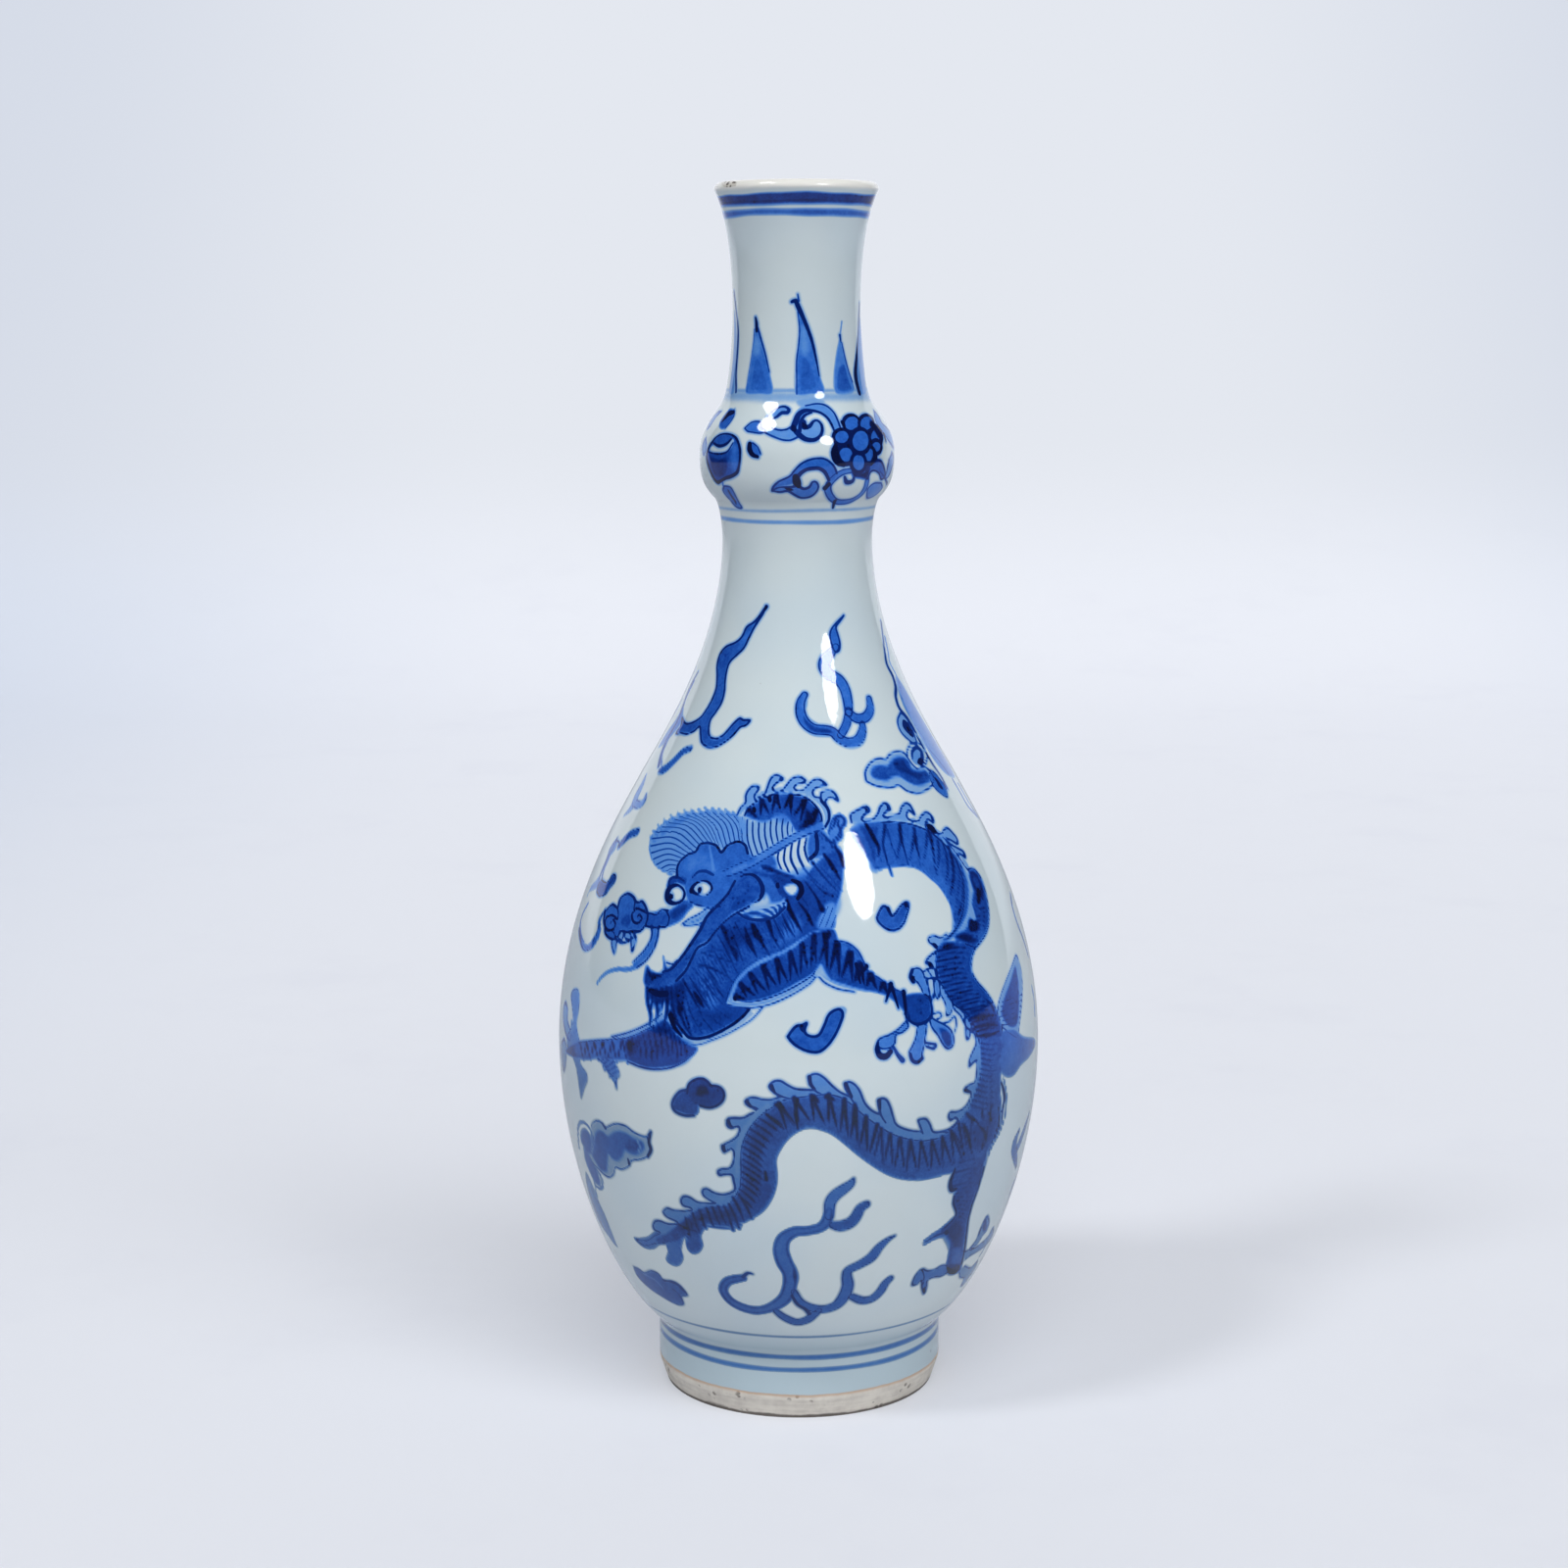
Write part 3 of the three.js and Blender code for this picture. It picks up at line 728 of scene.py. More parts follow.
# the crest's outer edge, curl by curl, from the right end to the tail
CRESTS = [
    [(976,1022),(983,1031),(985,1040),(985,1050),(986,1059),(988,1060),(990,1055),(990,1049),
        (993,1052),(996,1059),(996,1066),(993,1073),(990,1080),(989,1088),(993,1084),(997,1082),
        (997,1092),(995,1104),(990,1107),(985,1110),(985,1114),(990,1113),(991,1118),(987,1127),
        (981,1133),(975,1135),(970,1135),(968,1139),(970,1143),(975,1140),(977,1144),(969,1152),
        (960,1155),(952,1155),(949,1148),(945,1142),(940,1142),(937,1143),(939,1149),(941,1155)],
    [(941,1155),(930,1154),(920,1151),(914,1147),(911,1139),(908,1129),(904,1122),(899,1121),
        (896,1124),(897,1131),(898,1137),(889,1133),(882,1125),(877,1113),(871,1106),(865,1104),
        (862,1108),(865,1115),(868,1119),(858,1115),(849,1108),(841,1100),(834,1096),(828,1097),
        (825,1102),(828,1108),(831,1112),(820,1112),(811,1111),(803,1107),(796,1103),(789,1104),
        (785,1109),(790,1115),(797,1119)],
    [(797,1119),(788,1122),(778,1122),(769,1120),(762,1122),(761,1126),(767,1130),(774,1133),
        (766,1137),(758,1141),(749,1141),(743,1142),(742,1148),(746,1151),(753,1149),(755,1153),
        (752,1160),(745,1165),(739,1168),(737,1173),(740,1175),(746,1172),(749,1175),(749,1184),
        (745,1192),(737,1193),(733,1195),(734,1199),(741,1198),(747,1199),(749,1206),(750,1214),
        (744,1218),(736,1219),(728,1217),(721,1213),(717,1215),(718,1220),(725,1225),(731,1228)],
    [(731,1228),(722,1228),(712,1227),(704,1222),(698,1221),(695,1225),(697,1230),(704,1232),
        (706,1235),(696,1236),(687,1235),(681,1233),(677,1237),(681,1242),(690,1246),(692,1249),
        (682,1249),(673,1246),(668,1247),(667,1254),(674,1258),(668,1261),(660,1266),(649,1264)],
]
TAIL_EDGE = [(744,1229),(730,1231),(716,1233),(706,1238),(698,1245),(690,1251),(680,1259)]


def dragon_belly_wave(brush):
    """The long wave of the body, low on the vase, with its crest."""
    brush.wash(0.56, TOP_EDGE + LOW_EDGE[::-1], 0.35)
    brush.wash(0.64, [(800,1124),(788,1132),(768,1148),(760,1170),(758,1200),(752,1222),(766,1238),
        (778,1222),(782,1200),(780,1180),(788,1164),(800,1152),(818,1146),(815,1128)], 1.5)
    brush.wash(0.64,
        [(1000,1140),(1018,1134),(1018,1150),(1008,1170),(996,1180),(985,1170),(990,1150)], 1.6)
    brush.comb(TOP_EDGE[3:9], LOW_EDGE[1:6], 12, [0.5,0.4], 0.74, bow=0.08, edge=0.4)
    brush.comb(TOP_EDGE[9:16], LOW_EDGE[8:15], 17, [1.1,0.8,0.45], 0.92, zig=True, ends=(0.03,0.95),
        edge=0.4)
    brush.comb(TOP_EDGE[15:24], LOW_EDGE[14:22], 15, [1.3,0.9,0.5], 0.95, zig=True, ends=(0.0,0.94),
        edge=0.4)
    brush.comb([(784,1134),(772,1143),(763,1155),(758,1170),(757,1190),(756,1208),(752,1222)],
        [(806,1150),(798,1160),(789,1174),(784,1190),(784,1206),(780,1224),(770,1240)], 15,
        [0.7,1.1,0.5], 0.90, bow=0.04, ends=(0.02,0.96), edge=0.5)
    brush.lines([
        ([(813,1122),(812,1136),(814,1152)], [1.3,1.2,0.6], 1.0),
        ([(830,1120),(834,1124)], [1.8,1.2], 0.97), ([(844,1119),(850,1122)], [1.7,1.1], 0.97),
        ([(792,1127),(800,1135),(810,1148)], [1.2,0.8,0.5], 0.92),
        ([(782,1137),(790,1144),(800,1152)], [0.9,1.0,0.5], 0.95),
        ([(872,1127),(871,1140),(869,1158)], [1.1,1.0,0.5], 0.97),
        ([(781,1196),(782,1204)], [0.9,1.1], 1.0),
        ([(986,1136),(990,1140),(997,1145),(1003,1158)], [0.9,1.2,0.9,0.5], 0.90),
        ([(983,1147),(987,1156),(990,1168),(992,1178)], [0.9,1.4,1.1,0.5], 0.94),
        ([(1009,1136),(1012,1143)], [0.8,1.1], 0.94),
        ([(1000,1150),(1005,1156),(1002,1172)], [0.9,1.3,0.7], 0.92),
        ([(974,1157),(980,1168),(981,1180)], [0.9,0.8,0.4], 0.86),
        ([(1008,1150),(1006,1164),(1000,1176)], [0.9,1.1,0.6], 0.88),
    ], edge=0.45)
    brush.line(0.45, 0.74, TOP_EDGE, edge=0.3)
    brush.line(0.45, 0.72, LOW_EDGE[1:8], edge=0.4)
    brush.line(0.4, 0.66, LOW_EDGE[10:], edge=0.4)
    bodies = (TOP_EDGE[:13], TOP_EDGE[12:23], TOP_EDGE[22:] + TAIL_EDGE[:2], TAIL_EDGE[1:])
    for crest, body in zip(CRESTS, bodies):
        brush.wash(0.33, crest + body[::-1])
        brush.line([0.5,0.6,0.5,0.6,0.5], 0.68, crest)
    for points in [
        [(939,1149),(942,1157)], [(898,1130),(899,1138),(904,1146)],
        [(864,1110),(868,1120),(874,1129)], [(829,1108),(833,1114),(838,1116)],
        [(790,1115),(798,1119),(806,1121)], [(767,1129),(776,1132),(784,1133)],
    ]:
        brush.line([0.6,0.45], 0.72, points)
    for points in [
        [(826,1099),(827,1106),(831,1111)], [(863,1106),(866,1113),(869,1119)],
        [(787,1108),(790,1114)], [(762,1124),(766,1129)], [(738,1170),(739,1175)],
        [(743,1144),(746,1150)], [(897,1123),(898,1131)], [(985,1112),(989,1114)],
    ]:
        brush.line([1.0,0.7], 0.85, points)
    brush.line([0.7,1.0,1.0,0.8], 0.26,
        [(784,1128),(774,1135),(766,1144),(759,1154),(754,1168),(752,1184),(752,1200)], mode='over',
        edge=0.4)


def dragon_tail(brush):
    """The tail, with the tufts at its tip."""
    body = [
        (757,1212), (750,1221), (744,1229), (730,1230), (716,1232), (706,1237), (698,1244),
        (690,1250), (680,1258), (672,1262), (668,1266), (676,1269), (686,1268), (694,1266),
        (700,1262), (710,1262), (716,1258), (720,1249), (730,1251), (742,1252), (752,1250),
        (760,1246), (772,1240), (784,1225), (788,1210), (770,1205),
    ]
    brush.wash(0.60, body)
    brush.wash(0.74, [(690,1250),(704,1240),(720,1235),(748,1232),(756,1246),(738,1250),(720,1247),
        (708,1256),(696,1258)], 1.2)
    for x, y, lean in [
        (700,1243,4), (707,1238,6), (714,1235,6), (721,1233,7), (727,1232,8), (733,1231,8),
        (739,1231,9), (744,1229,10), (748,1222,11), (754,1219,13),
    ]:
        brush.line([0.9,1.2,0.6], 0.92,
            [(x,y), (x+lean/2,y+10), (x+lean,y+(18 if lean < 9 else 24))], edge=0.5)
    brush.line([0.8,1.0,0.6], 0.92, [(692,1249),(700,1253),(710,1256)], edge=0.5)
    brush.line([0.7,0.9,0.5], 0.90, [(702,1243),(706,1251),(702,1260)], edge=0.5)
    for lobe, tone in [
        ([(718,1252),(714,1261),(716,1270),(712,1277),(706,1278),(702,1273),(701,1264),(704,1256)],
            0.56),
        ([(696,1264),(694,1274),(696,1283),(692,1290),(686,1290),(681,1286),(683,1278),(681,1270),
            (686,1266)], 0.45),
        ([(686,1262),(680,1268),(672,1269),(666,1273),(657,1272),(648,1264),(656,1266),(664,1262),
            (670,1257)], 0.42),
    ]:
        brush.wash(tone, lobe)
        brush.line(0.4, tone + 0.18, lobe, edge=0.4)
    brush.line(0.5, 0.7, [(650,1266),(658,1271),(668,1269),(680,1268)])
    brush.line(0.5, 0.74, [(719,1250),(730,1252),(744,1253),(756,1250)], edge=0.4)


def small_cloud(brush):
    """The small cloud left of the wave."""
    brush.wash(0.60, [(686,1128),(689,1119),(696,1113),(704,1112),(711,1120),(713,1130),(711,1137),
        (703,1138),(694,1135),(687,1132)])
    brush.line(0.7, 0.72,
        [(702,1112),(694,1114),(688,1121),(686,1128),(689,1134),(698,1138),(708,1138)])
    brush.wash(0.70, [(701,1116),(703,1107),(709,1102),(717,1101),(723,1105),(726,1108),(733,1109),
        (738,1114),(738,1121),(733,1127),(724,1130),(715,1129),(706,1125)])
    brush.line(0.7, 0.84, [(701,1116),(703,1107),(709,1102),(717,1101),(723,1105),(726,1109)])
    brush.line(0.7, 0.84,
        [(724,1108),(733,1109),(738,1114),(738,1121),(733,1127),(724,1130),(714,1128)])
    brush.wash(0.92, [(708,1108),(716,1103),(724,1108),(727,1118),(718,1122),(708,1120)], 1.4)


def edge_leaves(brush):
    """The leaves at the right edge."""
    leaf = [
        (1018,1036), (1019,1024), (1023,1011), (1028,998), (1033,985), (1037,975), (1041,986),
        (1043,1000), (1043,1015), (1042,1030), (1040,1046), (1038,1058), (1030,1054), (1023,1048),
    ]
    brush.wash(PALE, leaf)
    brush.line(0.5, 0.62, leaf)
    brush.wash(0.66, [(1022,1036),(1024,1020),(1030,1003),(1036,985),(1039,1000),(1040,1020),
        (1038,1045),(1030,1048)], 0.5)
    brush.comb([(1022,1020),(1021,1036),(1024,1048)], [(1042,1012),(1041,1030),(1038,1046)], 6, 0.4,
        0.8)
    brush.wash(0.5, [(1020,1056),(1034,1050),(1044,1058),(1055,1060),(1056,1066),(1050,1078),
        (1042,1086),(1034,1097),(1026,1098),(1020,1088)], 0.5)
    brush.line(0.5, 0.6, [(1031,912),(1033,925),(1038,942),(1044,958),(1049,975)])
    brush.line(0.6, 0.5, [(1053,1007),(1055,1020),(1056,1035)])
    brush.line([0.4,0.9,0.9,0.4], 0.85, [(1021,1103),(1024,1112),(1025,1122),(1022,1134)])
    brush.line(0.4, 0.5, [(1024,1100),(1027,1118),(1026,1136),(1020,1155),(1012,1170),(1006,1185)])


def flame_commas(brush):
    """Two flames like commas, between the coils."""
    upper = [
        (895,936), (898,929), (901,925), (905,926), (907,931), (910,935), (914,932), (918,926),
        (923,921), (927,921), (927,927), (925,934), (922,942), (916,948), (908,949), (901,945),
        (896,940),
    ]
    brush.shape(0.58, upper, [0.6,0.7,0.5,0.6,0.6], 0.80, 0.35, rim_edge=0.3)
    brush.line([1.0,0.5], 0.95, [(906,927),(909,933)])
    brush.wash(0.95, [(922,922),(926,920),(927,925),(924,927)], 0.3)
    lower = [
        (804,1058), (808,1052), (813,1047), (819,1046), (823,1044), (821,1050), (822,1055),
        (829,1058), (836,1056), (841,1047), (845,1037), (850,1032), (857,1030), (860,1035),
        (857,1045), (852,1056), (845,1066), (836,1073), (826,1073), (816,1069), (809,1064),
    ]
    brush.shape(0.54, lower, 0.7, 0.8, 0.35, rim_edge=0.25)
    brush.wash(0.22, [(855,1029),(860,1027),(864,1030),(862,1037),(858,1040)], 0.5)
    brush.wash(0.85, [(816,1046),(821,1048),(820,1054),(816,1051)], 0.4)
    brush.wash(0.5, [(826,1062),(838,1060),(844,1064),(836,1070),(826,1070)], 0.8, 'over')


def dragon_chest(brush):
    """The chest under the mane, and the beard below the jaw."""
    mane = [
        (728,950), (740,938), (757,931), (775,937), (790,937), (800,925), (806,914), (815,905),
        (826,888), (842,872), (856,866), (860,880), (860,898), (857,915), (852,930), (851,947),
        (832,951), (820,957), (800,970), (780,978), (765,987), (752,1000), (745,1016), (742,1024),
        (752,1027), (763,1028), (760,1036), (750,1043), (738,1050), (725,1056), (712,1059),
        (703,1059), (697,1052), (690,1043), (686,1034), (680,1022), (668,1014), (660,1012),
        (664,1004), (680,1006), (692,1001), (700,988), (708,972), (716,966), (722,962),
    ]
    brush.wash(0.62, mane, 0.35)
    # darker pools
    brush.wash(0.78,
        [(735,942),(752,938),(775,942),(786,950),(776,962),(762,972),(745,980),(730,968)], 3.0)
    brush.wash(0.68,
        [(700,1022),(722,1026),(745,1028),(762,1030),(757,1037),(738,1050),(718,1057),(704,1054)],
        1.6)
    brush.wash(0.80, [(684,1004),(698,998),(704,1010),(700,1030),(692,1040),(684,1024)], 1.6)
    brush.wash(0.66, [(806,898),(826,890),(846,905),(852,925),(836,944),(818,940),(806,920)], 2.5)
    brush.wash(0.44, [(802,958),(815,954),(816,940),(810,935),(802,945),(794,966)], 1.2, 'over')
    brush.wash(0.54, [(718,968),(728,978),(735,1000),(728,1015),(715,1005),(710,985)], 2.0, 'over')
    brush.wash(0.44, [(716,1000),(726,1006),(732,1022),(724,1028),(718,1014)], 1.2, 'over')
    brush.wash(0.34, [(842,924),(852,922),(852,940),(848,947),(836,948),(834,942)], 0.5, 'over')
    # mane strands, fanning out from behind the cheek: loaded strokes with soft edges
    for points, width, tone in [
        ([(803,918),(806,929),(812,940),(819,952)], [1.0,1.5,1.2,0.5], 0.96),
        ([(814,920),(823,931),(829,944)], [0.7,1.2,1.0], 0.92),
        ([(822,900),(832,914),(839,928)], [0.7,1.0,1.7], 0.95),
        ([(828,898),(840,910),(850,914)], [0.7,0.9,0.7], 0.86),
        ([(829,880),(840,894),(853,908)], [0.9,0.9,0.6], 0.88),
        ([(841,872),(848,882),(857,897)], [1.0,1.5,0.8], 0.96),
        ([(852,864),(858,874),(860,884)], [0.9,1.4,1.0], 0.93),
        ([(812,905),(820,918),(828,930)], [0.8,0.8,0.5], 0.82),
        ([(836,884),(846,894),(858,908)], [0.5,0.7,0.5], 0.82),
        ([(820,886),(832,899),(846,909)], [0.5,0.8,0.5], 0.84),
        ([(796,928),(803,944),(811,956)], [0.7,1.0,0.5], 0.84),
        ([(788,934),(795,950),(802,964)], [0.7,0.9,0.4], 0.86),
        ([(780,931),(784,941),(789,956),(797,970)], [1.0,1.6,0.9,0.4], 0.95),
        ([(768,944),(772,953),(779,964),(786,976)], [1.5,2.0,1.0,0.4], 0.97),
        ([(760,946),(764,960),(772,976)], [0.8,1.8,0.6], 0.96),
        ([(750,942),(757,954),(766,974)], [0.8,1.0,0.5], 0.86),
        ([(744,944),(751,962),(759,984)], [0.7,1.1,0.5], 0.88),
        ([(736,944),(740,952),(748,974)], [1.3,1.6,0.6], 0.94),
        ([(732,952),(741,970),(752,992)], [0.6,1.0,0.5], 0.86),
        ([(746,966),(750,972),(752,980)], [1.2,1.9,0.9], 0.95),
        ([(726,964),(735,982),(747,1002)], [0.6,0.9,0.5], 0.84),
        ([(720,974),(738,979),(753,984)], [0.5,0.9,0.5], 0.84),
        ([(712,984),(726,988),(742,996)], [0.5,1.0,0.6], 0.86),
        ([(716,978),(726,996),(740,1017)], [0.6,0.9,0.5], 0.82),
        ([(710,990),(722,1006),(736,1024)], [0.6,0.8,0.5], 0.82),
        ([(704,998),(714,1014),(724,1030)], [0.7,1.0,0.5], 0.88),
        ([(697,1000),(706,1016),(716,1034)], [0.9,1.1,0.6], 0.90),
        ([(708,1012),(713,1020),(718,1028)], [0.9,1.7,0.7], 0.95),
        ([(727,1003),(734,1012),(741,1020)], [0.6,0.9,0.5], 0.84),
        ([(700,1018),(706,1036),(716,1054)], [0.7,0.9,0.6], 0.86),
        ([(710,1026),(718,1040),(729,1054)], [0.6,0.8,0.5], 0.85),
        ([(720,1030),(730,1042),(740,1048)], [0.5,0.8,0.5], 0.85),
        ([(694,1012),(699,1034),(706,1056)], [0.7,1.0,0.6], 0.88),
        ([(732,1030),(742,1038),(750,1041)], [0.5,0.7,0.4], 0.84),
    ]:
        brush.line([0.95 * each for each in width], min(tone + 0.02, 1.0), points, edge=0.5)
    # fine hatching between them
    brush.comb([(803,924),(780,940),(757,938),(742,946),(730,960),(718,972),(708,986),(699,1000)],
        [(817,953),(800,966),(780,976),(764,986),(753,998),(745,1012),(737,1025),(722,1038)], 33,
        [0.45,0.6,0.35], 0.84, bow=0.07, edge=0.5)
    brush.comb([(700,1006),(712,998),(726,990)], [(708,1052),(728,1050),(748,1036)], 9,
        [0.5,0.6,0.35], 0.82, bow=-0.06, edge=0.5)
    brush.lines([
        ([(704,989),(722,987),(744,998)], 0.7, 0.80), ([(716,973),(736,970),(757,977)], 0.8, 0.84),
        ([(734,956),(752,957),(770,966)], 0.8, 0.86), ([(728,966),(742,964),(760,972)], 0.6, 0.80),
        ([(742,948),(760,946),(776,952)], 0.9, 0.84),
        ([(706,998),(724,1003),(742,1014)], 0.6, 0.78),
        ([(786,942),(798,944),(808,950)], 0.6, 0.80),
        ([(692,1012),(708,1008),(722,1016)], 0.8, 0.84),
    ], edge=0.6)
    brush.line([0.8,1.7,0.8], 1.0, [(692,1021),(694,1028),(693,1036)], edge=0.4)
    brush.line([0.8,1.5,1.3,0.8], 1.0, [(684,1032),(687,1040),(688,1048),(694,1055)], edge=0.4)
    for a, b in [
        ((845,925),(836,946)), ((850,926),(842,947)), ((853,934),(848,947)), ((840,928),(833,942)),
    ]:
        brush.line(0.4, 0.66, [a, b])
    brush.line(0.75, 0.90,
        [(690,1043),(697,1052),(704,1059),(718,1059),(732,1054),(748,1045),(758,1037),(764,1030)])
    brush.line(0.35, 0.66, [(692,1058),(700,1064),(712,1066),(725,1062),(740,1056),(753,1049),
        (766,1041),(774,1033),(779,1027)])
    brush.line([0.5,0.8,0.9,0.9,0.8,0.6], 0.13,
        [(700,1062),(712,1063),(728,1059),(743,1052),(756,1044),(768,1034)])
    # beard under the jaw tip
    brush.wash(0.80, [(660,1006),(674,1008),(688,1006),(696,1012),(698,1030),(690,1034),(682,1022),
        (674,1026),(666,1024),(661,1016)], 0.8)
    for points, width in [
        ([(661,1006),(661,1022),(664,1036),(663,1046)], [1.2,1.0,0.5]),
        ([(665,1008),(666,1020),(664,1032)], [1.2,0.9,0.4]),
        ([(670,1008),(670,1022),(671,1034),(669,1042)], [1.4,1.0,0.4]),
        ([(675,1008),(676,1022),(674,1032)], [1.3,0.9,0.4]),
        ([(680,1008),(681,1022),(680,1036),(677,1044)], [1.4,1.1,0.4]),
        ([(685,1008),(686,1024),(690,1040),(697,1054)], [1.3,1.1,0.7]),
        ([(690,1008),(692,1026),(698,1044),(706,1058)], [1.3,1.1,0.7]),
    ]:
        brush.line(width, 0.88, points, edge=0.4)
    brush.line(1.6, 0.96, [(664,1010),(671,1014),(680,1014)])


def dragon_right_arm(brush):
    """The right arm, from the chest to its claw."""
    arm = [
        (820,957), (832,951), (850,948), (856,960), (864,962), (872,967), (878,975), (882,985),
        (890,993), (898,999), (906,1005), (914,1010), (924,1014), (922,1030), (915,1024),
        (906,1017), (895,1013), (880,1010), (862,1005), (848,1000), (840,994), (836,988), (828,995),
        (812,1004), (796,1013), (780,1019), (765,1022), (752,1020), (749,1010), (756,998),
        (768,988), (785,979), (800,972), (812,965),
    ]
    brush.wash(0.64, arm, 0.3)
    brush.wash(0.5, [(858,962),(868,966),(876,975),(880,986),(868,980),(860,972)], 1.0, 'over')
    up = [(750,1016),(757,1000),(770,990),(786,981),(802,974),(816,964),(830,954),(846,951)]
    lo = [(758,1021),(770,1021),(783,1018),(797,1012),(812,1004),(826,996),(833,989),(838,986)]
    brush.comb(up, lo, 16, [1.5,1.0,0.5], 0.95, zig=True, ends=(0.04,0.96), edge=0.4)
    brush.comb([(842,950),(850,955),(858,964),(868,970),(876,980),(884,990),(896,1000),(908,1008)],
        [(840,994),(846,999),(856,1003),(866,1006),(876,1009),(886,1011),(896,1013),(908,1018)], 11,
        [1.7,1.1,0.5], 0.97, zig=True, ends=(0.08,1.0), edge=0.4)
    for a, b in [
        ((874,984),(878,1004)), ((884,986),(874,1000)), ((909,1005),(904,1022)),
        ((909,1004),(917,1029)), ((922,1012),(925,1040)),
    ]:
        brush.line([1.1,0.5], 0.97, [a, b])
    # pale borders
    brush.line([0.3,0.4,0.45,0.5,0.5], 0.36,
        [(822,957),(810,966),(796,973),(780,980),(766,988),(756,997),(750,1008),(746,1021)],
        mode='over', edge=0.25)
    brush.line([0.3,0.5], 0.78,
        [(818,955),(806,964),(790,972),(774,979),(761,987),(751,998),(744,1011),(741,1021)])
    edge = [
        (744,1022), (754,1025), (768,1025), (783,1022), (798,1016), (814,1008), (827,1000),
        (836,993), (843,998), (855,1004), (870,1008), (885,1011),
    ]
    brush.line(0.5, 0.34, edge, edge=0.3)
    brush.line(0.4, 0.72, [(742,1025),(755,1028),(770,1028),(785,1025),(800,1019),(815,1011),
        (827,1003),(834,996),(842,1003),(855,1009),(872,1012)])
    brush.line(0.45, 0.8,
        [(750,1020),(766,1022),(782,1019),(798,1013),(814,1005),(828,996),(836,988),(846,998)])
    brush.wash(0.13, [(835,987),(838,984),(842,992),(846,999),(838,996),(831,995)], 0.4, 'over')
    brush.wash(0.97, [(748,1016),(752,1016),(752,1021),(748,1021)], 0.4)
    brush.line(0.5, 0.7,
        [(856,960),(866,963),(875,970),(881,981),(886,991),(898,999),(912,1009),(924,1014)])


def dragon_left_arm(brush):
    """The left arm, with its paw at the left edge."""
    arm = [
        (588,1064), (605,1062), (622,1061), (640,1059), (655,1053), (668,1047), (677,1040),
        (684,1045), (690,1055), (697,1062), (706,1067), (712,1069), (709,1075), (702,1081),
        (694,1086), (680,1089), (665,1090), (655,1088), (645,1084), (635,1081), (620,1081),
        (610,1079), (600,1081), (592,1080), (584,1078), (577,1072),
    ]
    brush.wash(0.67, arm, 0.4)
    brush.wash(0.50, [(590,1064),(606,1062),(622,1061),(638,1060),(638,1080),(622,1081),(606,1079),
        (592,1079),(586,1072)], 1.0, 'over')
    brush.wash(0.82, [(640,1060),(660,1052),(678,1042),(690,1056),(706,1067),(700,1080),(690,1084),
        (694,1070),(680,1058),(660,1062),(650,1080),(638,1078)], 1.6)
    brush.comb([(592,1064),(610,1063),(628,1062),(646,1058)],
        [(592,1082),(610,1082),(628,1084),(646,1086)], 12, [0.9,0.5], 0.92, zig=True,
        ends=(0.05,1.0), edge=0.4)
    brush.comb([(648,1058),(662,1051),(676,1043),(688,1054),(700,1066)],
        [(652,1086),(662,1089),(674,1090),(688,1088),(702,1080)], 10, [0.7,1.0,0.6], 0.90, bow=0.05,
        edge=0.5)
    brush.wash(1.0, [(640,1060),(646,1061),(647,1070),(644,1076),(640,1072),(638,1066)], 0.6)
    brush.line([1.4,0.5], 0.97, [(684,1036),(688,1048),(696,1058)])
    brush.line(0.9, 0.22, [(624,1060),(640,1056),(655,1050),(668,1043),(676,1037)])
    brush.line(0.45, 0.76, [(624,1058),(640,1054),(655,1048),(667,1041),(676,1034)])
    brush.line(0.45, 0.8, [(590,1064),(606,1062),(622,1061),(640,1059),(655,1053),(668,1046)])
    brush.line(0.5, 0.75, [(640,1083),(655,1089),(670,1091),(685,1089),(698,1083),(708,1074)])
    # paw at the left edge
    for c, t in [
        ([(583,1050),(585,1040),(584,1026),(583,1015),(586,1010),(590,1011),(591,1020),(590,1032),
            (588,1046),(590,1058),(592,1068),(586,1078),(580,1070),(579,1058)], 0.38),
        ([(575,1042),(575,1030),(577,1023),(579,1030),(579,1042),(582,1052),(582,1062),(578,1056)],
            0.28),
        ([(584,1076),(588,1088),(590,1100),(592,1114),(593,1120),(596,1110),(599,1102),(598,1095),
            (593,1088),(590,1078)], 0.38),
        ([(609,1080),(614,1084),(617,1092),(621,1090),(622,1099),(626,1098),(629,1111),(629,1101),
            (632,1097),(629,1088),(624,1080)], 0.36),
        ([(576,1060),(578,1070),(577,1086),(575,1092),(573,1078),(573,1066)], 0.24),
    ]:
        brush.shape(t, c, 0.35, t + 0.32, 0.5)
    brush.comb([(612,1081),(619,1081),(627,1083)], [(624,1098),(628,1106),(631,1096)], 6, [0.6,0.3],
        0.74, edge=0.4)
    brush.comb([(582,1042),(586,1042),(589,1046)], [(583,1066),(587,1070),(591,1066)], 3, 0.4, 0.62,
        edge=0.5)


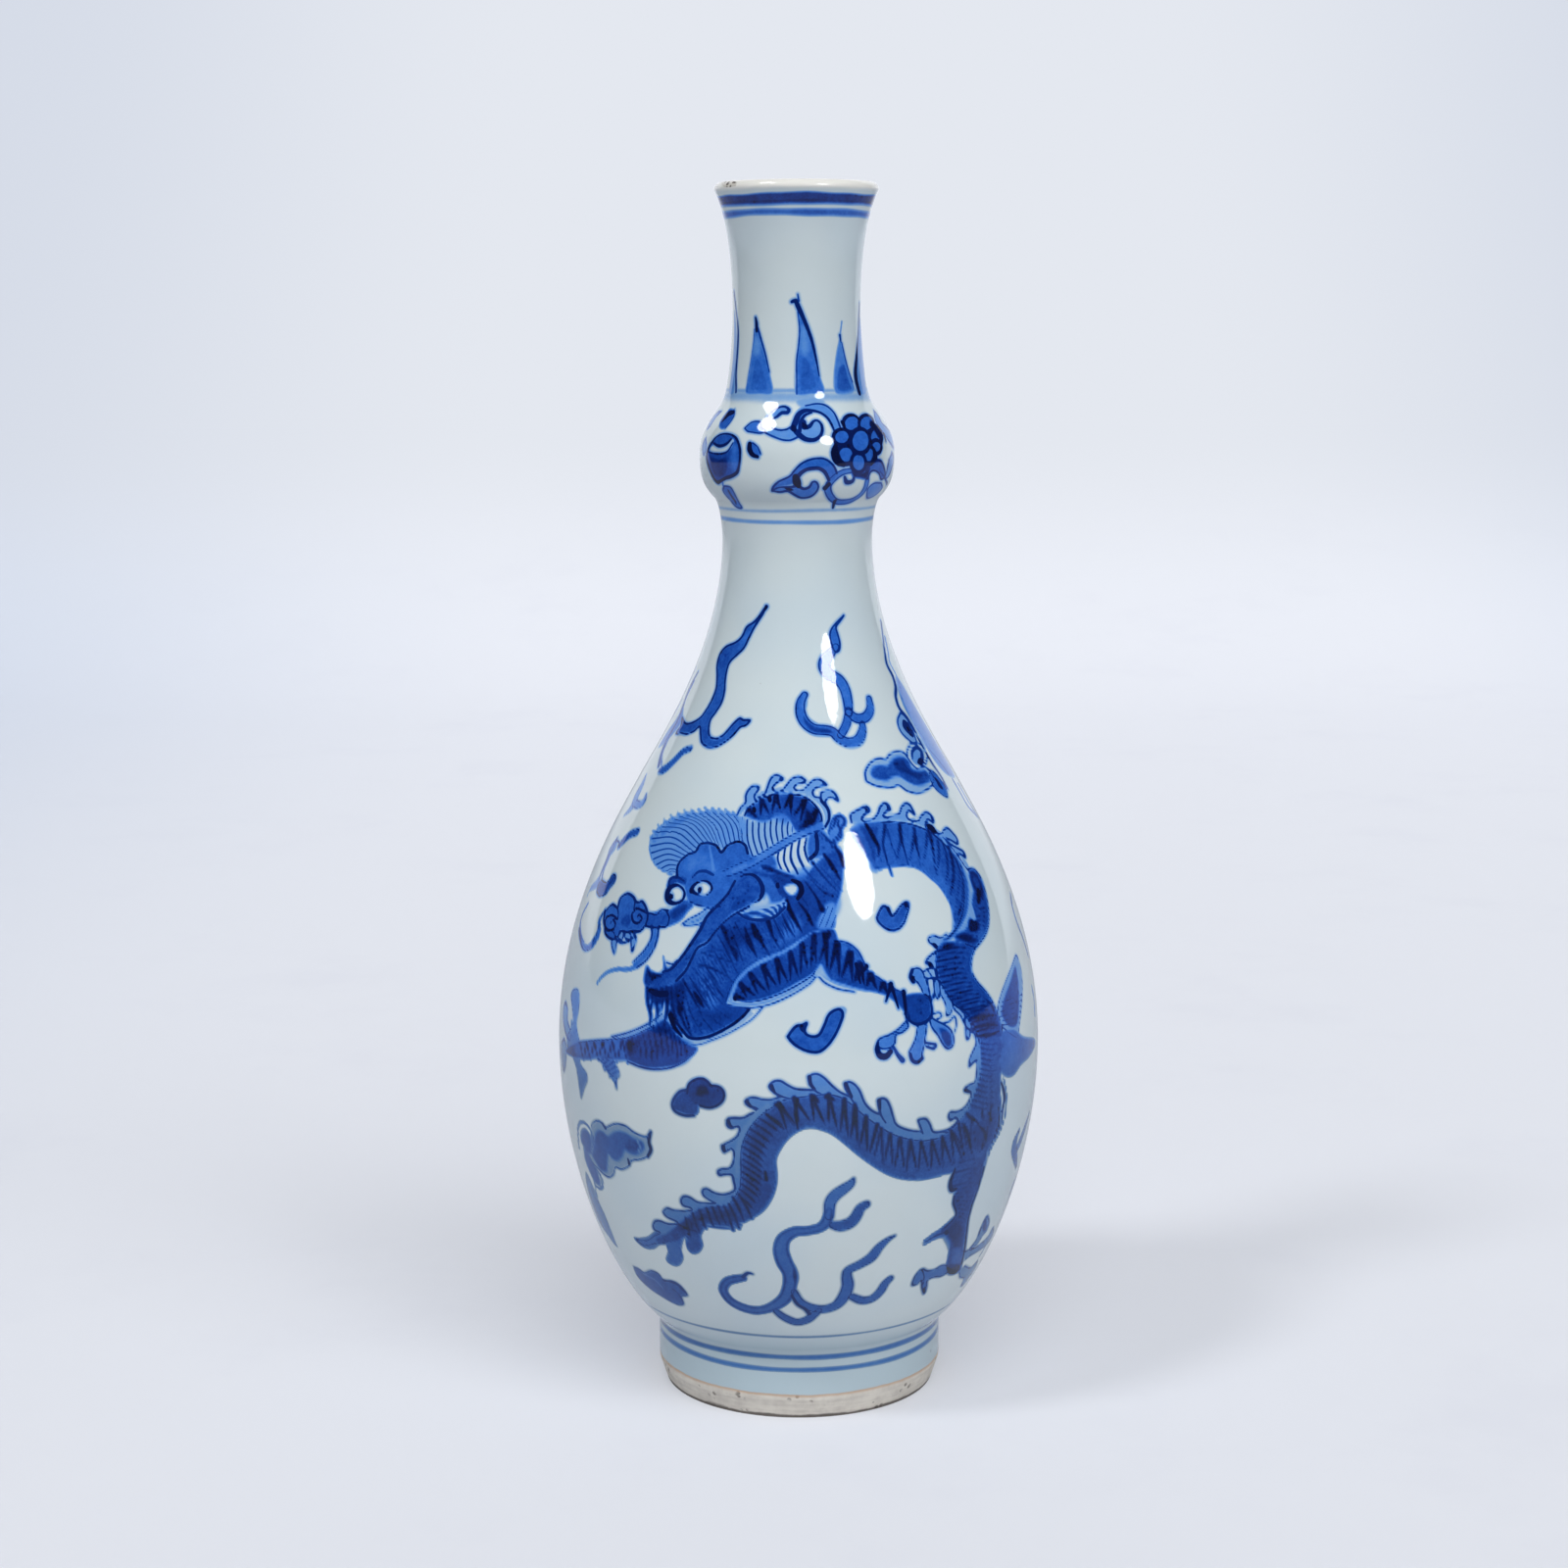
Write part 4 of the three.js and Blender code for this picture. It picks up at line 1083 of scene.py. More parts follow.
def dragon_head(brush):
    """The head, from the mane behind it forward to the snout, the whiskers and the eyes."""
    # fan of the mane over the brow
    fan = [
        (691,889), (686,893), (680,890), (673,886), (668,881), (665,874), (663,866), (664,857),
        (668,849), (675,843), (684,836), (693,832), (703,829), (713,829), (722,827), (732,828),
        (744,830), (754,832), (762,838), (764,850), (762,866), (757,860), (748,860), (738,867),
        (731,861), (722,860), (714,864), (706,870), (697,876),
    ]
    brush.wash(0.29, fan, 0.3)
    brush.strands([(691,892),(691,883),(695,877),(701,873),(708,870),(713,865),(719,861),(726,860),
        (733,863),(737,867),(743,863),(750,860),(757,860),(763,863)], [(686,893),(678,889),
        (671,885),(667,880),(664,872),(663,864),(664,856),(668,849),(675,843),(682,838),(690,834),
        (698,831),(706,829),(715,829),(723,827),(732,828),(741,829),(753,832)], 21, 0.68, bow=-0.14)
    for x, y in [
        (665,856), (668,850), (673,845), (679,839), (686,835), (693,832), (700,830), (707,829),
        (714,828), (721,827), (728,827), (735,828), (742,829), (749,831),
    ]:
        brush.line([0.9,0.3], 0.40, [(x+3,y+3), (x-2,y-3)], edge=0.25)
    brush.wash(0.42, [(672,850),(684,838),(698,832),(708,831),(700,840),(686,847),(676,856)], 1.4)
    brush.line(0.3, 0.5, [(686,893),(676,888),(668,881),(663,868),(665,854),(674,843),(686,835)])
    # ribbed throat behind it
    throat = [
        (756,832), (768,838), (780,838), (790,833), (800,832), (807,838), (812,846), (808,852),
        (796,860), (784,867), (772,875), (765,880), (763,868), (760,850),
    ]
    brush.wash(0.15, throat, 0.3)
    brush.strands([(757,833),(768,838),(780,838),(791,834),(801,834),(809,842)],
        [(764,880),(770,876),(780,868),(790,862),(800,856),(809,850)], 9, 0.76, bow=-0.06)
    belly = [
        (788,872), (798,866), (810,858), (820,854), (825,860), (826,872), (823,884), (818,893),
        (809,892), (799,888), (791,883), (787,877),
    ]
    brush.wash(0.07, belly, 0.3)
    brush.strands([(788,872),(798,865),(810,857),(824,853)],
        [(790,884),(800,889),(814,894),(826,880)], 5, 0.80, bow=-0.12)
    brush.wash(0.54, [(766,884),(776,878),(788,872),(793,884),(782,886),(772,887)], 0.6)
    brush.wash(0.84,
        [(776,882),(786,883),(793,887),(803,891),(814,895),(806,897),(790,892),(778,888)], 0.6)
    # first hump of the body with its crest
    hump = [
        (760,832), (764,825), (771,819), (780,814), (792,811), (804,810), (816,812), (826,817),
        (834,825), (838,835), (838,846), (832,850), (822,852), (812,848), (806,838), (800,832),
        (792,833), (784,838), (774,838),
    ]
    brush.wash(0.60, hump, 0.3)
    brush.comb([(764,826),(774,818),(788,812),(803,811),(818,814),(830,822),(838,834)],
        [(770,836),(780,837),(790,831),(800,830),(809,838),(816,846),(826,850)], 11, [1.4,0.9,0.5],
        0.98, zig=True, ends=(0.04,0.96), edge=0.4)
    brush.wash(0.92, [(820,822),(830,828),(835,838),(832,848),(820,850),(812,845),(818,836)], 1.4)
    brush.wash(1.0, [(767,824),(771,823),(772,829),(768,830)], 0.4)
    brush.wash(1.0, [(783,813),(787,813),(788,818),(784,819)], 0.4)
    brush.wash(0.45, [(790,833),(800,831),(806,836),(802,840),(794,838)], 0.8, 'over')
    brush.line(0.5, 0.88,
        [(760,832),(764,824),(774,817),(788,811),(804,810),(820,813),(831,821),(838,833),(838,846)])
    brush.line(1.0, 0.2, [(756,828),(762,820),(770,813),(780,809),(792,806),(806,806),(820,808),
        (832,815),(840,823),(844,834),(842,844)])
    for curl in [
        [(752,832),(756,824),(761,819),(761,812),(764,806),(769,802),(774,803),(773,807),(770,811),
            (770,815),(775,813),(782,809)],
        [(780,811),(783,804),(785,798),(788,793),(793,791),(799,795),(795,797),(790,801),(788,805),
            (793,808),(798,806)],
        [(798,807),(803,801),(807,796),(812,793),(817,793),(822,797),(818,799),(813,800),(810,804),
            (814,807),(820,806)],
        [(820,806),(825,801),(829,797),(834,795),(839,797),(843,801),(838,802),(832,804),(829,808),
            (831,813),(838,814)],
        [(838,814),(838,809),(843,807),(848,807),(852,810),(855,817),(850,814),(845,814),(842,818),
            (844,823)],
    ]:
        brush.wash(0.26, curl)
        brush.line([0.45,0.6,0.45], 0.74, curl)
    brush.line([0.8,0.6], 0.85, [(838,817),(845,826),(846,836),(842,844)])
    # fins on the right of the neck, before the bright reflection
    for c in [
        [(846,850),(848,840),(852,834),(858,833),(862,838),(858,846),(858,854),(850,860),(843,858)],
        [(836,852),(840,856),(846,858),(852,862),(846,866),(838,864)],
    ]:
        brush.wash(0.40, c, 0.5)
        brush.line([0.5,0.9,0.5], 0.74, c, edge=0.4)
    for points in [
        [(846,848),(851,842),(853,835),(857,832),(861,836)],
        [(850,858),(856,852),(858,844),(862,842)], [(838,850),(844,856),(850,864)],
        [(856,836),(855,842),(858,846)],
    ]:
        brush.line([0.5,0.8,0.5], 0.80, points, edge=0.4)
    brush.line(1.0, 0.88, [(833,852),(834,862),(833,870),(827,876)])
    brush.wash(0.55, [(826,852),(838,846),(852,862),(858,866),(846,872),(832,876),(824,872)], 0.6)
    # brow and cheek
    face = [
        (691,896), (691,886), (693,880), (700,873), (709,869), (714,862), (722,860), (731,863),
        (736,869), (743,862), (752,859), (760,862), (763,872), (763,880), (772,884), (784,887),
        (800,891), (812,894), (818,900), (812,912), (802,916), (796,921), (782,921), (776,915),
        (765,925), (752,930), (742,925), (730,926), (716,925), (704,922), (700,914), (697,902),
    ]
    brush.wash(0.53, face, 0.3)
    brush.wash(0.44, [(700,880),(715,868),(728,880),(735,895),(715,886),(703,890)], 1.5, 'over')
    brush.wash(0.66,
        [(760,886),(775,886),(800,893),(814,898),(806,902),(792,900),(778,898),(764,892)], 1.2)
    brush.line(0.7, 0.86, [(691,896),(691,886),(694,879),(702,872),(710,869),(714,862),(722,860),
        (731,863),(736,870),(742,863),(752,859),(760,862),(763,871)])
    brush.line([0.4,0.7], 0.35, [(724,864),(726,875),(728,888)], mode='over')
    # long horn across the mane
    horn = [
        (736,890), (748,884), (762,878), (778,870), (796,859), (814,849), (828,842), (838,838),
        (840,846), (828,850), (812,857), (796,867), (780,877), (764,886), (750,892), (740,895),
    ]
    brush.wash(0.46, horn, 0.25, 'over')
    brush.line(0.5, 0.7, horn[:8])
    brush.line(0.6, 0.7, horn[8:])
    brush.line(0.6, 0.38, [(748,889),(770,878),(796,863),(820,850)], mode='over')
    # ear
    brush.wash(0.68,
        [(784,892),(800,893),(814,897),(818,906),(814,916),(804,918),(795,914),(790,904)], 0.4)
    brush.wash(0.05, [(800,905),(806,902),(813,903),(814,909),(809,914),(803,911)], 0.35, 'over')
    brush.line([0.8,1.4,1.0], 0.97, [(808,898),(816,902),(818,910),(814,917)])
    brush.wash(0.92, [(791,901),(795,900),(796,906),(792,907)], 0.4)
    brush.wash(0.54, [(759,866),(767,872),(775,876),(768,882),(760,882)], 0.8)
    # cheek lobe
    brush.wash(0.6,
        [(757,894),(766,892),(774,897),(777,907),(770,913),(760,908),(752,904),(754,897)], 0.5,
        'over')
    brush.line([0.6,1.1,0.9], 0.86,
        [(756,894),(765,892),(773,896),(778,905),(777,914),(771,920),(764,925)])
    # gill folds
    brush.wash(0.15,
        [(753,931),(762,925),(776,921),(790,923),(803,921),(798,931),(787,937),(774,939),(762,937)],
        0.3, 'over')
    brush.wash(0.10, [(766,923),(777,919),(782,912),(786,920),(780,924),(770,925)], 0.5, 'over')
    for a in [
        [(759,927),(770,929),(784,927),(801,921)], [(756,930),(770,932),(786,930),(800,924)],
        [(755,933),(768,935),(784,934),(798,927)],
    ]:
        brush.line([0.3,0.45,0.35], 0.66, a, edge=0.3)
    brush.line([0.6,0.9,0.7], 0.78, [(753,932),(762,937),(776,939),(790,936),(801,926)], edge=0.3)
    # jaw band down to its tip
    jaw = [
        (748,902), (756,908), (768,913), (775,915), (770,920), (760,925), (748,932), (738,941),
        (730,950), (722,960), (713,965), (707,975), (701,986), (694,996), (684,1004), (674,1008),
        (662,1008), (657,1003), (659,996), (666,993), (676,992), (686,988), (697,974), (706,961),
        (714,947), (720,935), (731,924), (741,914),
    ]
    brush.wash(0.60, jaw, 0.3, 'over')
    brush.wash(0.66, [(757,909),(774,915),(764,923),(748,932),(738,940),(742,925)], 1.2)
    brush.line([0.7,0.9,0.7], 0.84,
        [(750,899),(742,913),(731,925),(721,936),(715,948),(706,962),(697,975),(686,988),(676,992)])
    brush.line([0.6,0.8], 0.84, [(764,925),(748,934),(737,943),(729,952),(721,962),(712,967),
        (706,978),(700,990),(690,1001)])
    brush.wash(0.74, [(657,1002),(660,985),(664,990),(672,993),(677,990),(677,976),(679,984),
        (682,988),(690,981),(686,989),(680,994),(672,999),(662,1006)], 0.3)
    brush.wash(0.97, [(661,988),(666,993),(676,994),(674,998),(662,998)], 0.5)
    brush.line(0.4, 0.72, [(680,982),(686,984),(691,980),(687,988)])
    # upper lip, fang and snout
    brush.wash(0.2,
        [(697,943),(703,937),(712,932),(722,925),(730,922),(724,932),(717,940),(708,944)], 0.3)
    brush.line(0.5, 0.62, [(696,943),(703,938),(713,933),(723,926)])
    brush.line(0.5, 0.6, [(698,944),(708,944),(717,941),(724,933),(730,924)])
    brush.line(0.4, 0.5, [(704,942),(714,938),(722,930)])
    brush.wash(0.0, [(700,928),(708,925),(716,927),(708,932),(701,935)], 0.4, 'over')
    snout = [
        (658,931), (666,931), (674,929), (682,929), (690,924), (697,918), (704,920), (708,924),
        (702,930), (696,938), (688,943), (678,946), (668,946), (658,945),
    ]
    brush.wash(0.56, snout, 0.3)
    brush.wash(0.7, [(684,930),(694,922),(704,922),(698,932),(688,940),(683,938)], 0.8)
    brush.line(0.55, 0.84, [(658,931),(664,932),(670,934),(674,929),(682,929)])
    brush.line(0.6, 0.84, [(680,930),(683,937),(680,945),(668,946),(658,945)])
    brush.line(0.5, 0.8, [(704,920),(714,924),(728,926),(740,924)])
    nose = [
        (617,946), (616,937), (619,929), (625,923), (630,926), (633,917), (640,912), (646,915),
        (650,921), (655,920), (659,926), (661,935), (659,943), (653,950), (646,950), (640,951),
        (634,950), (630,956), (624,958), (618,953),
    ]
    brush.shape(0.54, nose, 0.7, 0.84, 0.25)
    brush.wash(0.66, [(634,936),(642,930),(645,940),(640,948),(632,944)], 0.8)
    brush.line([0.5,0.8,0.7], 0.9,
        [(623,942),(625,939),(628,942),(626,948),(620,949),(617,943),(619,936),(625,934),(630,938)])
    brush.line([0.5,0.8,0.7], 0.9,
        [(650,936),(652,933),(655,937),(651,942),(646,940),(645,933),(650,927),(657,930)])
    brush.line(0.6, 0.84, [(630,926),(631,932),(630,938)])
    brush.line(0.6, 0.84, [(646,915),(648,921),(647,926)])
    for c in [
        [(626,950),(629,960),(627,973),(624,962)],
        [(643,950),(648,954),(649,960),(645,971),(644,962)],
        [(632,950),(636,951),(635,958),(631,957)], [(638,951),(643,951),(643,958),(638,957)],
    ]:
        brush.shape(0.3, c, 0.5, 0.72)
    brush.line(0.6, 0.7, [(628,958),(634,962),(642,960),(648,955)])
    # whiskers
    brush.line([0.7,1.3,1.9,1.0,0.7], 0.5,
        [(618,928),(612,939),(611,951),(606,961),(600,967),(595,964),(592,955)])
    brush.line(0.6, 0.84, [(618,928),(612,938),(610,950),(604,962)])
    brush.line(0.5, 0.76, [(608,961),(601,969),(595,968),(592,958),(591,948)])
    brush.line([1.0,1.8,1.9,1.2], 0.46, [(668,944),(668,955),(663,968),(655,978),(648,984)])
    brush.line([0.7,0.5], 0.72, [(665,944),(665,956),(659,968),(651,977),(646,982)])
    brush.line(0.6, 0.76, [(672,944),(671,956),(667,968),(659,980),(650,987)])
    brush.line([1.0,0.8,0.5], 0.42, [(652,985),(642,989),(630,989),(620,992),(613,998),(609,1004)])
    brush.wash(0.66,
        [(680,905),(683,898),(689,894),(697,893),(702,898),(698,904),(691,901),(685,905)], 0.3)
    # eyes
    for rim, white, pupil in [
        ([(678,914),(681,905),(689,901),(697,905),(700,913),(696,921),(687,924),(680,921)],
            [(683,913),(686,907),(692,905),(697,910),(696,917),(690,920),(685,918)], (685,915)),
        ([(703,908),(708,901),(716,898),(724,899),(728,906),(724,913),(716,915),(708,913)],
            [(708,907),(712,902),(718,900),(724,903),(725,908),(720,913),(713,912)], (714,908)),
    ]:
        brush.wash(0.9, rim, 0.3)
        brush.wash(0.0, white, 0.25, 'over')
        px, py = pupil
        brush.wash(0.97, [(px-2,py-2),(px+1.5,py-3),(px+2,py+1),(px,py+3),(px-2,py+2)], 0.25)
    brush.line([0.5,1.0,0.7], 0.72, [(706,896),(712,890),(720,889),(728,893)])
    brush.line([0.6,0.9,0.6], 0.8, [(682,903),(684,897),(691,895),(698,899)])
    brush.wash(0.97, [(703,908),(707,905),(708,911),(704,912)], 0.3)


def left_flames(brush):
    """The flames on the left."""
    flame = [
        (780,621), (774,630), (768,636), (762,640), (757,650), (750,656), (741,660), (735,667),
        (732,678), (732,690), (731,702), (727,713), (721,724), (714,733), (705,738), (699,738),
        (696,732), (695,740), (690,748), (695,748), (700,749), (708,746), (714,741), (715,750),
        (716,757), (722,762), (730,762), (738,758), (747,751), (755,742), (761,740), (765,735),
        (758,735), (755,733), (749,738), (743,745), (737,751), (730,754), (724,751), (723,743),
        (725,734), (730,727), (736,717), (739,706), (740,693), (742,682), (745,675), (752,668),
        (759,661), (764,651), (769,641), (774,633), (779,625),
    ]
    brush.shape(0.58, flame, 0.6, 0.84, 0.4, rim_edge=0.3)
    brush.line([0.4,0.9], 0.95, [(779,625),(782,619)])
    brush.wash(0.5, [(756,652),(763,645),(766,647),(761,656),(754,662)], 0.8, 'over')
    brush.band([(704,764),(697,767),(690,774),(684,780),(678,785),(674,786)],
        [1.3,1.5,1.6,1.8,1.9,1.6])
    brush.line([0.5,0.8,0.9,0.8,0.8,0.9], 0.68,
        [(712,686),(703,703),(697,720),(690,738),(681,753),(675,768),(672,782)])
    brush.line([0.4,0.6,0.6,0.5,0.6], 0.55,
        [(708,695),(700,712),(694,730),(684,750),(676,768),(675,780)])
    brush.wash(0.42,
        [(697,722),(696,734),(692,742),(684,752),(676,760),(672,762),(680,748),(690,734)], 0.5)
    # flame at the left edge
    brush.band([(659,791),(655,801),(650,811),(645,823),(637,832)], [0.5, 2.0, 2.8, 2.2, 0.5], 0.36,
        0.58)
    brush.band([(647,820),(653,821),(657,817),(659,811)], [1.8, 1.8, 1.5, 0.6], 0.40, 0.66)
    brush.band([(650,849),(644,851),(638,856),(632,863)], [1.6,1.7,1.7,1.4], 0.62, 0.9)
    brush.line([0.5,0.7,0.9,0.8,0.8], 0.66, [(630,855),(624,864),(619,877),(614,889),(611,898)])
    brush.line(0.5, 0.7, [(633,862),(630,858),(626,864),(621,876),(616,888),(614,897)])
    brush.wash(0.34, [(630,856),(628,866),(622,874),(619,878),(622,866)], 0.4)
    tongue = [
        (614,898), (618,901), (622,898), (625,893), (628,894), (627,900), (622,906), (618,912),
        (612,914), (609,909), (611,902),
    ]
    brush.shape(0.6, tongue, 0.6, 0.86, 0.3)
    brush.wash(0.4, [(612,894),(612,903),(607,907),(601,910),(599,915),(603,905),(608,899)], 0.5)
    brush.line([0.6,0.5], 0.55, [(600,922),(594,934),(592,944),(593,955),(596,962)])


def left_clouds(brush):
    """The clouds on the left, and the ribbon down the edge."""
    puff = [
        (620,1150), (628,1147), (638,1149), (646,1155), (654,1159), (660,1160), (663,1156),
        (662,1165), (663,1174), (660,1180), (653,1183), (645,1184), (641,1190), (634,1193),
        (628,1191), (626,1198), (621,1201), (615,1197), (610,1192), (604,1185), (603,1175),
        (606,1165), (604,1155), (604,1148), (608,1144), (613,1145), (617,1151),
    ]
    brush.shape(0.13, puff, 0.45, 0.62, 0.3, rim_edge=0.35)
    inner = [
        (607,1157), (611,1153), (616,1155), (620,1159), (626,1155), (633,1154), (641,1157),
        (648,1162), (655,1164), (658,1170), (655,1176), (649,1179), (642,1177), (638,1174),
        (635,1181), (630,1185), (624,1182), (621,1178), (620,1190), (619,1196), (613,1194),
        (608,1186), (604,1178), (606,1168),
    ]
    brush.wash(0.52, inner, 0.5)
    brush.wash(0.6, [(640,1160),(655,1165),(656,1173),(648,1178),(636,1172)], 1.2)
    brush.line([0.6,1.0,0.7], 0.84, [(664,1155),(662,1165),(664,1173),(661,1180)])
    brush.line(0.7, 0.84, [(641,1183),(642,1188)])
    brush.line(0.7, 0.7, [(615,1147),(618,1152)])
    brush.line(0.4, 0.1, [(651,1165),(653,1171),(651,1176)], mode='over')
    brush.line(0.6, 0.42,
        [(591,1172),(590,1160),(590,1150),(593,1145),(598,1147),(602,1152),(604,1160),(606,1170)])
    brush.wash(0.5, [(593,1155),(597,1152),(602,1158),(604,1168),(602,1178),(597,1172),(593,1164)],
        0.5)
    brush.wash(0.45,
        [(596,1165),(602,1180),(608,1192),(612,1204),(612,1210),(607,1206),(602,1196),(597,1182)],
        0.5)
    brush.line(0.5, 0.5, [(608,1192),(613,1200),(615,1210),(612,1213),(607,1209)])
    brush.line(0.5, 0.4, [(598,1180),(603,1195),(607,1210),(609,1220)])
    # ribbon running down the edge, small low cloud
    brush.wash(0.30, [(598,1196),(604,1208),(611,1226),(619,1244),(629,1271),(620,1260),(611,1246),
        (604,1228),(599,1210)], 0.5)
    brush.line([0.8,1.0,0.8], 0.4, [(601,1205),(608,1225),(618,1246),(624,1260),(629,1271)])
    brush.line(0.5, 0.6, [(609,1224),(618,1243),(624,1258),(629,1271)])
    puff = [
        (647,1293), (652,1295), (658,1299), (665,1297), (672,1300), (677,1307), (683,1307),
        (690,1309), (696,1314), (701,1321), (698,1322), (695,1323), (697,1330), (692,1331),
        (683,1327), (673,1321), (664,1315), (656,1308), (650,1301),
    ]
    brush.shape(0.52, puff, 0.5, 0.66, 0.3, rim_edge=0.3)
    brush.line(0.6, 0.7, [(676,1306),(684,1308),(691,1311),(698,1318)])
    brush.line(0.5, 0.68, [(686,1315),(692,1320),(697,1329)])
    brush.line(0.4, 0.34, [(657,1300),(668,1306),(676,1314)], mode='over')


def flame_scroll(brush):
    """The flame scroll under the dragon: light inside, with darker rims on the shaded side."""
    trunk = [
        (846,1236), (843,1247), (836,1253), (823,1256), (811,1257), (800,1264), (797,1275),
        (800,1287), (806,1299), (806,1311), (802,1323), (793,1331), (781,1336), (769,1337),
        (755,1333), (744,1326), (738,1316), (742,1308), (751,1305), (758,1304),
    ]
    brush.line([1.9,2.3,2.1,2.0,2.3,2.8,3.2,3.4,3.1,2.9,2.9,2.6,2.2,2.3,2.3,2.1,1.9,1.9,1.9,1.6],
        0.76, trunk, edge=0.4)
    brush.line([1.2,1.5,1.4,1.3,1.6,2.1,2.4,2.6,2.3,2.1,2.0,1.8,1.4,1.5,1.5,1.3,1.2,1.2,1.2,0.9],
        0.46, trunk, edge=0.5, mode='over')
    brush.band([(846,1241),(847,1228),(852,1220),(860,1214),(868,1208),(871,1203)],
        [1.9,2.2,2.3,2.1,1.5,0.5], 0.42, 0.70)
    brush.band([(850,1250),(858,1251),(867,1248),(873,1242),(878,1233),(884,1229)],
        [1.6,2.3,2.4,2.2,1.9,1.5], 0.54, 0.76)
    brush.line([1.0,0.7,0.4], 0.66, [(758,1303),(763,1299),(768,1300)])
    brush.wash(0.72, [(809,1290),(813,1297),(814,1305),(811,1313),(808,1302)], 0.6)
    brush.band([(810,1318),(816,1328),(826,1334),(840,1336),(853,1332),(861,1323),(865,1312),
        (864,1302),(866,1296),(878,1290),(889,1283),(897,1273),(906,1265),(913,1261)],
        [1.4,1.7,2.0,2.1,2.2,2.5,2.4,2.0,1.8,1.9,2.2,1.8,1.0,0.3], 0.48, 0.76)
    brush.band([(869,1323),(880,1327),(890,1325),(898,1318),(903,1310),(908,1305)],
        [1.5,1.9,2.0,2.0,1.8,1.5], 0.48, 0.76)
    brush.band([(792,1338),(800,1344),(812,1349),(823,1347),(831,1341),(836,1337)],
        [1.3,1.7,1.9,1.9,1.7,1.3], 0.50, 0.74)
    brush.line([0.8,0.9], 0.78, [(808,1322),(814,1331),(822,1336),(826,1341)])


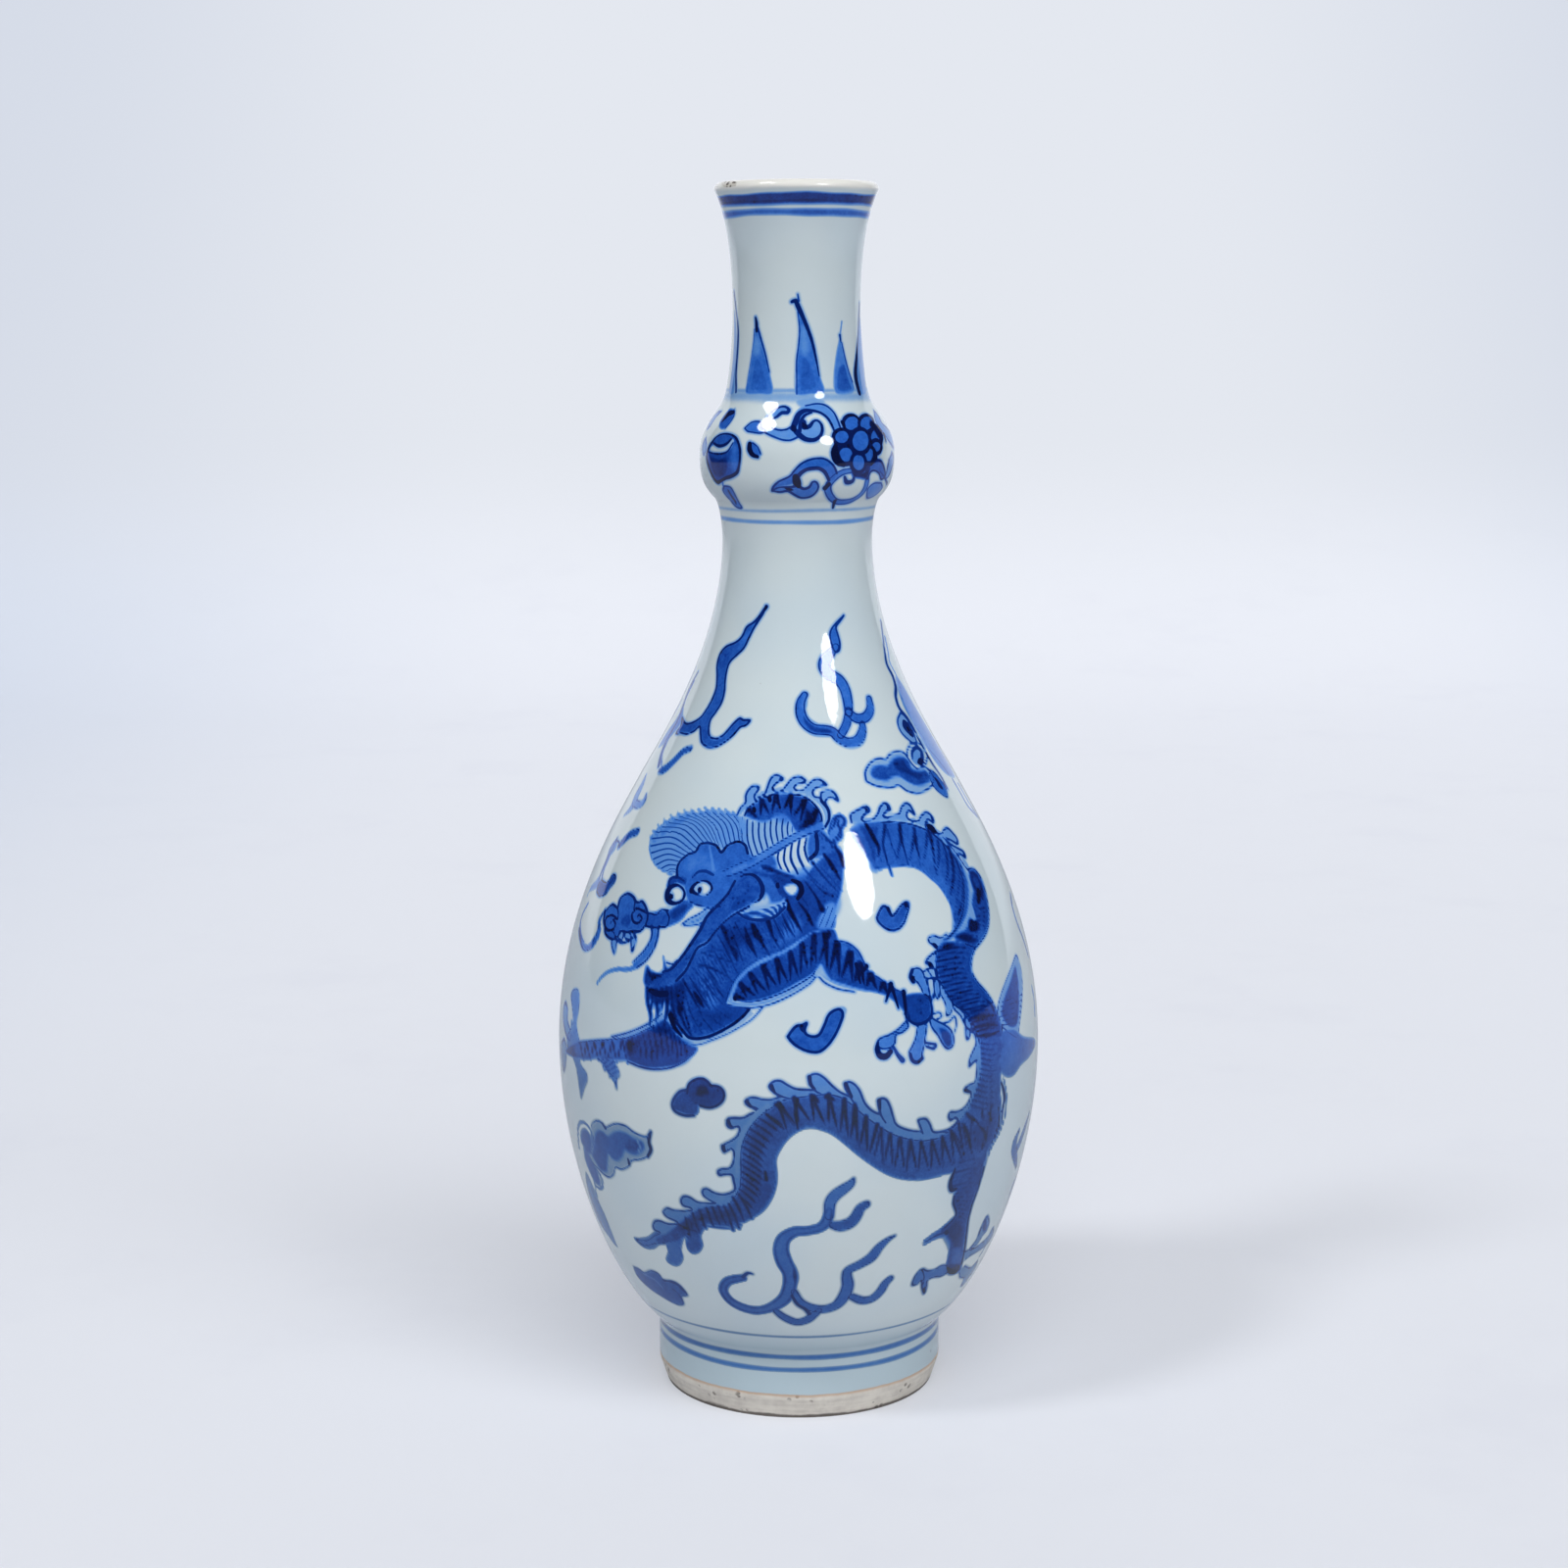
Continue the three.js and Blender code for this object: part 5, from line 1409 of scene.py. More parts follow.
def dragon_hind_leg(brush):
    """The hind leg with its claws, and the flame beside it at the right edge."""
    leg = [
        (985,1150), (1000,1140), (1018,1130), (1019,1146), (1015,1158), (1010,1170), (1006,1184),
        (1003,1197), (999,1210), (994,1222), (990,1235), (987,1248), (985,1262), (983,1275),
        (981,1290), (976,1298), (968,1300), (965,1293), (967,1283), (969,1270), (969,1263),
        (967,1258), (962,1260), (955,1262), (947,1266), (943,1267), (950,1260), (958,1255),
        (964,1250), (970,1245), (976,1238), (973,1230), (973,1222), (976,1214), (970,1216),
        (969,1208), (972,1198), (975,1191), (978,1180), (976,1168),
    ]
    brush.wash(0.60, leg, 0.35)
    brush.comb([(980,1184),(972,1205),(976,1222),(978,1240),(970,1258)],
        [(1005,1180),(1000,1205),(993,1224),(988,1240),(984,1262)], 17, [0.7,0.4], 0.84, bow=0.07,
        edge=0.5)
    brush.comb([(1001,1062),(1002,1080),(1000,1098),(996,1114),(990,1130)],
        [(1021,1060),(1021,1080),(1020,1098),(1019,1114),(1018,1132)], 13, [0.8,0.4], 0.82,
        bow=-0.08, edge=0.5)
    brush.wash(0.72, [(964,1256),(976,1242),(985,1252),(982,1272),(972,1276),(968,1268)], 1.4)
    brush.wash(0.78, [(967,1290),(980,1288),(979,1297),(968,1299)], 0.8)
    brush.wash(0.50, [(973,1277),(981,1276),(980,1288),(972,1290)], 0.8, 'over')
    brush.comb([(983,1150),(992,1142),(1002,1134),(1012,1128)],
        [(984,1176),(992,1180),(1000,1178),(1008,1168)], 6, [1.1,0.7,0.5], 0.88, zig=True, edge=0.4)
    brush.wash(0.50, [(994,1144),(1002,1141),(1005,1149),(999,1155),(993,1152)], 0.7, 'over')
    brush.line(0.7, 0.84, [(1019,1130),(1019,1146),(1014,1160),(1009,1174),(1005,1188),(1001,1202),
        (997,1215),(992,1229),(988,1244),(986,1260),(984,1276),(981,1290)])
    brush.line(0.6, 0.16, [(1018,1144),(1015,1154),(1011,1165),(1008,1176),(1005,1188)],
        mode='over')
    brush.line(0.6, 0.66, [(1024,1130),(1021,1148),(1015,1162)])
    brush.line([0.7,1.4,0.8], 0.88, [(975,1192),(970,1206),(971,1214),(976,1213)])
    brush.line(0.7, 0.84, [(974,1220),(973,1228),(976,1238),(972,1245),(964,1253)])
    brush.wash(0.95, [(966,1292),(976,1296),(980,1291),(976,1299),(968,1300)], 0.4)
    brush.wash(0.84, [(963,1257),(967,1254),(969,1258),(965,1261)], 0.4)
    brush.line(0.3, 0.12, [(960,1259),(953,1262),(947,1265)], mode='over')
    brush.line(0.3, 0.16, [(960,1256),(954,1259),(949,1262)], mode='over')
    for i, t in enumerate([0.5, 0.68, 0.5]):
        brush.line([0.9,0.7,0.5], t, [(966,1254+3*i),(955,1259+2*i),(943,1266+2*i)])
    # claws
    claw = [
        (967,1291), (960,1292), (953,1296), (946,1297), (941,1295), (937,1298), (933,1304),
        (931,1311), (936,1310), (940,1306), (941,1314), (943,1320), (945,1314), (946,1307),
        (952,1303), (960,1302), (966,1299),
    ]
    brush.wash(0.44, claw)
    brush.line(0.45, 0.82, claw)
    brush.line(0.45, 0.84, [(941,1296),(943,1303),(942,1310)])
    brush.wash(0.9, [(942,1314),(944,1313),(944,1319),(942,1319)], 0.3)
    claw = [
        (982,1277), (988,1276), (996,1266), (1000,1255), (1003,1248), (1007,1241), (1009,1247),
        (1007,1255), (1003,1260), (998,1268), (990,1276), (1000,1270), (1008,1262), (1013,1253),
        (1012,1262), (1006,1270), (998,1276), (990,1281), (985,1285),
    ]
    brush.wash(0.28, claw)
    brush.line(0.4, 0.78, claw)
    brush.line(0.4, 0.76, [(988,1276),(997,1264),(1002,1252),(1006,1243)])
    brush.wash(0.62, [(1002,1250),(1007,1242),(1007,1250),(1008,1249),(1006,1256),(1003,1257)], 0.3)
    brush.line(0.5, 0.6, [(1013,1254),(1008,1266),(1003,1276),(1000,1281)])
    claw = [
        (984,1292), (990,1294), (996,1288), (997,1287), (994,1296), (989,1303), (983,1311),
        (981,1311), (984,1304), (980,1303), (979,1298),
    ]
    brush.wash(0.22, claw)
    brush.line(0.4, 0.66, claw)
    # flame at the right edge
    brush.band([(1037,1191),(1036,1180),(1035,1168),(1040,1153)], [0.5, 2.2, 2.6, 0.6], 0.42, 0.64)
    brush.band([(1037,1174),(1042,1162),(1046,1150),(1050,1136)], [2.0, 2.4, 1.8, 0.5], 0.40, 0.60)
    brush.band([(1039,1200),(1034,1208),(1030,1220)], [0.5, 1.8, 0.5], 0.38, 0.56)


def middle_flame(brush):
    """The flame above the dragon, in the middle."""
    comma = [
        (861,628), (857,634), (853,640), (855,648), (857,657), (856,664), (852,665), (849,658),
        (847,650), (848,643), (853,636),
    ]
    brush.shape(0.5, comma, 0.5, 0.76)
    brush.band([(853,660),(848,666),(843,672),(841,680),(846,688),(856,694),(862,703),(865,715),
        (866,727)], [1.5,1.9,2.4,2.6,2.6,2.5,2.4,2.2,1.9], 0.50, 0.80)
    brush.band([(821,709),(817,717),(817,728),(822,738),(831,744),(842,745),(850,747),(857,754),
        (867,758),(876,755),(880,746),(880,738)], [1.4,1.8,2.1,2.2,2.2,2.2,2.1,2.1,2.2,2.2,1.8,1.2],
        0.50, 0.80)
    brush.wash(0.70,
        [(818,722),(824,733),(834,740),(848,743),(852,749),(840,750),(828,748),(819,738)], 1.0)
    brush.wash(0.40, [(820,707),(823,712),(822,722),(817,722)], 0.7, 'over')
    brush.band([(866,727),(874,733),(883,732),(888,724),(887,713)], [1.7,2.1,2.1,1.9,1.4], 0.50,
        0.80)
    brush.band([(866,725),(864,738),(858,750)], [1.6,1.8,1.7], 0.50, 0.80)


def right_cloud(brush):
    """The cloud on the right."""
    curl = [
        (884,797), (883,788), (887,780), (892,776), (898,774), (904,775), (908,770), (915,767),
        (922,768), (926,773), (931,780), (937,785), (944,783), (950,788), (953,797), (948,804),
        (937,809), (926,807), (917,801), (911,803), (901,803), (892,801),
    ]
    brush.shape(0.14, curl, 0.55, 0.66, 0.3, rim_edge=0.25)
    inner = [
        (888,790), (890,783), (897,780), (905,781), (908,777), (914,772), (922,772), (928,777),
        (930,783), (936,787), (943,785), (948,790), (950,796), (945,800), (936,802), (926,798),
        (918,793), (912,793), (905,797), (897,796), (891,794),
    ]
    brush.wash(0.6, inner, 0.5)
    brush.wash(0.74, [(910,775),(922,773),(930,784),(944,788),(940,798),(925,792),(912,786)], 1.2)
    brush.wash(0.30,
        [(929,772),(930,765),(934,761),(940,763),(943,770),(942,778),(937,781),(932,778)], 0.3)
    brush.line([0.6,0.9,1.1,1.3], 0.72, [(931,774),(931,767),(935,763),(940,766),(941,774)],
        edge=0.35)
    brush.wash(0.92, [(937,774),(941,773),(943,778),(940,781),(936,779)], 0.3)
    brush.line(0.5, 0.64,
        [(926,773),(926,765),(930,759),(936,758),(942,762),(946,770),(945,778),(943,783)])
    brush.line([0.5,0.6,0.8,1.0,0.9,1.0,0.9,0.8,0.8,0.6], 0.74, [(899,634),(901,650),(903,666),
        (905,678),(911,690),(914,701),(914,711),(918,723),(926,733),(933,745),(939,757),(945,768),
        (952,780),(960,792),(967,805)])
    brush.line([0.4,0.5,0.4], 0.50,
        [(903,650),(906,664),(908,676),(915,690),(919,702),(920,712),(925,724)])
    curl = [(919,727),(916,735),(918,744),(924,752),(935,760),(933,750),(929,740),(924,732)]
    brush.shape(0.24, curl, 0.6, 0.66)
    brush.wash(0.84, [(921,734),(926,737),(931,746),(932,753),(925,747),(921,741)], 0.3)
    curl = [(948,786),(950,797),(956,806),(966,813),(965,804),(959,795),(953,788)]
    brush.shape(0.5, curl, 0.5, 0.72)
    brush.wash(0.85, [(953,792),(958,797),(963,806),(958,803)], 0.3)
    brush.wash(0.38, [(914,690),(920,697),(928,711),(936,725),(945,740),(955,757),(965,774),
        (974,792),(966,790),(955,778),(946,764),(938,750),(930,735),(922,720),(917,705)], 0.5)
    brush.line([0.4,0.6,0.4], 0.30, [(934,748),(940,756),(944,764),(942,768)], mode='over')
    brush.line([0.4,0.5,0.4], 0.56, [(932,738),(942,752),(948,764),(958,776),(968,790)])
    brush.line(0.5, 0.55, [(972,795),(980,809),(988,823),(996,832)])
    brush.line(0.5, 0.5, [(978,800),(988,818),(998,834)])


def side_marks(brush):
    """Clouds and flames for the two sides that the photo doesn't show, drawn as if in front."""
    cloud = [
        (776,1178), (779,1169), (788,1165), (792,1156), (802,1151), (811,1152), (818,1144),
        (829,1142), (838,1148), (842,1157), (851,1158), (858,1166), (855,1175), (846,1180),
        (835,1178), (826,1184), (815,1181), (806,1187), (796,1183), (785,1186),
    ]
    inner = [
        (783,1176), (788,1171), (796,1166), (800,1160), (809,1158), (816,1158), (822,1150),
        (830,1149), (835,1156), (838,1163), (847,1164), (851,1169), (845,1174), (834,1172),
        (825,1177), (814,1175), (805,1180), (795,1177),
    ]
    brush.shape(0.18, cloud, 0.6, 0.70, 0.3)
    brush.wash(0.54, inner, 0.5)
    brush.wash(0.68, [(810,1160),(824,1154),(834,1160),(836,1168),(820,1172),(808,1170)], 1.2)
    brush.line([0.5,0.8,0.5], 0.74, [(800,1162),(808,1166),(806,1173),(798,1173)])
    brush.line([0.5,0.8,0.5], 0.74, [(826,1152),(834,1158),(832,1166),(824,1166)])
    brush.band([(806,1072),(813,1058),(808,1042),(815,1026),(826,1014),(829,1000)],
        [1.4, 2.0, 1.9, 1.9, 1.3, 0.4], 0.50, 0.80)
    brush.band([(811,1046),(824,1044),(834,1034),(838,1020)], [1.2, 1.8, 1.6, 0.5], 0.54, 0.80)
    brush.band([(808,1066),(796,1064),(790,1052),(794,1040)], [1.0, 1.7, 1.6, 0.6], 0.54, 0.80)
    brush.wash(0.58, [(799,886),(802,879),(805,875),(809,876),(811,881),(814,885),(818,882),
        (822,876),(827,871),(831,871),(831,877),(829,884),(826,892),(820,898),(812,899),(805,895),
        (800,890)], 0.35)
    brush.line([0.6,0.7,0.5,0.6], 0.82, [(809,876),(811,881),(814,885),(818,882),(822,876),
        (827,871),(831,871),(829,884),(826,892),(820,898),(812,899),(805,895),(800,890)], edge=0.3)
    brush.band([(808,770),(815,756),(810,742),(815,728),(825,718),(827,704),(834,692)],
        [1.2, 1.7, 1.8, 1.8, 1.6, 1.2, 0.4], 0.54, 0.80)
    brush.band([(813,748),(824,748),(832,740),(836,728)], [1.2, 1.6, 1.5, 0.5], 0.56, 0.80)
    brush.band([(790,1288),(802,1280),(815,1284),(826,1278),(838,1268)], [0.6, 1.8, 2.2, 1.8, 0.5],
        0.48, 0.74)


def neck_leaves(brush):
    """Stiff leaves on the neck: pale at the tip, loaded at the bulb, with a dark right edge."""
    brush.wash(0.46, [(771,328),(773,334),(776,344),(779,357),(783,370),(786,384),(788,401),
        (775,402),(761,401),(763,388),(766,370),(768,354),(770,340)], 0.3)
    brush.wash(0.53, [(769,366),(776,364),(782,380),(785,398),(774,401),(764,399),(766,382)], 1.0)
    brush.wash(0.32, [(770,346),(773,345),(776,354),(774,362),(769,360)], 0.7, 'over')
    brush.line([0.5,0.9,0.7], 0.96, [(771,324),(772,331),(772,338)])
    brush.line([0.6,0.55,0.35], 0.72, [(773,334),(777,348),(781,362),(785,380)])
    brush.line([0.35,0.25,0.3], 0.64, [(770,336),(769,350),(766,370),(763,388),(762,400)])
    brush.wash(0.46, [(813,308),(816,312),(820,321),(825,333),(829,345),(832,358),(834,372),
        (837,385),(841,400),(828,402),(812,402),(813,386),(813,368),(815,352),(816,340),(815,326),
        (813,316)], 0.3)
    brush.wash(0.53, [(815,366),(824,362),(832,376),(836,396),(826,401),(814,400)], 1.2)
    brush.wash(0.30, [(818,332),(822,336),(825,348),(824,360),(819,362),(817,348)], 0.8, 'over')
    brush.line([0.3,0.5], 0.7, [(814,300),(815,307)])
    brush.line([0.7,0.9,0.6], 0.86, [(808,308),(811,307),(814,309)])
    brush.line([1.0,1.1,0.9,0.8,0.6,0.3], 0.86,
        [(812,307),(815,314),(819,323),(824,335),(829,350),(833,368),(836,384)])
    brush.line([0.3,0.4,0.4,0.4], 0.7,
        [(814,318),(816,336),(815,352),(813,368),(813,384),(813,402)])
    brush.wash(0.40, [(857,342),(859,350),(862,364),(866,378),(872,397),(864,401),(853,401),
        (851,386),(852,372),(854,358),(856,348)], 0.35)
    brush.wash(0.55, [(854,376),(862,370),(867,386),(870,399),(854,400)], 1.0)
    brush.line(0.3, 0.45, [(859,328),(858,336),(857,343)], edge=0.2)
    brush.line([0.7,0.4], 0.72, [(857,342),(858,349)])
    brush.line([0.4,0.5,0.4], 0.66, [(859,350),(862,364),(866,379),(870,390)])
    # the blades at the two edges
    brush.wash(0.30, [(877,322),(879,340),(881,360),(882,380),(884,400),(877,402),(874,388),
        (874,370),(875,352),(876,336)], 0.3)
    brush.line([0.3,0.4,0.8,1.4,1.5,1.3], 0.95,
        [(877,310),(876,335),(875,350),(874,366),(873,379),(874,389),(877,401)])
    brush.wash(0.30, [(749,316),(751,330),(752,350),(751,368),(750,384),(749,401),(744,401),
        (746,384),(748,366),(749,346)], 0.3)
    brush.line([0.3,0.5,0.7,0.7,0.7,0.7], 0.82,
        [(749,298),(751,315),(753,335),(753,350),(752,366),(751,382),(751,400)])


def bulb_flowers(brush):
    """The flower scroll on the bulb."""
    # round bud with its open lid
    bud = [
        (722,460), (726,452), (731,446), (737,443), (744,443), (750,446), (753,451), (755,459),
        (755,467), (754,475), (752,482), (746,486), (740,488), (735,491), (732,492), (729,489),
        (725,481), (722,472), (721,466),
    ]
    brush.wash(0.60, bud, 0.3)
    brush.wash(0.76, [(724,464),(734,466),(742,464),(744,478),(740,487),(732,489),(726,481)], 1.0)
    brush.wash(0.46, [(748,454),(752,456),(753,468),(751,480),(746,476),(746,462)], 0.8, 'over')
    brush.line([0.8,0.7,0.5,0.5,0.5,0.7,0.7,0.8,0.6,0.8,1.0,0.9,0.8,1.0,1.1,1.0,0.9,0.9,0.8], 0.92,
        bud + [bud[0]])
    brush.wash(0.03, [(724,459),(728,454),(735,456),(742,454),(747,448),(749,450),(746,457),
        (742,461),(735,463),(728,462)], 0.25, 'over')
    brush.line([0.6,0.9,0.6], 0.9, [(728,452),(734,455),(741,453),(746,448)])
    brush.line([0.4,0.6,0.4], 0.84, [(723,461),(729,463),(737,463),(743,460),(748,452)])
    brush.wash(0.56, [(737,438),(734,435),(735,430),(738,425),(742,420),(745,417),(749,418),
        (750,421),(748,426),(745,431),(741,436)], 0.3)
    brush.line([0.6,1.5,1.7,1.2], 0.95, [(737,430),(740,426),(744,422),(748,421)])
    brush.line(0.4, 0.8, [(749,418),(749,424),(745,431),(740,437)])
    brush.wash(0.50,
        [(764,452),(768,451),(772,454),(775,459),(777,464),(773,466),(769,467),(766,462),(763,457)],
        0.3)
    brush.line([1.1,1.3,1.1,0.8], 1.0, [(765,453),(765,459),(768,464),(773,466)])
    brush.line(0.4, 0.8, [(768,452),(773,456),(776,463)])
    stalk = [
        (739,496), (745,497), (748,501), (751,507), (754,513), (757,518), (753,518), (748,514),
        (742,507), (738,501),
    ]
    brush.shape(0.46, stalk, 0.5, 0.72, 0.3)
    brush.line([0.5,0.9,0.6], 0.84, [(743,500),(747,507),(751,514)])
    brush.line(0.6, 0.5, [(737,489),(738,496)])
    for c in [
        [(736,420),(731,425),(725,434),(722,437),(726,428),(732,421)],
        [(720,447),(717,455),(718,464),(721,456)],
    ]:
        brush.shape(0.3, c, 0.4, 0.55)
    brush.wash(0.20, [(812,409),(822,405),(834,405),(842,410),(834,414),(820,417)], 0.9)
    # upper scroll: leaf, ribbon, the short curl over it and the hook that meets the flower
    leaf = [
        (760,437), (763,434), (767,431), (772,430), (776,431), (777,436), (781,440), (776,442),
        (768,441), (763,440),
    ]
    brush.shape(0.48, leaf, 0.45, 0.76, 0.3)
    ribbon = [
        (780,440), (788,437), (796,439), (803,438), (808,436), (813,441), (814,446), (807,449),
        (800,449), (793,447), (786,444),
    ]
    brush.wash(0.32, ribbon, 0.3)
    brush.line(0.5, 0.76, [(788,437),(796,439),(803,438),(808,435)])
    brush.line(0.5, 0.72, [(780,441),(786,444),(793,447),(800,449),(807,449),(814,446)])
    curl = [
        (783,425), (788,420), (794,416), (801,415), (805,418), (804,421), (799,422), (794,424),
        (789,427),
    ]
    brush.wash(0.32, curl, 0.3)
    brush.line([0.4,0.5,0.6,0.8,1.1,0.8,0.5], 0.8,
        [(783,425),(788,420),(794,416),(801,415),(805,418),(803,421),(798,421),(793,425),(789,427)])
    brush.wash(0.34, [(808,436),(810,428),(812,421),(817,416),(825,413),(834,412),(842,414),
        (849,419),(853,425),(857,434),(852,440),(849,434),(845,428),(839,423),(832,421),(826,421),
        (821,425),(817,431),(816,437),(812,440)], 0.3)
    brush.line([0.4,0.5,0.5,0.5,0.6], 0.78,
        [(822,414),(834,412),(843,414),(850,420),(854,427),(857,435)])
    brush.line([1.3,1.4,1.2,0.8,0.7,0.7,0.5], 0.84,
        [(809,437),(812,430),(815,423),(821,419),(829,419),(837,421),(844,426),(848,432),(851,439)])
    brush.line([0.9,0.8,0.5], 0.84, [(816,440),(817,431),(821,424),(828,421)])
    loop = [
        (817,440), (821,438), (826,436), (830,430), (834,429), (838,433), (839,440), (836,446),
        (830,449), (822,449), (816,446), (812,442),
    ]
    brush.wash(0.28, loop, 0.3)
    brush.line([1.6,1.3,0.9,0.6,0.6,0.7,0.8,0.9,1.1,1.3,1.2], 0.84, [(819,431),(821,436),(826,435),
        (830,430),(834,429),(838,433),(839,440),(836,446),(830,449),(822,448),(816,444),(812,440)])
    brush.wash(0.98, [(818,431),(821,431),(825,436),(822,438),(818,436)], 0.4)
    brush.wash(0.97, [(807,434),(811,433),(813,437),(812,441),(808,440)], 0.4)
    # flower head: round petals, each with its own dark rim, the middle one laid last
    for x, y, across, up, rim in [
        (893,446,6.5,11,1.5), (894,456,5.5,7,1.0), (869,432,8.5,8.5,0.9), (884,432,7.5,8.5,0.9),
        (859,446,8.5,8,0.9), (863,464,9,9.5,1.1), (886,464,7,9,1.1), (876,472,7.5,10,1.0),
        (878,450,10,12.5,1.1),
    ]:
        petal = [(x + across * math.cos(k * math.pi / 5),
            y + up * math.sin(k * math.pi / 5)) for k in range(10)]
        brush.wash(0.50, petal, 0.3, 'over')
        brush.line(rim, 0.92, petal + [petal[0]])
    brush.wash(0.95, [(888,428),(894,434),(899,441),(900,449),(896,447),(892,440),(887,434)], 0.5)
    brush.line([1.0,2.0,2.0,1.2], 0.99, [(853,454),(852,462),(855,470),(861,474)])
    brush.line([1.2,0.8], 0.99, [(860,431),(862,437)])
    brush.line([1.2,1.8,1.2], 0.97, [(892,460),(893,466),(889,473)])
    brush.wash(0.94, [(868,476),(873,482),(884,480),(889,474),(885,488),(878,488),(870,486)], 0.5)
    # lower scroll: broad arch, dark inside, with a small hook under it
    arch = [
        (788,501), (789,497), (794,492), (800,489), (806,486), (811,480), (817,474), (824,470),
        (832,468), (840,468), (846,471), (851,476), (854,483), (852,490), (847,492), (845,486),
        (841,480), (835,477), (827,478), (821,481), (816,486), (813,492), (806,495), (797,497),
    ]
    brush.wash(0.50, arch, 0.3)
    brush.line([0.6,0.5,0.5,0.5,0.6], 0.8, arch[:13])
    brush.line([1.1,1.0,0.9,0.9,0.9,0.8], 0.84,
        [(812,492),(815,485),(821,480),(828,478),(836,478),(842,482),(846,490)])
    tail = [
        (788,501), (793,498), (800,497), (808,497), (814,496), (820,499), (826,497), (829,492),
        (833,492), (835,497), (832,503), (826,507), (818,508), (811,505), (804,501), (796,502),
    ]
    brush.shape(0.44, tail, [0.5,0.5,0.8,0.8,0.5,0.5,0.6,0.7,0.7,0.5], 0.76, 0.3)
    brush.line([1.6,1.9,1.2], 0.99, [(812,487),(813,492),(815,496)])
    brush.line([0.4,0.9,0.4], 0.94, [(801,498),(805,499),(809,500)])
    # ringed knot and its stem
    knot = [
        (870,480), (860,482), (851,488), (845,496), (846,504), (852,511), (861,512), (870,510),
        (878,505), (883,498), (885,489),
    ]
    brush.band(knot, [1.0,1.2,1.4,1.5,1.5,1.4,1.3,1.3,1.3,1.3,1.2], 0.44, 0.72)
    brush.line([0.7,1.1,0.9,0.6], 0.8, [(862,487),(864,492),(870,491),(872,484)])
    brush.line([1.0,0.6], 0.9, [(852,511),(850,518)])
    brush.line([1.2,1.0], 0.95, [(842,498),(846,494)])
    # leaves towards the right edge
    sweep = [
        (884,480), (888,474), (894,470), (899,471), (902,477), (903,486), (899,489), (897,483),
        (892,480), (888,482), (885,489),
    ]
    brush.shape(0.56, sweep, [1.0,0.8,0.5,0.5,0.6], 0.84, 0.3)
    brush.line([0.5,0.6,0.4], 0.7, [(898,481),(903,488),(905,494)])
    drop = [(899,493),(893,493),(888,496),(885,501),(885,508),(890,507),(896,503),(900,498)]
    brush.shape(0.40, drop, 0.5, 0.66, 0.3)
    for c in [
        [(892,419),(896,424),(900,432),(906,438),(911,447),(912,457),(907,450),(902,442),(896,434),
            (893,427)],
        [(910,462),(912,468),(910,477),(907,485),(904,488),(905,478),(907,470)],
    ]:
        brush.shape(0.30, c, 0.4, 0.6)
    brush.line([1.1,0.6], 0.95, [(902,443),(904,450)])
    brush.line([0.7,0.4], 0.8, [(907,470),(904,484)])


def rings(brush):
    """The lines round the vase, and the chip in its lip."""
    for pixel_level, width, tone, edge, phase, sway in [
        (202.0, 2.2, 0.74, 0.40, 0.6, 0.10), (204.6, 1.2, 0.86, 0.70, 0.6, 0.10),
        (216.5, 1.3, 0.54, 0.5, 2.1, 0.14), (399.0, 0.7, 0.22, 0.75, 1.0, 0.06),
        (405.0, 2.4, 0.15, 1.30, 3.0, 0.08), (521.5, 0.50, 0.20, 0.70, 0.3, 0.10),
        (533.0, 0.60, 0.34, 0.55, 4.0, 0.10), (1364.0, 0.75, 0.19, 0.40, 5.0, 0.12),
        (1385.5, 1.1, 0.42, 0.45, 1.7, 0.12), (1398.0, 0.85, 0.42, 0.45, 3.6, 0.14),
    ]:
        brush.ring(pixel_level, width, tone, edge, phase, sway)
    brush.chip([(736,186),(740,184),(746,184),(752,186),(751,190),(745,191),(739,191)])


def paint_body(brush):
    """The whole scene on the body, in the order in which its strokes overlap."""
    for motif in (edge_leaves, left_flames, left_clouds, flame_scroll, middle_flame, right_cloud,
                  dragon_back, dragon_flank, dragon_hind_leg, dragon_right_claw, dragon_belly_wave,
                  dragon_tail, small_cloud, dragon_chest, dragon_left_arm, dragon_right_arm,
                  dragon_head, flame_commas, dragon_right_claw):
        motif(brush)


# Where the painting is laid on: the turn round the vase, and how far it is narrowed
FRONT, BACK = (0.0, 1.0), (math.pi, 0.87)
SIDES = [(math.radians(98), 1.0), (math.radians(-93), 1.0)]
# Each section's skin: its two ends, rows, columns, how closely the columns crowd together at the
# front, and how closely the rows do at the low end
SKINS = {
    "foot_ring": (0.0, FOOT_SEAM + SLIP / 2, 50, 400, 0.40, 0.0),
    "lower_body": (FOOT_SEAM + SLIP / 2, BELLY_SEAM + SLIP / 2, 168, 520, 0.56, 0.0),
    "upper_body": (BELLY_SEAM + SLIP / 2, NECK_ROOT_SEAM + SLIP / 2, 174, 520, 0.56, 0.32),
    "lower_neck": (NECK_ROOT_SEAM + SLIP / 2, BULB_ROOT_SEAM + SLIP / 2, 190, 380, 0.45, 0.0),
    "garlic_bulb": (BULB_ROOT_SEAM + SLIP / 2, BULB_TOP_SEAM + SLIP / 2, 165, 500, 0.45, 0.0),
    "mouth": (BULB_TOP_SEAM + SLIP / 2, TOP_LEVEL, 190, 400, 0.45, 0.0),
}


def painted_skins():
    """The glazed outsides of all six thrown sections, painted all round."""
    skins = {name: Skin(*grid) for name, grid in SKINS.items()}
    everywhere = list(skins.values())
    front_and_back = Brush(everywhere, [FRONT, BACK])
    paint_body(front_and_back)
    bulb_flowers(front_and_back)
    neck_leaves(front_and_back)
    side_marks(Brush(everywhere, SIDES))
    rings(Brush(everywhere, [FRONT]))
    return skins


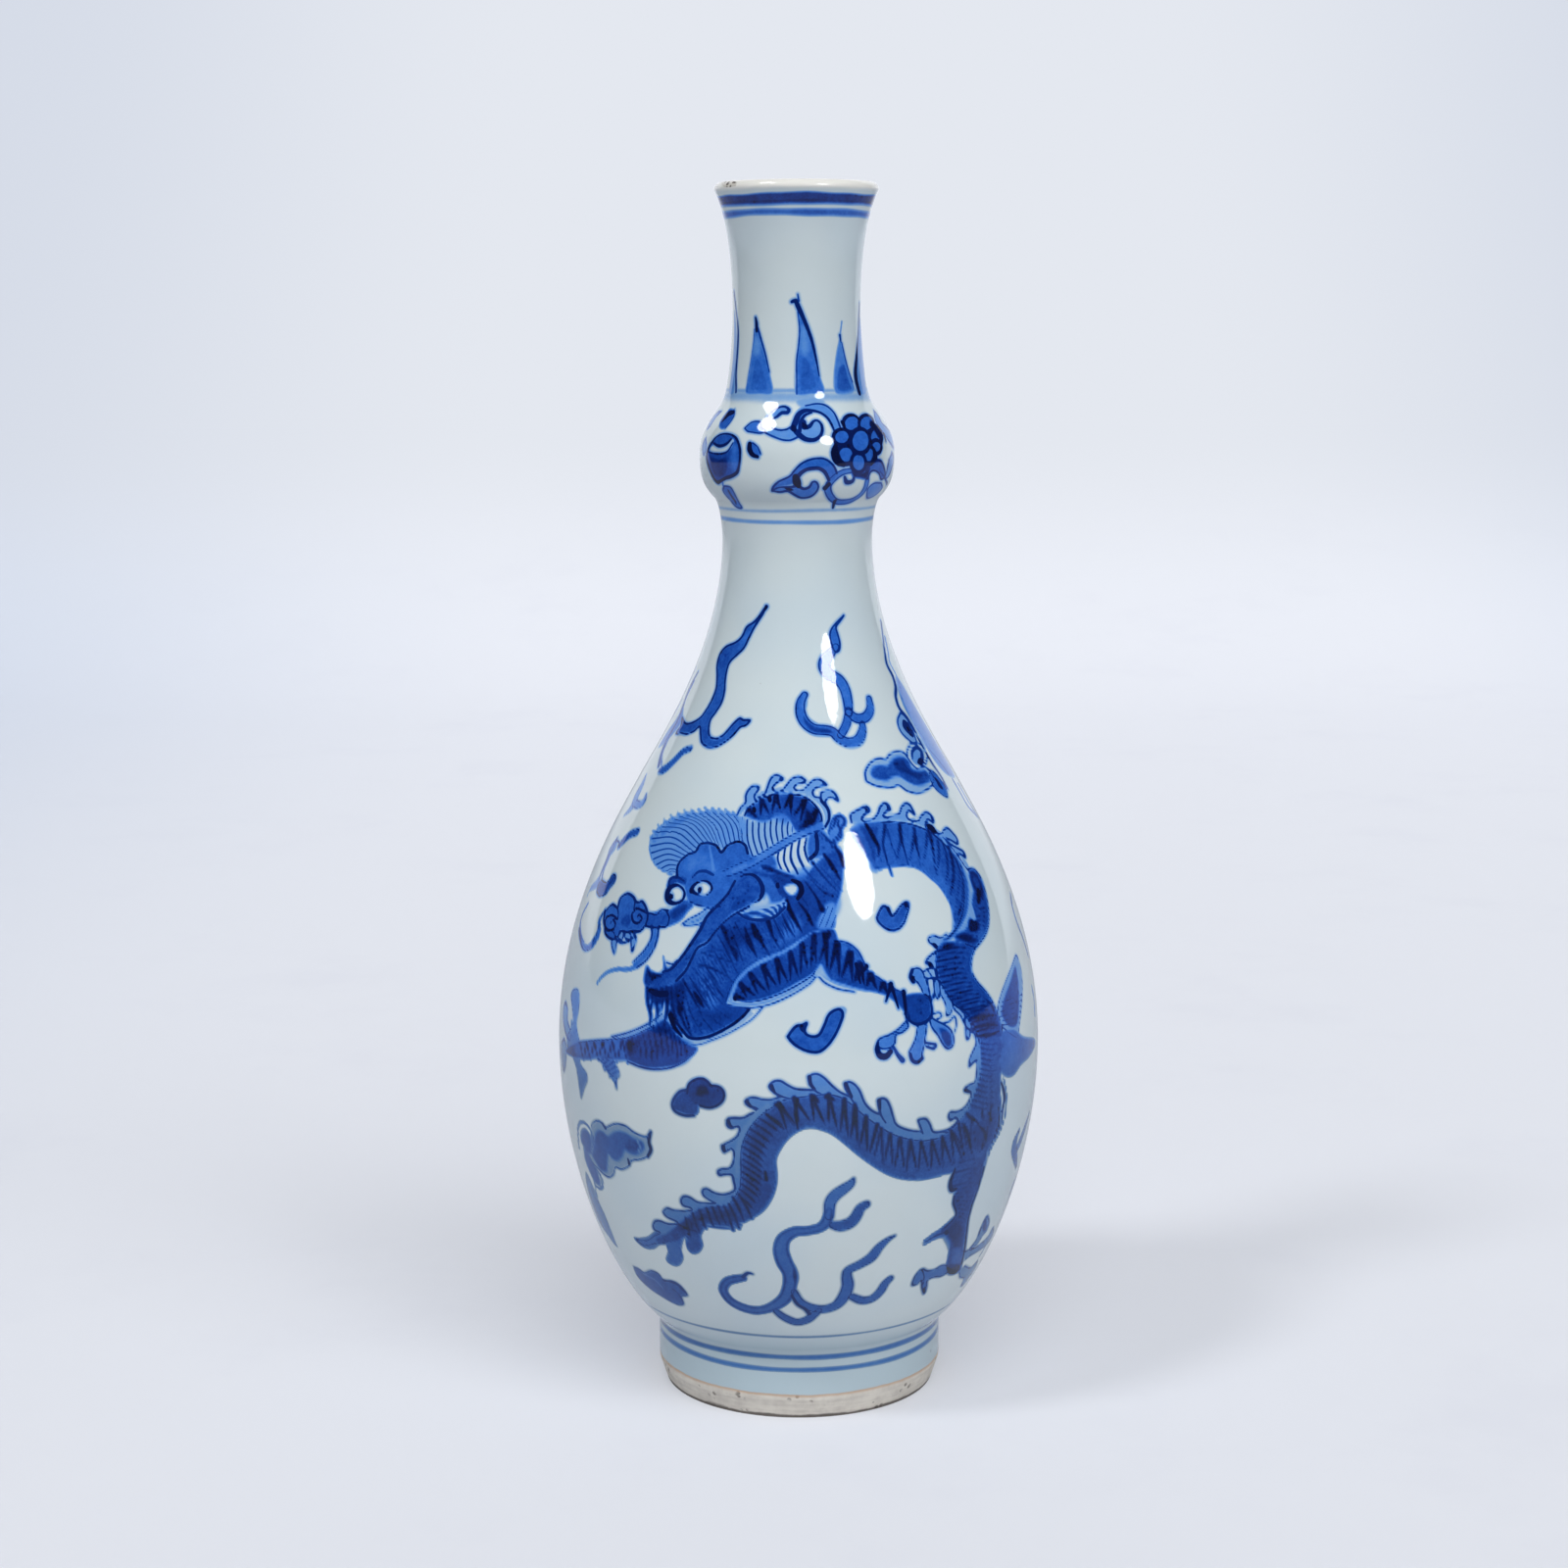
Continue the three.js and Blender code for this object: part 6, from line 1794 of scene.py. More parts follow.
# ---------------------------------------------------------------- turning the sections
# In metres and radians
MERGE_DISTANCE = 0.000002
CREASE = math.radians(40)
# The baking map is so much taller than the outline is long
MAP_ROOM = 1.002


def lone_selection(piece):
    bpy.ops.object.select_all(action="DESELECT")
    piece.select_set(True)
    bpy.context.view_layer.objects.active = piece


def turned(name, outline, columns, crowding=0.0):
    """A closed outline of radius and level, spun round the upright axis into one solid.

    The turn starts at the back. Each point keeps the number of its outline point, and the columns
    are then drawn closer together at the front.
    """
    outline = np.array(outline)
    bpy.ops.object.select_all(action="DESELECT")
    bpy.ops.mesh.primitive_circle_add(vertices=len(outline), calc_uvs=False)
    piece = bpy.context.object
    piece.name = piece.data.name = name
    mesh = piece.data
    places = np.stack([np.zeros(len(outline)), outline[:, 0], outline[:, 1]], 1) * MM
    mesh.vertices.foreach_set("co", places.ravel())
    number = mesh.attributes.new("outline_point", "INT", "POINT")
    number.data.foreach_set("value", np.arange(len(outline)))
    lathe = piece.modifiers.new("lathe", "SCREW")
    lathe.angle, lathe.axis = math.tau, "Z"
    lathe.steps = lathe.render_steps = columns
    lathe.use_merge_vertices, lathe.merge_threshold = True, MERGE_DISTANCE
    bpy.ops.object.modifier_apply(modifier="lathe")
    bpy.ops.object.mode_set(mode="EDIT")
    bpy.ops.mesh.select_all(action="SELECT")
    bpy.ops.mesh.remove_doubles(threshold=MERGE_DISTANCE)
    bpy.ops.mesh.normals_make_consistent(inside=False)
    bpy.ops.object.mode_set(mode="OBJECT")

    count = len(mesh.vertices)
    places = np.empty(count * 3)
    mesh.vertices.foreach_get("co", places)
    places = places.reshape(-1, 3)
    rows = np.empty(count, int)
    mesh.attributes["outline_point"].data.foreach_get("value", rows)
    spun = np.mod(np.arctan2(-places[:, 0], places[:, 1]), math.tau) / math.tau
    column = np.round(spun * columns).astype(int) % columns
    angle = column_angle(column, columns, crowding)
    radius = np.hypot(places[:, 0], places[:, 1])
    places[:, 0], places[:, 1] = radius * np.sin(angle), -radius * np.cos(angle)
    mesh.vertices.foreach_set("co", places.ravel())
    mesh.update()
    unwrap(mesh, outline, rows, column, columns)
    lone_selection(piece)
    bpy.ops.object.shade_smooth_by_angle(angle=CREASE)
    return piece, rows, column


def unwrap(mesh, outline, rows, column, columns):
    """A baking map: the way round runs along u, and the way along the outline up v."""
    closed = np.concatenate([outline, outline[:1]])
    run = np.concatenate([[0], np.cumsum(np.hypot(*np.diff(closed, axis=0).T))])
    corner = np.empty(len(mesh.loops), int)
    mesh.loops.foreach_get("vertex_index", corner)
    starts = np.empty(len(mesh.polygons), int)
    mesh.polygons.foreach_get("loop_start", starts)
    face = np.repeat(np.arange(len(starts)), np.diff(np.append(starts, len(corner))))

    def unbroken(value, period):
        most = np.maximum.reduceat(value, starts)[face]
        return np.where(most - value > period / 2, value + period, value)

    u = unbroken(column[corner].astype(float), columns) / (columns + 1)
    v = unbroken(run[rows[corner]], run[-1]) / (run[-1] * MAP_ROOM)
    layer = mesh.uv_layers.new(name="OFBake")
    layer.data.foreach_set("uv", np.stack([u, v], 1).ravel())


def hold_paint(piece, skin, rows, column):
    """Gives the painted skin's cobalt to the outline points that are its rows."""
    outside = rows < len(skin.climbs)
    row = np.where(outside, rows, 0)
    for name, grid, blank in (("wash", skin.wash, 0.0), ("ink_reach", skin.reach, -skin.FAR),
                             ("ink_tone", skin.ink, 0.0), ("chips", skin.chips, 0.0),
                             ("strand_count", skin.strand_count, 0.0),
                             ("strand_tone", skin.strand_tone, 0.0)):
        layer = piece.data.attributes.new(name, "FLOAT", "POINT")
        layer.data.foreach_set("value", np.where(outside, grid[row, column], blank))


def wall_inside(top, bottom, count):
    """Points down the inside of the wall."""
    levels = np.linspace(top, bottom, count)
    return [(inner_radius(level), level) for level in levels]


def glaze_lip(seam):
    """How far in the glaze that bridges a seam reaches."""
    return outer_radius(seam + SLIP / 2) - GLAZE_LIP


def seam_step(seam, upper):
    """A section's end at a seam: glaze bridges half the slip, the wall stops at its face."""
    face = seam if upper else seam + SLIP
    lip = glaze_lip(seam)
    step = [(lip, seam + SLIP / 2), (lip, face), (inner_radius(face), face)]
    return step if upper else step[::-1]


def thrown_section(node, outline_inside):
    """One section: its painted skin outside, and the given points round its inside."""
    skin = skins[node]
    outline = list(zip(skin.radii, skin.levels)) + outline_inside
    piece, rows, column = turned(node + "_visual", outline, skin.columns, skin.crowding)
    hold_paint(piece, skin, rows, column)
    piece.data.materials.append(finishes["glaze"])
    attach(piece, "root")
    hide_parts(node)


def bowed(start, handle, end, count):
    """Points of a bend between two ends, without the first."""
    start, handle, end = map(np.array, (start, handle, end))
    t = np.linspace(0, 1, count + 1)[1:, None]
    return [tuple(p) for p in (1 - t) ** 2 * start + 2 * (1 - t) * t * handle + t ** 2 * end]


def make_sections():
    """The six thrown sections, each a closed solid."""
    lip, bore, bevel = glaze_lip(FOOT_SEAM), FOOT_BORE, FOOT_INNER_BEVEL
    thrown_section("foot_ring", [
        (lip, FOOT_SEAM + SLIP / 2), (lip, FOOT_SEAM),
        (bore + BORE_ROUND, FOOT_SEAM), (bore, FOOT_SEAM - BORE_ROUND),
        *((bore, level) for level in FOOT_BORE_LEVELS),
        (bore, bevel + BEVEL_ROUND), (bore + BEVEL_CUT, bevel - BEVEL_ROUND),
        (bore + bevel - BEVEL_ROUND, BEVEL_CUT), (bore + bevel + BEVEL_ROUND, 0.0),
        (FOOT_CONTACT_MIDDLE, 0.0),
    ])

    dome = [(0.0, BASE_DOME_LEVEL)] + bowed(
        (0, BASE_DOME_LEVEL), (BASE_DOME_RADIUS / 2, BASE_DOME_LEVEL),
        (BASE_DOME_RADIUS, ROOT_LEVEL), DOME_STEPS)
    well = bowed((inner_radius(WELL_TOP), WELL_TOP), (inner_radius(FLOOR_LEVEL), FLOOR_LEVEL),
                 (0, FLOOR_LEVEL), WELL_STEPS)
    thrown_section("lower_body", seam_step(BELLY_SEAM, True)
                   + wall_inside(BELLY_SEAM, WELL_TOP, WALL_STEPS["lower_body"])[1:] + well + dome
                   + [(lip, ROOT_LEVEL), (lip, FOOT_SEAM + SLIP / 2)])

    for node, low_seam, high_seam in (("upper_body", BELLY_SEAM, NECK_ROOT_SEAM),
                                      ("lower_neck", NECK_ROOT_SEAM, BULB_ROOT_SEAM),
                                      ("garlic_bulb", BULB_ROOT_SEAM, BULB_TOP_SEAM)):
        wall = wall_inside(high_seam, low_seam + SLIP, WALL_STEPS[node])[1:-1]
        thrown_section(node, seam_step(high_seam, True) + wall + seam_step(low_seam, False))

    half = LIP_WALL / 2
    rim = [(LIP_RADIUS - half * (1 - math.cos(a)), LIP_LEVEL + half * math.sin(a))
           for a in np.linspace(math.pi / 2, math.pi, RIM_STEPS)[1:]]
    wall = wall_inside(MOUTH_WALL_TOP, BULB_TOP_SEAM + SLIP, WALL_STEPS["mouth"])[:-1]
    thrown_section("mouth", rim + wall + seam_step(BULB_TOP_SEAM, False))


def make_slip_seams():
    """A ring of slip between each pair of sections, with the bead that it leaves on the inside."""
    for node, seam in (("foot_slip_seam", FOOT_SEAM), ("belly_slip_seam", BELLY_SEAM),
                       ("neck_root_slip_seam", NECK_ROOT_SEAM),
                       ("bulb_root_slip_seam", BULB_ROOT_SEAM),
                       ("bulb_top_slip_seam", BULB_TOP_SEAM)):
        inside = FOOT_BORE if seam == FOOT_SEAM else inner_radius(seam + SLIP / 2)
        bead = [(inside - SLIP_BEAD * math.sin(a), seam + SLIP / 2 * (1 + math.cos(a)))
                for a in np.linspace(0, math.pi, BEAD_STEPS)]
        outside = [(glaze_lip(seam), seam), (glaze_lip(seam), seam + SLIP)]
        ring, _, _ = turned(node + "_visual", outside + bead, SLIP_COLUMNS)
        ring.data.materials.append(finishes["slip"])
        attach(ring, "root")
        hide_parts(node)


# ---------------------------------------------------------------- finishes
def shade(red, green, blue):
    """A colour as it is seen on a screen, 0 to 255, as the shader wants it."""
    return tuple((c / 12.92 if c <= 0.04045 else ((c + 0.055) / 1.055) ** 2.4)
                 for c in (red / 255, green / 255, blue / 255)) + (1.0,)


class Signal:
    """A socket that can be reckoned with as if it were a number."""

    def __init__(self, sheet, socket):
        self.sheet, self.socket = sheet, socket

    def math(self, operation, first, second, clamp=False):
        return self.sheet.math(operation, first, second, clamp)

    def __add__(self, other): return self.math("ADD", self, other)
    def __radd__(self, other): return self.math("ADD", other, self)
    def __sub__(self, other): return self.math("SUBTRACT", self, other)
    def __rsub__(self, other): return self.math("SUBTRACT", other, self)
    def __mul__(self, other): return self.math("MULTIPLY", self, other)
    def __rmul__(self, other): return self.math("MULTIPLY", other, self)
    def highest(self, other): return self.math("MAXIMUM", self, other)
    def held(self): return self.math("ADD", self, 0.0, clamp=True)

    def step(self, low, high):
        """0 below low, 1 above high, and smooth between; a low above the high turns it round."""
        return self.sheet.node("ShaderNodeMapRange", {"interpolation_type": "SMOOTHSTEP"},
                               {"Value": self, "From Min": low, "From Max": high})


class Sheet:
    """The sheet of nodes of a material or of the world."""

    def __init__(self, owner):
        owner.use_nodes = True
        self.owner, self.tree = owner, owner.node_tree
        self.tree.nodes.clear()

    def node(self, kind, settings=None, inputs=None, output=0):
        """One node with its settings and inputs; gives one of its outputs."""
        made = self.tree.nodes.new(kind)
        for key, value in (settings or {}).items():
            if key == "stops":
                ramp = made.color_ramp
                while len(ramp.elements) < len(value):
                    ramp.elements.new(0.5)
                for element, (place, colour) in zip(ramp.elements, value):
                    element.position, element.color = place, colour
            else:
                setattr(made, key, value)
        for key, value in (inputs or {}).items():
            if isinstance(value, Signal):
                self.tree.links.new(value.socket, made.inputs[key])
            else:
                made.inputs[key].default_value = value
        return None if output is None else Signal(self, made.outputs[output])

    def math(self, operation, first, second=0.0, clamp=False):
        return self.node("ShaderNodeMath", {"operation": operation, "use_clamp": clamp},
                         {0: first, 1: second})

    def held(self, name):
        return self.node("ShaderNodeAttribute", {"attribute_name": name}, output="Fac")

    def place(self):
        return self.node("ShaderNodeTexCoord", output="Object")

    def part(self, place, axis):
        return self.node("ShaderNodeSeparateXYZ", {}, {0: place}, output=axis)

    def stretched(self, place, factors):
        return self.node("ShaderNodeVectorMath", {"operation": "MULTIPLY"}, {0: place, 1: factors})

    def noise(self, place, scale, detail, roughness=0.55):
        return self.node("ShaderNodeTexNoise", {}, {"Vector": place, "Scale": scale,
                                                    "Detail": detail, "Roughness": roughness})

    def specks(self, place, scale):
        """How far each point lies from the nearest of many scattered points."""
        return self.node("ShaderNodeTexVoronoi", {"feature": "F1"},
                         {"Vector": place, "Scale": scale}, output="Distance")

    def blend(self, share, first, second):
        return self.node("ShaderNodeMix", {"data_type": "RGBA"}, {0: share, 6: first, 7: second},
                         output=2)

    def bump(self, height, strength, distance):
        return self.node("ShaderNodeBump", {}, {"Strength": strength, "Distance": distance,
                                                "Height": height}, output="Normal")

    def ray(self, kind):
        return self.node("ShaderNodeLightPath", output=kind)

    def mixed(self, share, first, second):
        return self.node("ShaderNodeMixShader", {}, {0: share, 1: first, 2: second})

    def surface(self, colour, roughness, normal, **fixed):
        """The finished surface, and the material that holds it."""
        return self.finish(self.node("ShaderNodeBsdfPrincipled", {}, {
            "Base Color": colour, "Roughness": roughness, **fixed, "Normal": normal}))

    def finish(self, shader, output="ShaderNodeOutputMaterial"):
        self.node(output, {}, {"Surface": shader}, output=None)
        return self.owner


GLAZE = shade(186, 200, 207)
GLAZE_WARM = shade(194, 205, 208)
# glaze pooled thick above the foot, darkened further as painted shade under the belly
GLAZE_POOLED_AND_SHADED = shade(157, 176, 186)
# painted shade for the cobalt on the lower, downward-facing half of the belly
COBALT_SHADED = shade(36, 50, 52)
CHIPPED = shade(198, 194, 186)
# The cobalt's colour by its depth
COBALT = [
    (0.00, shade(150, 177, 200)),
    (0.18, shade(110, 152, 202)),
    (0.32, shade(77, 131, 203)),
    (0.48, shade(40, 97, 188)),
    (0.62, shade(15, 62, 150)),
    (0.78, shade(5, 38, 113)),
    (0.90, shade(3, 23, 82)),
    (1.00, shade(4, 13, 53)),
]
BISCUIT = shade(208, 203, 193)
BISCUIT_GREY = shade(186, 180, 172)
BISCUIT_BURNT = shade(176, 146, 120)
# painted shadow: the dark line where the foot's outer edge meets the floor
FOOT_CONTACT_SHADOW = shade(62, 54, 50)
IRON_SPOT = shade(92, 84, 78)
LIP_CREAM = shade(226, 223, 216)
SLIP_CLAY = shade(207, 202, 191)
SLIP_CLAY_DARK = shade(190, 184, 172)

# Levels and radii in metres between which something fades in, from none to full
# painted shade on the lower belly's cobalt: the levels over which it fades in
COBALT_SHADE_LEVELS = (0.090, 0.074)
# glaze pooled above the foot together with painted shade under the belly: the levels over which it
# fades in
GLAZE_POOLS_AND_SHADE = (0.026, 0.0145)
GLAZE_THINS = (0.2676, 0.2686)
# painted contact shadow round the foot: the levels and radii over which it fades in
CONTACT_SHADOW_LEVELS = (0.0010, 0.0005)
CONTACT_SHADOW_RADII = (0.0296, 0.0305)
# The glaze's edge on the foot, how sharp it is, and its burnt line
GLAZE_EDGE = 5.9 * MM
GLAZE_EDGE_BLUR = 0.00008
BURNT_ABOVE, BURNT_BELOW, BURNT_CORE = 0.0002, 0.0008, 0.0001
# Scales of the noise, in waves per metre
GRAIN, STREAKS, CLAY_GRAIN, SPOT_GROUPS = 1900.0, 620.0, 420.0, 260.0
GRIT_GROUPS, POOLS, SPECK_GROUPS, CLOUDING = 150.0, 95.0, 60.0, 24.0
RIPPLE = 70.0
# Scattered points to the metre: burnt spots, chip grit, foot grit and iron specks
SPOTS, CHIP_GRIT, FOOT_GRIT, SPECKS = 900.0, 700.0, 520.0, 95.0
THROWING_LINES = (0.16, 0.16, 2.4)
SLIP_GRAIN, SLIP_PATCHES = 1500.0, 180.0
GLAZE_IOR = 1.5
# Bare clay is rougher than the glaze by so much
GLAZE_ROUGHNESS, BARE_ROUGHNESS, SLIP_ROUGHNESS = 0.05, 0.75, 0.62


def cobalt_depth(sheet, place, fine, streak, broad):
    """How deep the cobalt lies at each point, from the paint that the mesh holds."""
    # brush marks: the washes are uneven, and the ink lines have a wavering edge
    wash, reach, ink = sheet.held("wash"), sheet.held("ink_reach"), sheet.held("ink_tone")
    uneven = (streak - 0.5) * 0.30 + (broad - 0.5) * 0.34 + (fine - 0.5) * 0.26
    wash = wash * (1.0 + uneven)
    line = (reach + (streak - 0.5) * 0.14 + (fine - 0.5) * 0.06).step(-0.15, 0.15)
    line = line * ink * (1.0 + (broad - 0.5) * 0.16)
    depth = wash.highest(line)
    strand = sheet.math("FRACT", sheet.held("strand_count") + (streak - 0.5) * 0.12)
    strand = (sheet.math("ABSOLUTE", strand - 0.5) * 2.0).step(0.42, 0.92)
    depth = depth.highest(strand * sheet.held("strand_tone"))
    bleed = reach.step(-0.8, 0.0) * ink * 0.17
    depth = depth.highest(bleed)

    # where the cobalt lies thick it has burnt through in dark spots
    spots = sheet.specks(place, SPOTS)
    heaped = ((0.42 - spots).step(0.0, 0.2) * depth.step(0.5, 0.8)
              * sheet.noise(place, SPOT_GROUPS, 1.0).step(0.5, 0.68))
    return (depth + heaped * 0.22).held()


def bare_foot(sheet, place, height, streak, broad):
    """Biscuit clay with throwing lines and grit, and a painted shadow round its contact ring."""
    thrown = sheet.noise(sheet.stretched(place, THROWING_LINES), CLAY_GRAIN, 3.0)
    clay = (sheet.noise(place, CLAY_GRAIN, 4.0) * 0.5 + thrown * 0.5).step(0.35, 0.68)
    clay = sheet.blend(clay, BISCUIT, BISCUIT_GREY)
    grit = sheet.specks(place, FOOT_GRIT).step(0.34, 0.2)
    grit = (grit * sheet.noise(place, GRIT_GROUPS, 2.0).step(0.52, 0.62)
            + thrown.step(0.66, 0.72) * 0.5)
    clay = sheet.blend((grit * 0.75).held(), clay, IRON_SPOT)
    # painted shadow, darkest at the foot's lowest outer edge where it meets the floor
    contact_shadow = height + (broad - 0.5) * 0.0009 + (streak - 0.5) * 0.0004
    flat = sheet.stretched(place, (1.0, 1.0, 0.0))
    across = sheet.node("ShaderNodeVectorMath", {"operation": "LENGTH"}, {0: flat}, output="Value")
    return sheet.blend(contact_shadow.step(*CONTACT_SHADOW_LEVELS) * across.step(*CONTACT_SHADOW_RADII) * 0.85, clay, FOOT_CONTACT_SHADOW)


def glazed_porcelain():
    """Clear bluish glaze over cobalt, drawn in at the lip and wiped off the foot."""
    sheet = Sheet(bpy.data.materials.new("glazed_porcelain"))
    place = sheet.place()
    height = sheet.part(place, "Z")
    fine = sheet.noise(place, GRAIN, 3.0)
    streak = sheet.noise(place, STREAKS, 4.0)
    broad = sheet.noise(place, POOLS, 2.0)
    cloudy = sheet.noise(place, CLOUDING, 2.0)

    depth = cobalt_depth(sheet, place, fine, streak, broad)
    cobalt = sheet.node("ShaderNodeValToRGB", {"stops": COBALT}, {0: depth}, output="Color")
    # painted shade: the cobalt greyed and darkened on the lower, downward-facing half of the belly
    cobalt = sheet.blend(height.step(*COBALT_SHADE_LEVELS) * 0.40, cobalt, COBALT_SHADED)
    glaze = sheet.blend(cloudy.step(0.35, 0.65), GLAZE, GLAZE_WARM)
    # darker and bluer above the foot: partly pooled glaze, partly painted shade under the belly's
    # overhang
    glaze = sheet.blend(height.step(*GLAZE_POOLS_AND_SHADE) * 0.78, glaze, GLAZE_POOLED_AND_SHADED)

    # iron specks scattered through the glaze
    speck = sheet.specks(place, SPECKS)
    chance = sheet.noise(place, SPECK_GROUPS, 0.0).step(0.60, 0.64)
    glaze = sheet.blend((speck.step(0.045, 0.028) * chance * 0.35).held(), glaze, IRON_SPOT)
    colour = sheet.blend(depth.step(0.0, 0.15), glaze, cobalt)

    # the lip: the glaze has run thin and warm
    lip = (height + (broad - 0.5) * 0.0006).step(*GLAZE_THINS)
    colour = sheet.blend(lip * 0.85, colour, LIP_CREAM)

    chips = sheet.held("chips").step(0.35, 0.65)
    grit = sheet.specks(place, CHIP_GRIT)
    colour = sheet.blend(chips, colour, sheet.blend(grit.step(0.42, 0.3), CHIPPED, IRON_SPOT))

    # the foot: biscuit below an uneven glaze edge with a burnt line
    edge = height + (broad - 0.5) * 0.0007 + (streak - 0.5) * 0.0002
    bare = edge.step(GLAZE_EDGE + GLAZE_EDGE_BLUR, GLAZE_EDGE - GLAZE_EDGE_BLUR)
    burnt = (edge.step(GLAZE_EDGE + BURNT_ABOVE, GLAZE_EDGE)
             * edge.step(GLAZE_EDGE - BURNT_BELOW, GLAZE_EDGE - BURNT_CORE))
    colour = sheet.blend(bare, colour, bare_foot(sheet, place, height, streak, broad))
    colour = sheet.blend((burnt * 0.75).held(), colour, BISCUIT_BURNT)

    ripple = (sheet.noise(place, RIPPLE, 2.0) * 0.6 + sheet.noise(place, CLAY_GRAIN, 2.0) * 0.25
              + fine * 0.05 * bare)
    bump = sheet.bump(ripple, 0.05, 0.0012)
    return sheet.surface(colour, GLAZE_ROUGHNESS + bare * BARE_ROUGHNESS, bump, IOR=GLAZE_IOR)


def luting_slip():
    """Dried slip, dull and slightly grainy."""
    sheet = Sheet(bpy.data.materials.new("luting_slip"))
    place = sheet.place()
    grain = sheet.noise(place, SLIP_GRAIN, 4.0)
    colour = sheet.blend(sheet.noise(place, SLIP_PATCHES, 3.0), SLIP_CLAY, SLIP_CLAY_DARK)
    bump = sheet.bump(grain, 0.3, 0.0002)
    return sheet.surface(colour, SLIP_ROUGHNESS + grain * 0.2, bump)


# ---------------------------------------------------------------- stage, lamps and camera
FLOOR = shade(218, 220, 227)
FLOOR_SMUDGED = shade(211, 213, 222)
# painted shade: the floor darker towards its sides
FLOOR_SIDE_SHADE = shade(196, 203, 216)
BACKDROP = shade(228, 232, 240)
# painted shade: the upright paper darker towards its sides
BACKDROP_SIDE_SHADE = shade(214, 220, 232)
# What the glaze mirrors of the table and of the paper above it
TABLE_MIRRORED = shade(176, 181, 192)
BACKDROP_MIRRORED = tuple(1.28 * share for share in BACKDROP)
# The share of the floor's brightness that is its own
GLOW = 0.31
# The paper, in metres: its near edge, where it starts to rise, where it is upright, its top edge
# and its half width
PAPER_FRONT, PAPER_BEND, PAPER_BACK, PAPER_TOP, PAPER_HALF = -1.06, 1.1, 2.0, 2.4, 2.1
PAPER_STEPS = 25
# The room's light on the vase and in its gloss: colour and strength
ROOM = ((0.93, 0.97, 1.0, 1.0), 0.17)
ROOM_MIRRORED = ((0.90, 0.95, 1.0, 1.0), 0.05)
VASE_MIDDLE = 0.15
SUN_DISTANCE = 1.3
CLIP_START = 0.02
# Name, azimuth, elevation, strength and softness, the angles in degrees
SOFT_LIGHTS = [
    ("key_light", 14, 49, 1.92, 50),
    ("right_light", 48, 33, 0.68, 28),
    ("left_light", -54, 51, 1.01, 11),
]
# Name, azimuth, elevation, distance, width, height and watts
BRIGHT_WINDOWS = [
    ("right_window", 38.2, 33.4, 0.94, 0.23, 0.28, 3.0),
    ("left_window", -54, 55, 1.3, 0.42, 0.38, 7.5),
]


def backdrop_finish():
    """Pale paper. It is lit and takes the vase's shadow, with part of its brightness its own."""
    sheet = Sheet(bpy.data.materials.new("pale_paper"))
    place = sheet.place()
    smudge = sheet.noise(place, 9.0, 5.0, 0.65).step(0.5, 0.75)
    across, height = sheet.part(place, "X"), sheet.part(place, "Z")
    camera, glossy, through = [sheet.ray(kind) for kind in (
        "Is Camera Ray", "Is Glossy Ray", "Is Transmission Ray")]
    upright = height.step(0.0, 0.16)
    # painted shade: floor and paper fall darker towards the sides
    side = sheet.math("ABSOLUTE", across - 0.05 - (1.0 - upright) * 0.08).step(0.25, 0.75)
    floor = sheet.blend((smudge * 0.6).held(), FLOOR, FLOOR_SMUDGED)
    lit = sheet.node("ShaderNodeBsdfDiffuse", {}, {"Color": sheet.blend(side, floor, FLOOR_SIDE_SHADE)})
    paper = sheet.blend(side, BACKDROP, BACKDROP_SIDE_SHADE)
    paper = sheet.blend(glossy, paper, BACKDROP_MIRRORED)
    paper = sheet.blend(glossy * (1.0 - upright), paper, TABLE_MIRRORED)
    bright = sheet.node("ShaderNodeEmission", {}, {"Color": paper})
    share = camera * (GLOW + (1.0 - GLOW) * upright) + glossy + through
    return sheet.finish(sheet.mixed(share.held(), lit, bright))


def make_backdrop():
    """A sheet of pale paper: a table top that sweeps up behind the vase."""
    radius = PAPER_BACK - PAPER_BEND
    line = [(PAPER_FRONT, 0.0), (0.0, 0.0), (PAPER_BEND, 0.0)]
    line += [(PAPER_BEND + radius * math.sin(a), radius * (1 - math.cos(a)))
             for a in np.linspace(0, math.pi / 2, PAPER_STEPS)[1:]]
    line += [(PAPER_BACK, PAPER_TOP)]
    mesh = bpy.data.meshes.new("backdrop")
    places = [(side * PAPER_HALF, y, z) for y, z in line for side in (-1, 1)]
    faces = [(2 * i, 2 * i + 1, 2 * i + 3, 2 * i + 2) for i in range(len(line) - 1)]
    mesh.from_pydata(places, [], faces)
    backdrop = bpy.data.objects.new("backdrop", mesh)
    bpy.context.collection.objects.link(backdrop)
    mesh.materials.append(backdrop_finish())
    lone_selection(backdrop)
    bpy.ops.object.shade_smooth()


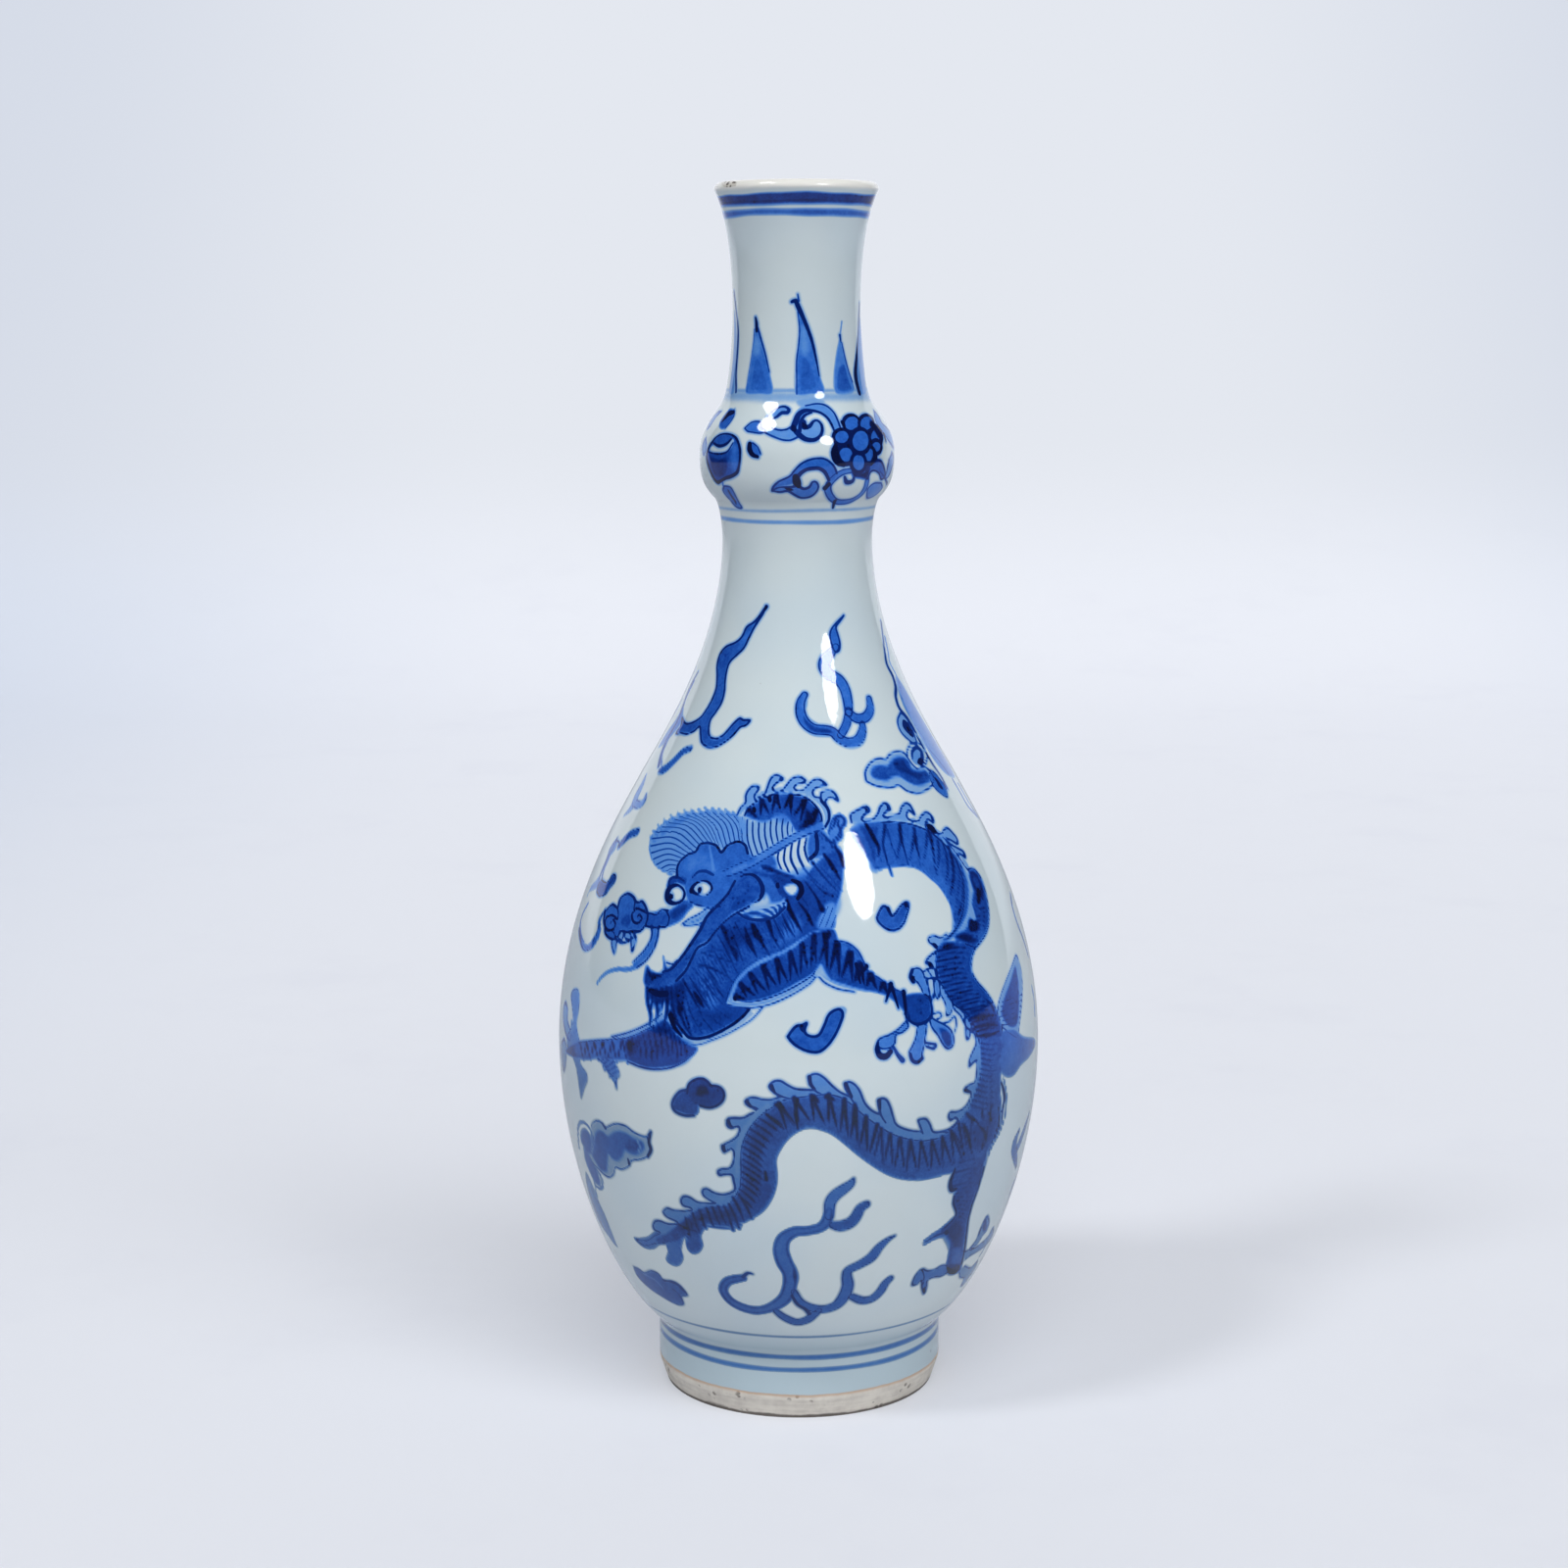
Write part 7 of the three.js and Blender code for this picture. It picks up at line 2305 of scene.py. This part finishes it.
def lamp(name, kind, azimuth, elevation, distance, strength):
    """A lamp that faces the vase's middle from a direction; azimuth 0 is the camera's side."""
    light = bpy.data.lights.new(name, kind)
    light.energy = strength
    made = bpy.data.objects.new(name, light)
    bpy.context.collection.objects.link(made)
    a, e = math.radians(azimuth), math.radians(elevation)
    target = Vector((0, 0, VASE_MIDDLE))
    place = Vector((distance * math.cos(e) * math.sin(a), -distance * math.cos(e) * math.cos(a),
                    VASE_MIDDLE + distance * math.sin(e)))
    facing = (place - target).to_track_quat("Z", "Y").to_matrix().to_4x4()
    made.matrix_world = Matrix.Translation(place) @ facing
    return made, light


def make_lights():
    """Even light that the glaze doesn't mirror, small bright windows that only its gloss shows."""
    for name, azimuth, elevation, strength, softness in SOFT_LIGHTS:
        made, light = lamp(name, "SUN", azimuth, elevation, SUN_DISTANCE, strength)
        light.angle = math.radians(softness)
        made.visible_glossy = False
    for name, azimuth, elevation, distance, width, height, watts in BRIGHT_WINDOWS:
        made, light = lamp(name, "AREA", azimuth, elevation, distance, watts)
        light.shape, light.size, light.size_y = "ELLIPSE", width, height
        made.visible_diffuse = False


def make_world():
    """A pale room: the paper's colour to the camera, dim in the gloss, a soft light elsewhere."""
    sheet = Sheet(bpy.data.worlds.new("pale_room"))
    room, mirrored, paper = [
        sheet.node("ShaderNodeBackground", {}, {"Color": colour, "Strength": strength})
        for colour, strength in (ROOM, ROOM_MIRRORED, (BACKDROP, 1.0))]
    lit = sheet.mixed(sheet.ray("Is Glossy Ray"), room, mirrored)
    seen = sheet.mixed(sheet.ray("Is Camera Ray"), lit, paper)
    bpy.context.scene.world = sheet.finish(seen, "ShaderNodeOutputWorld")


def make_camera():
    """The photograph's camera, as fitted to its outline and rings."""
    data = bpy.data.cameras.new("camera")
    data.lens, data.sensor_width, data.clip_start = LENS, SENSOR, CLIP_START
    camera = bpy.data.objects.new("camera", data)
    bpy.context.collection.objects.link(camera)
    camera.matrix_world = (Matrix.Translation([c * MM for c in CAMERA_PLACE])
                           @ Matrix.Rotation(math.pi / 2 - CAMERA_PITCH, 4, "X")
                           @ Matrix.Rotation(CAMERA_ROLL, 4, "Z"))
    bpy.context.scene.camera = camera


make_camera()
finishes = {"glaze": glazed_porcelain(), "slip": luting_slip()}
skins = painted_skins()
make_sections()
make_slip_seams()
make_backdrop()
make_lights()
make_world()
bpy.context.scene.view_settings.view_transform = "Standard"
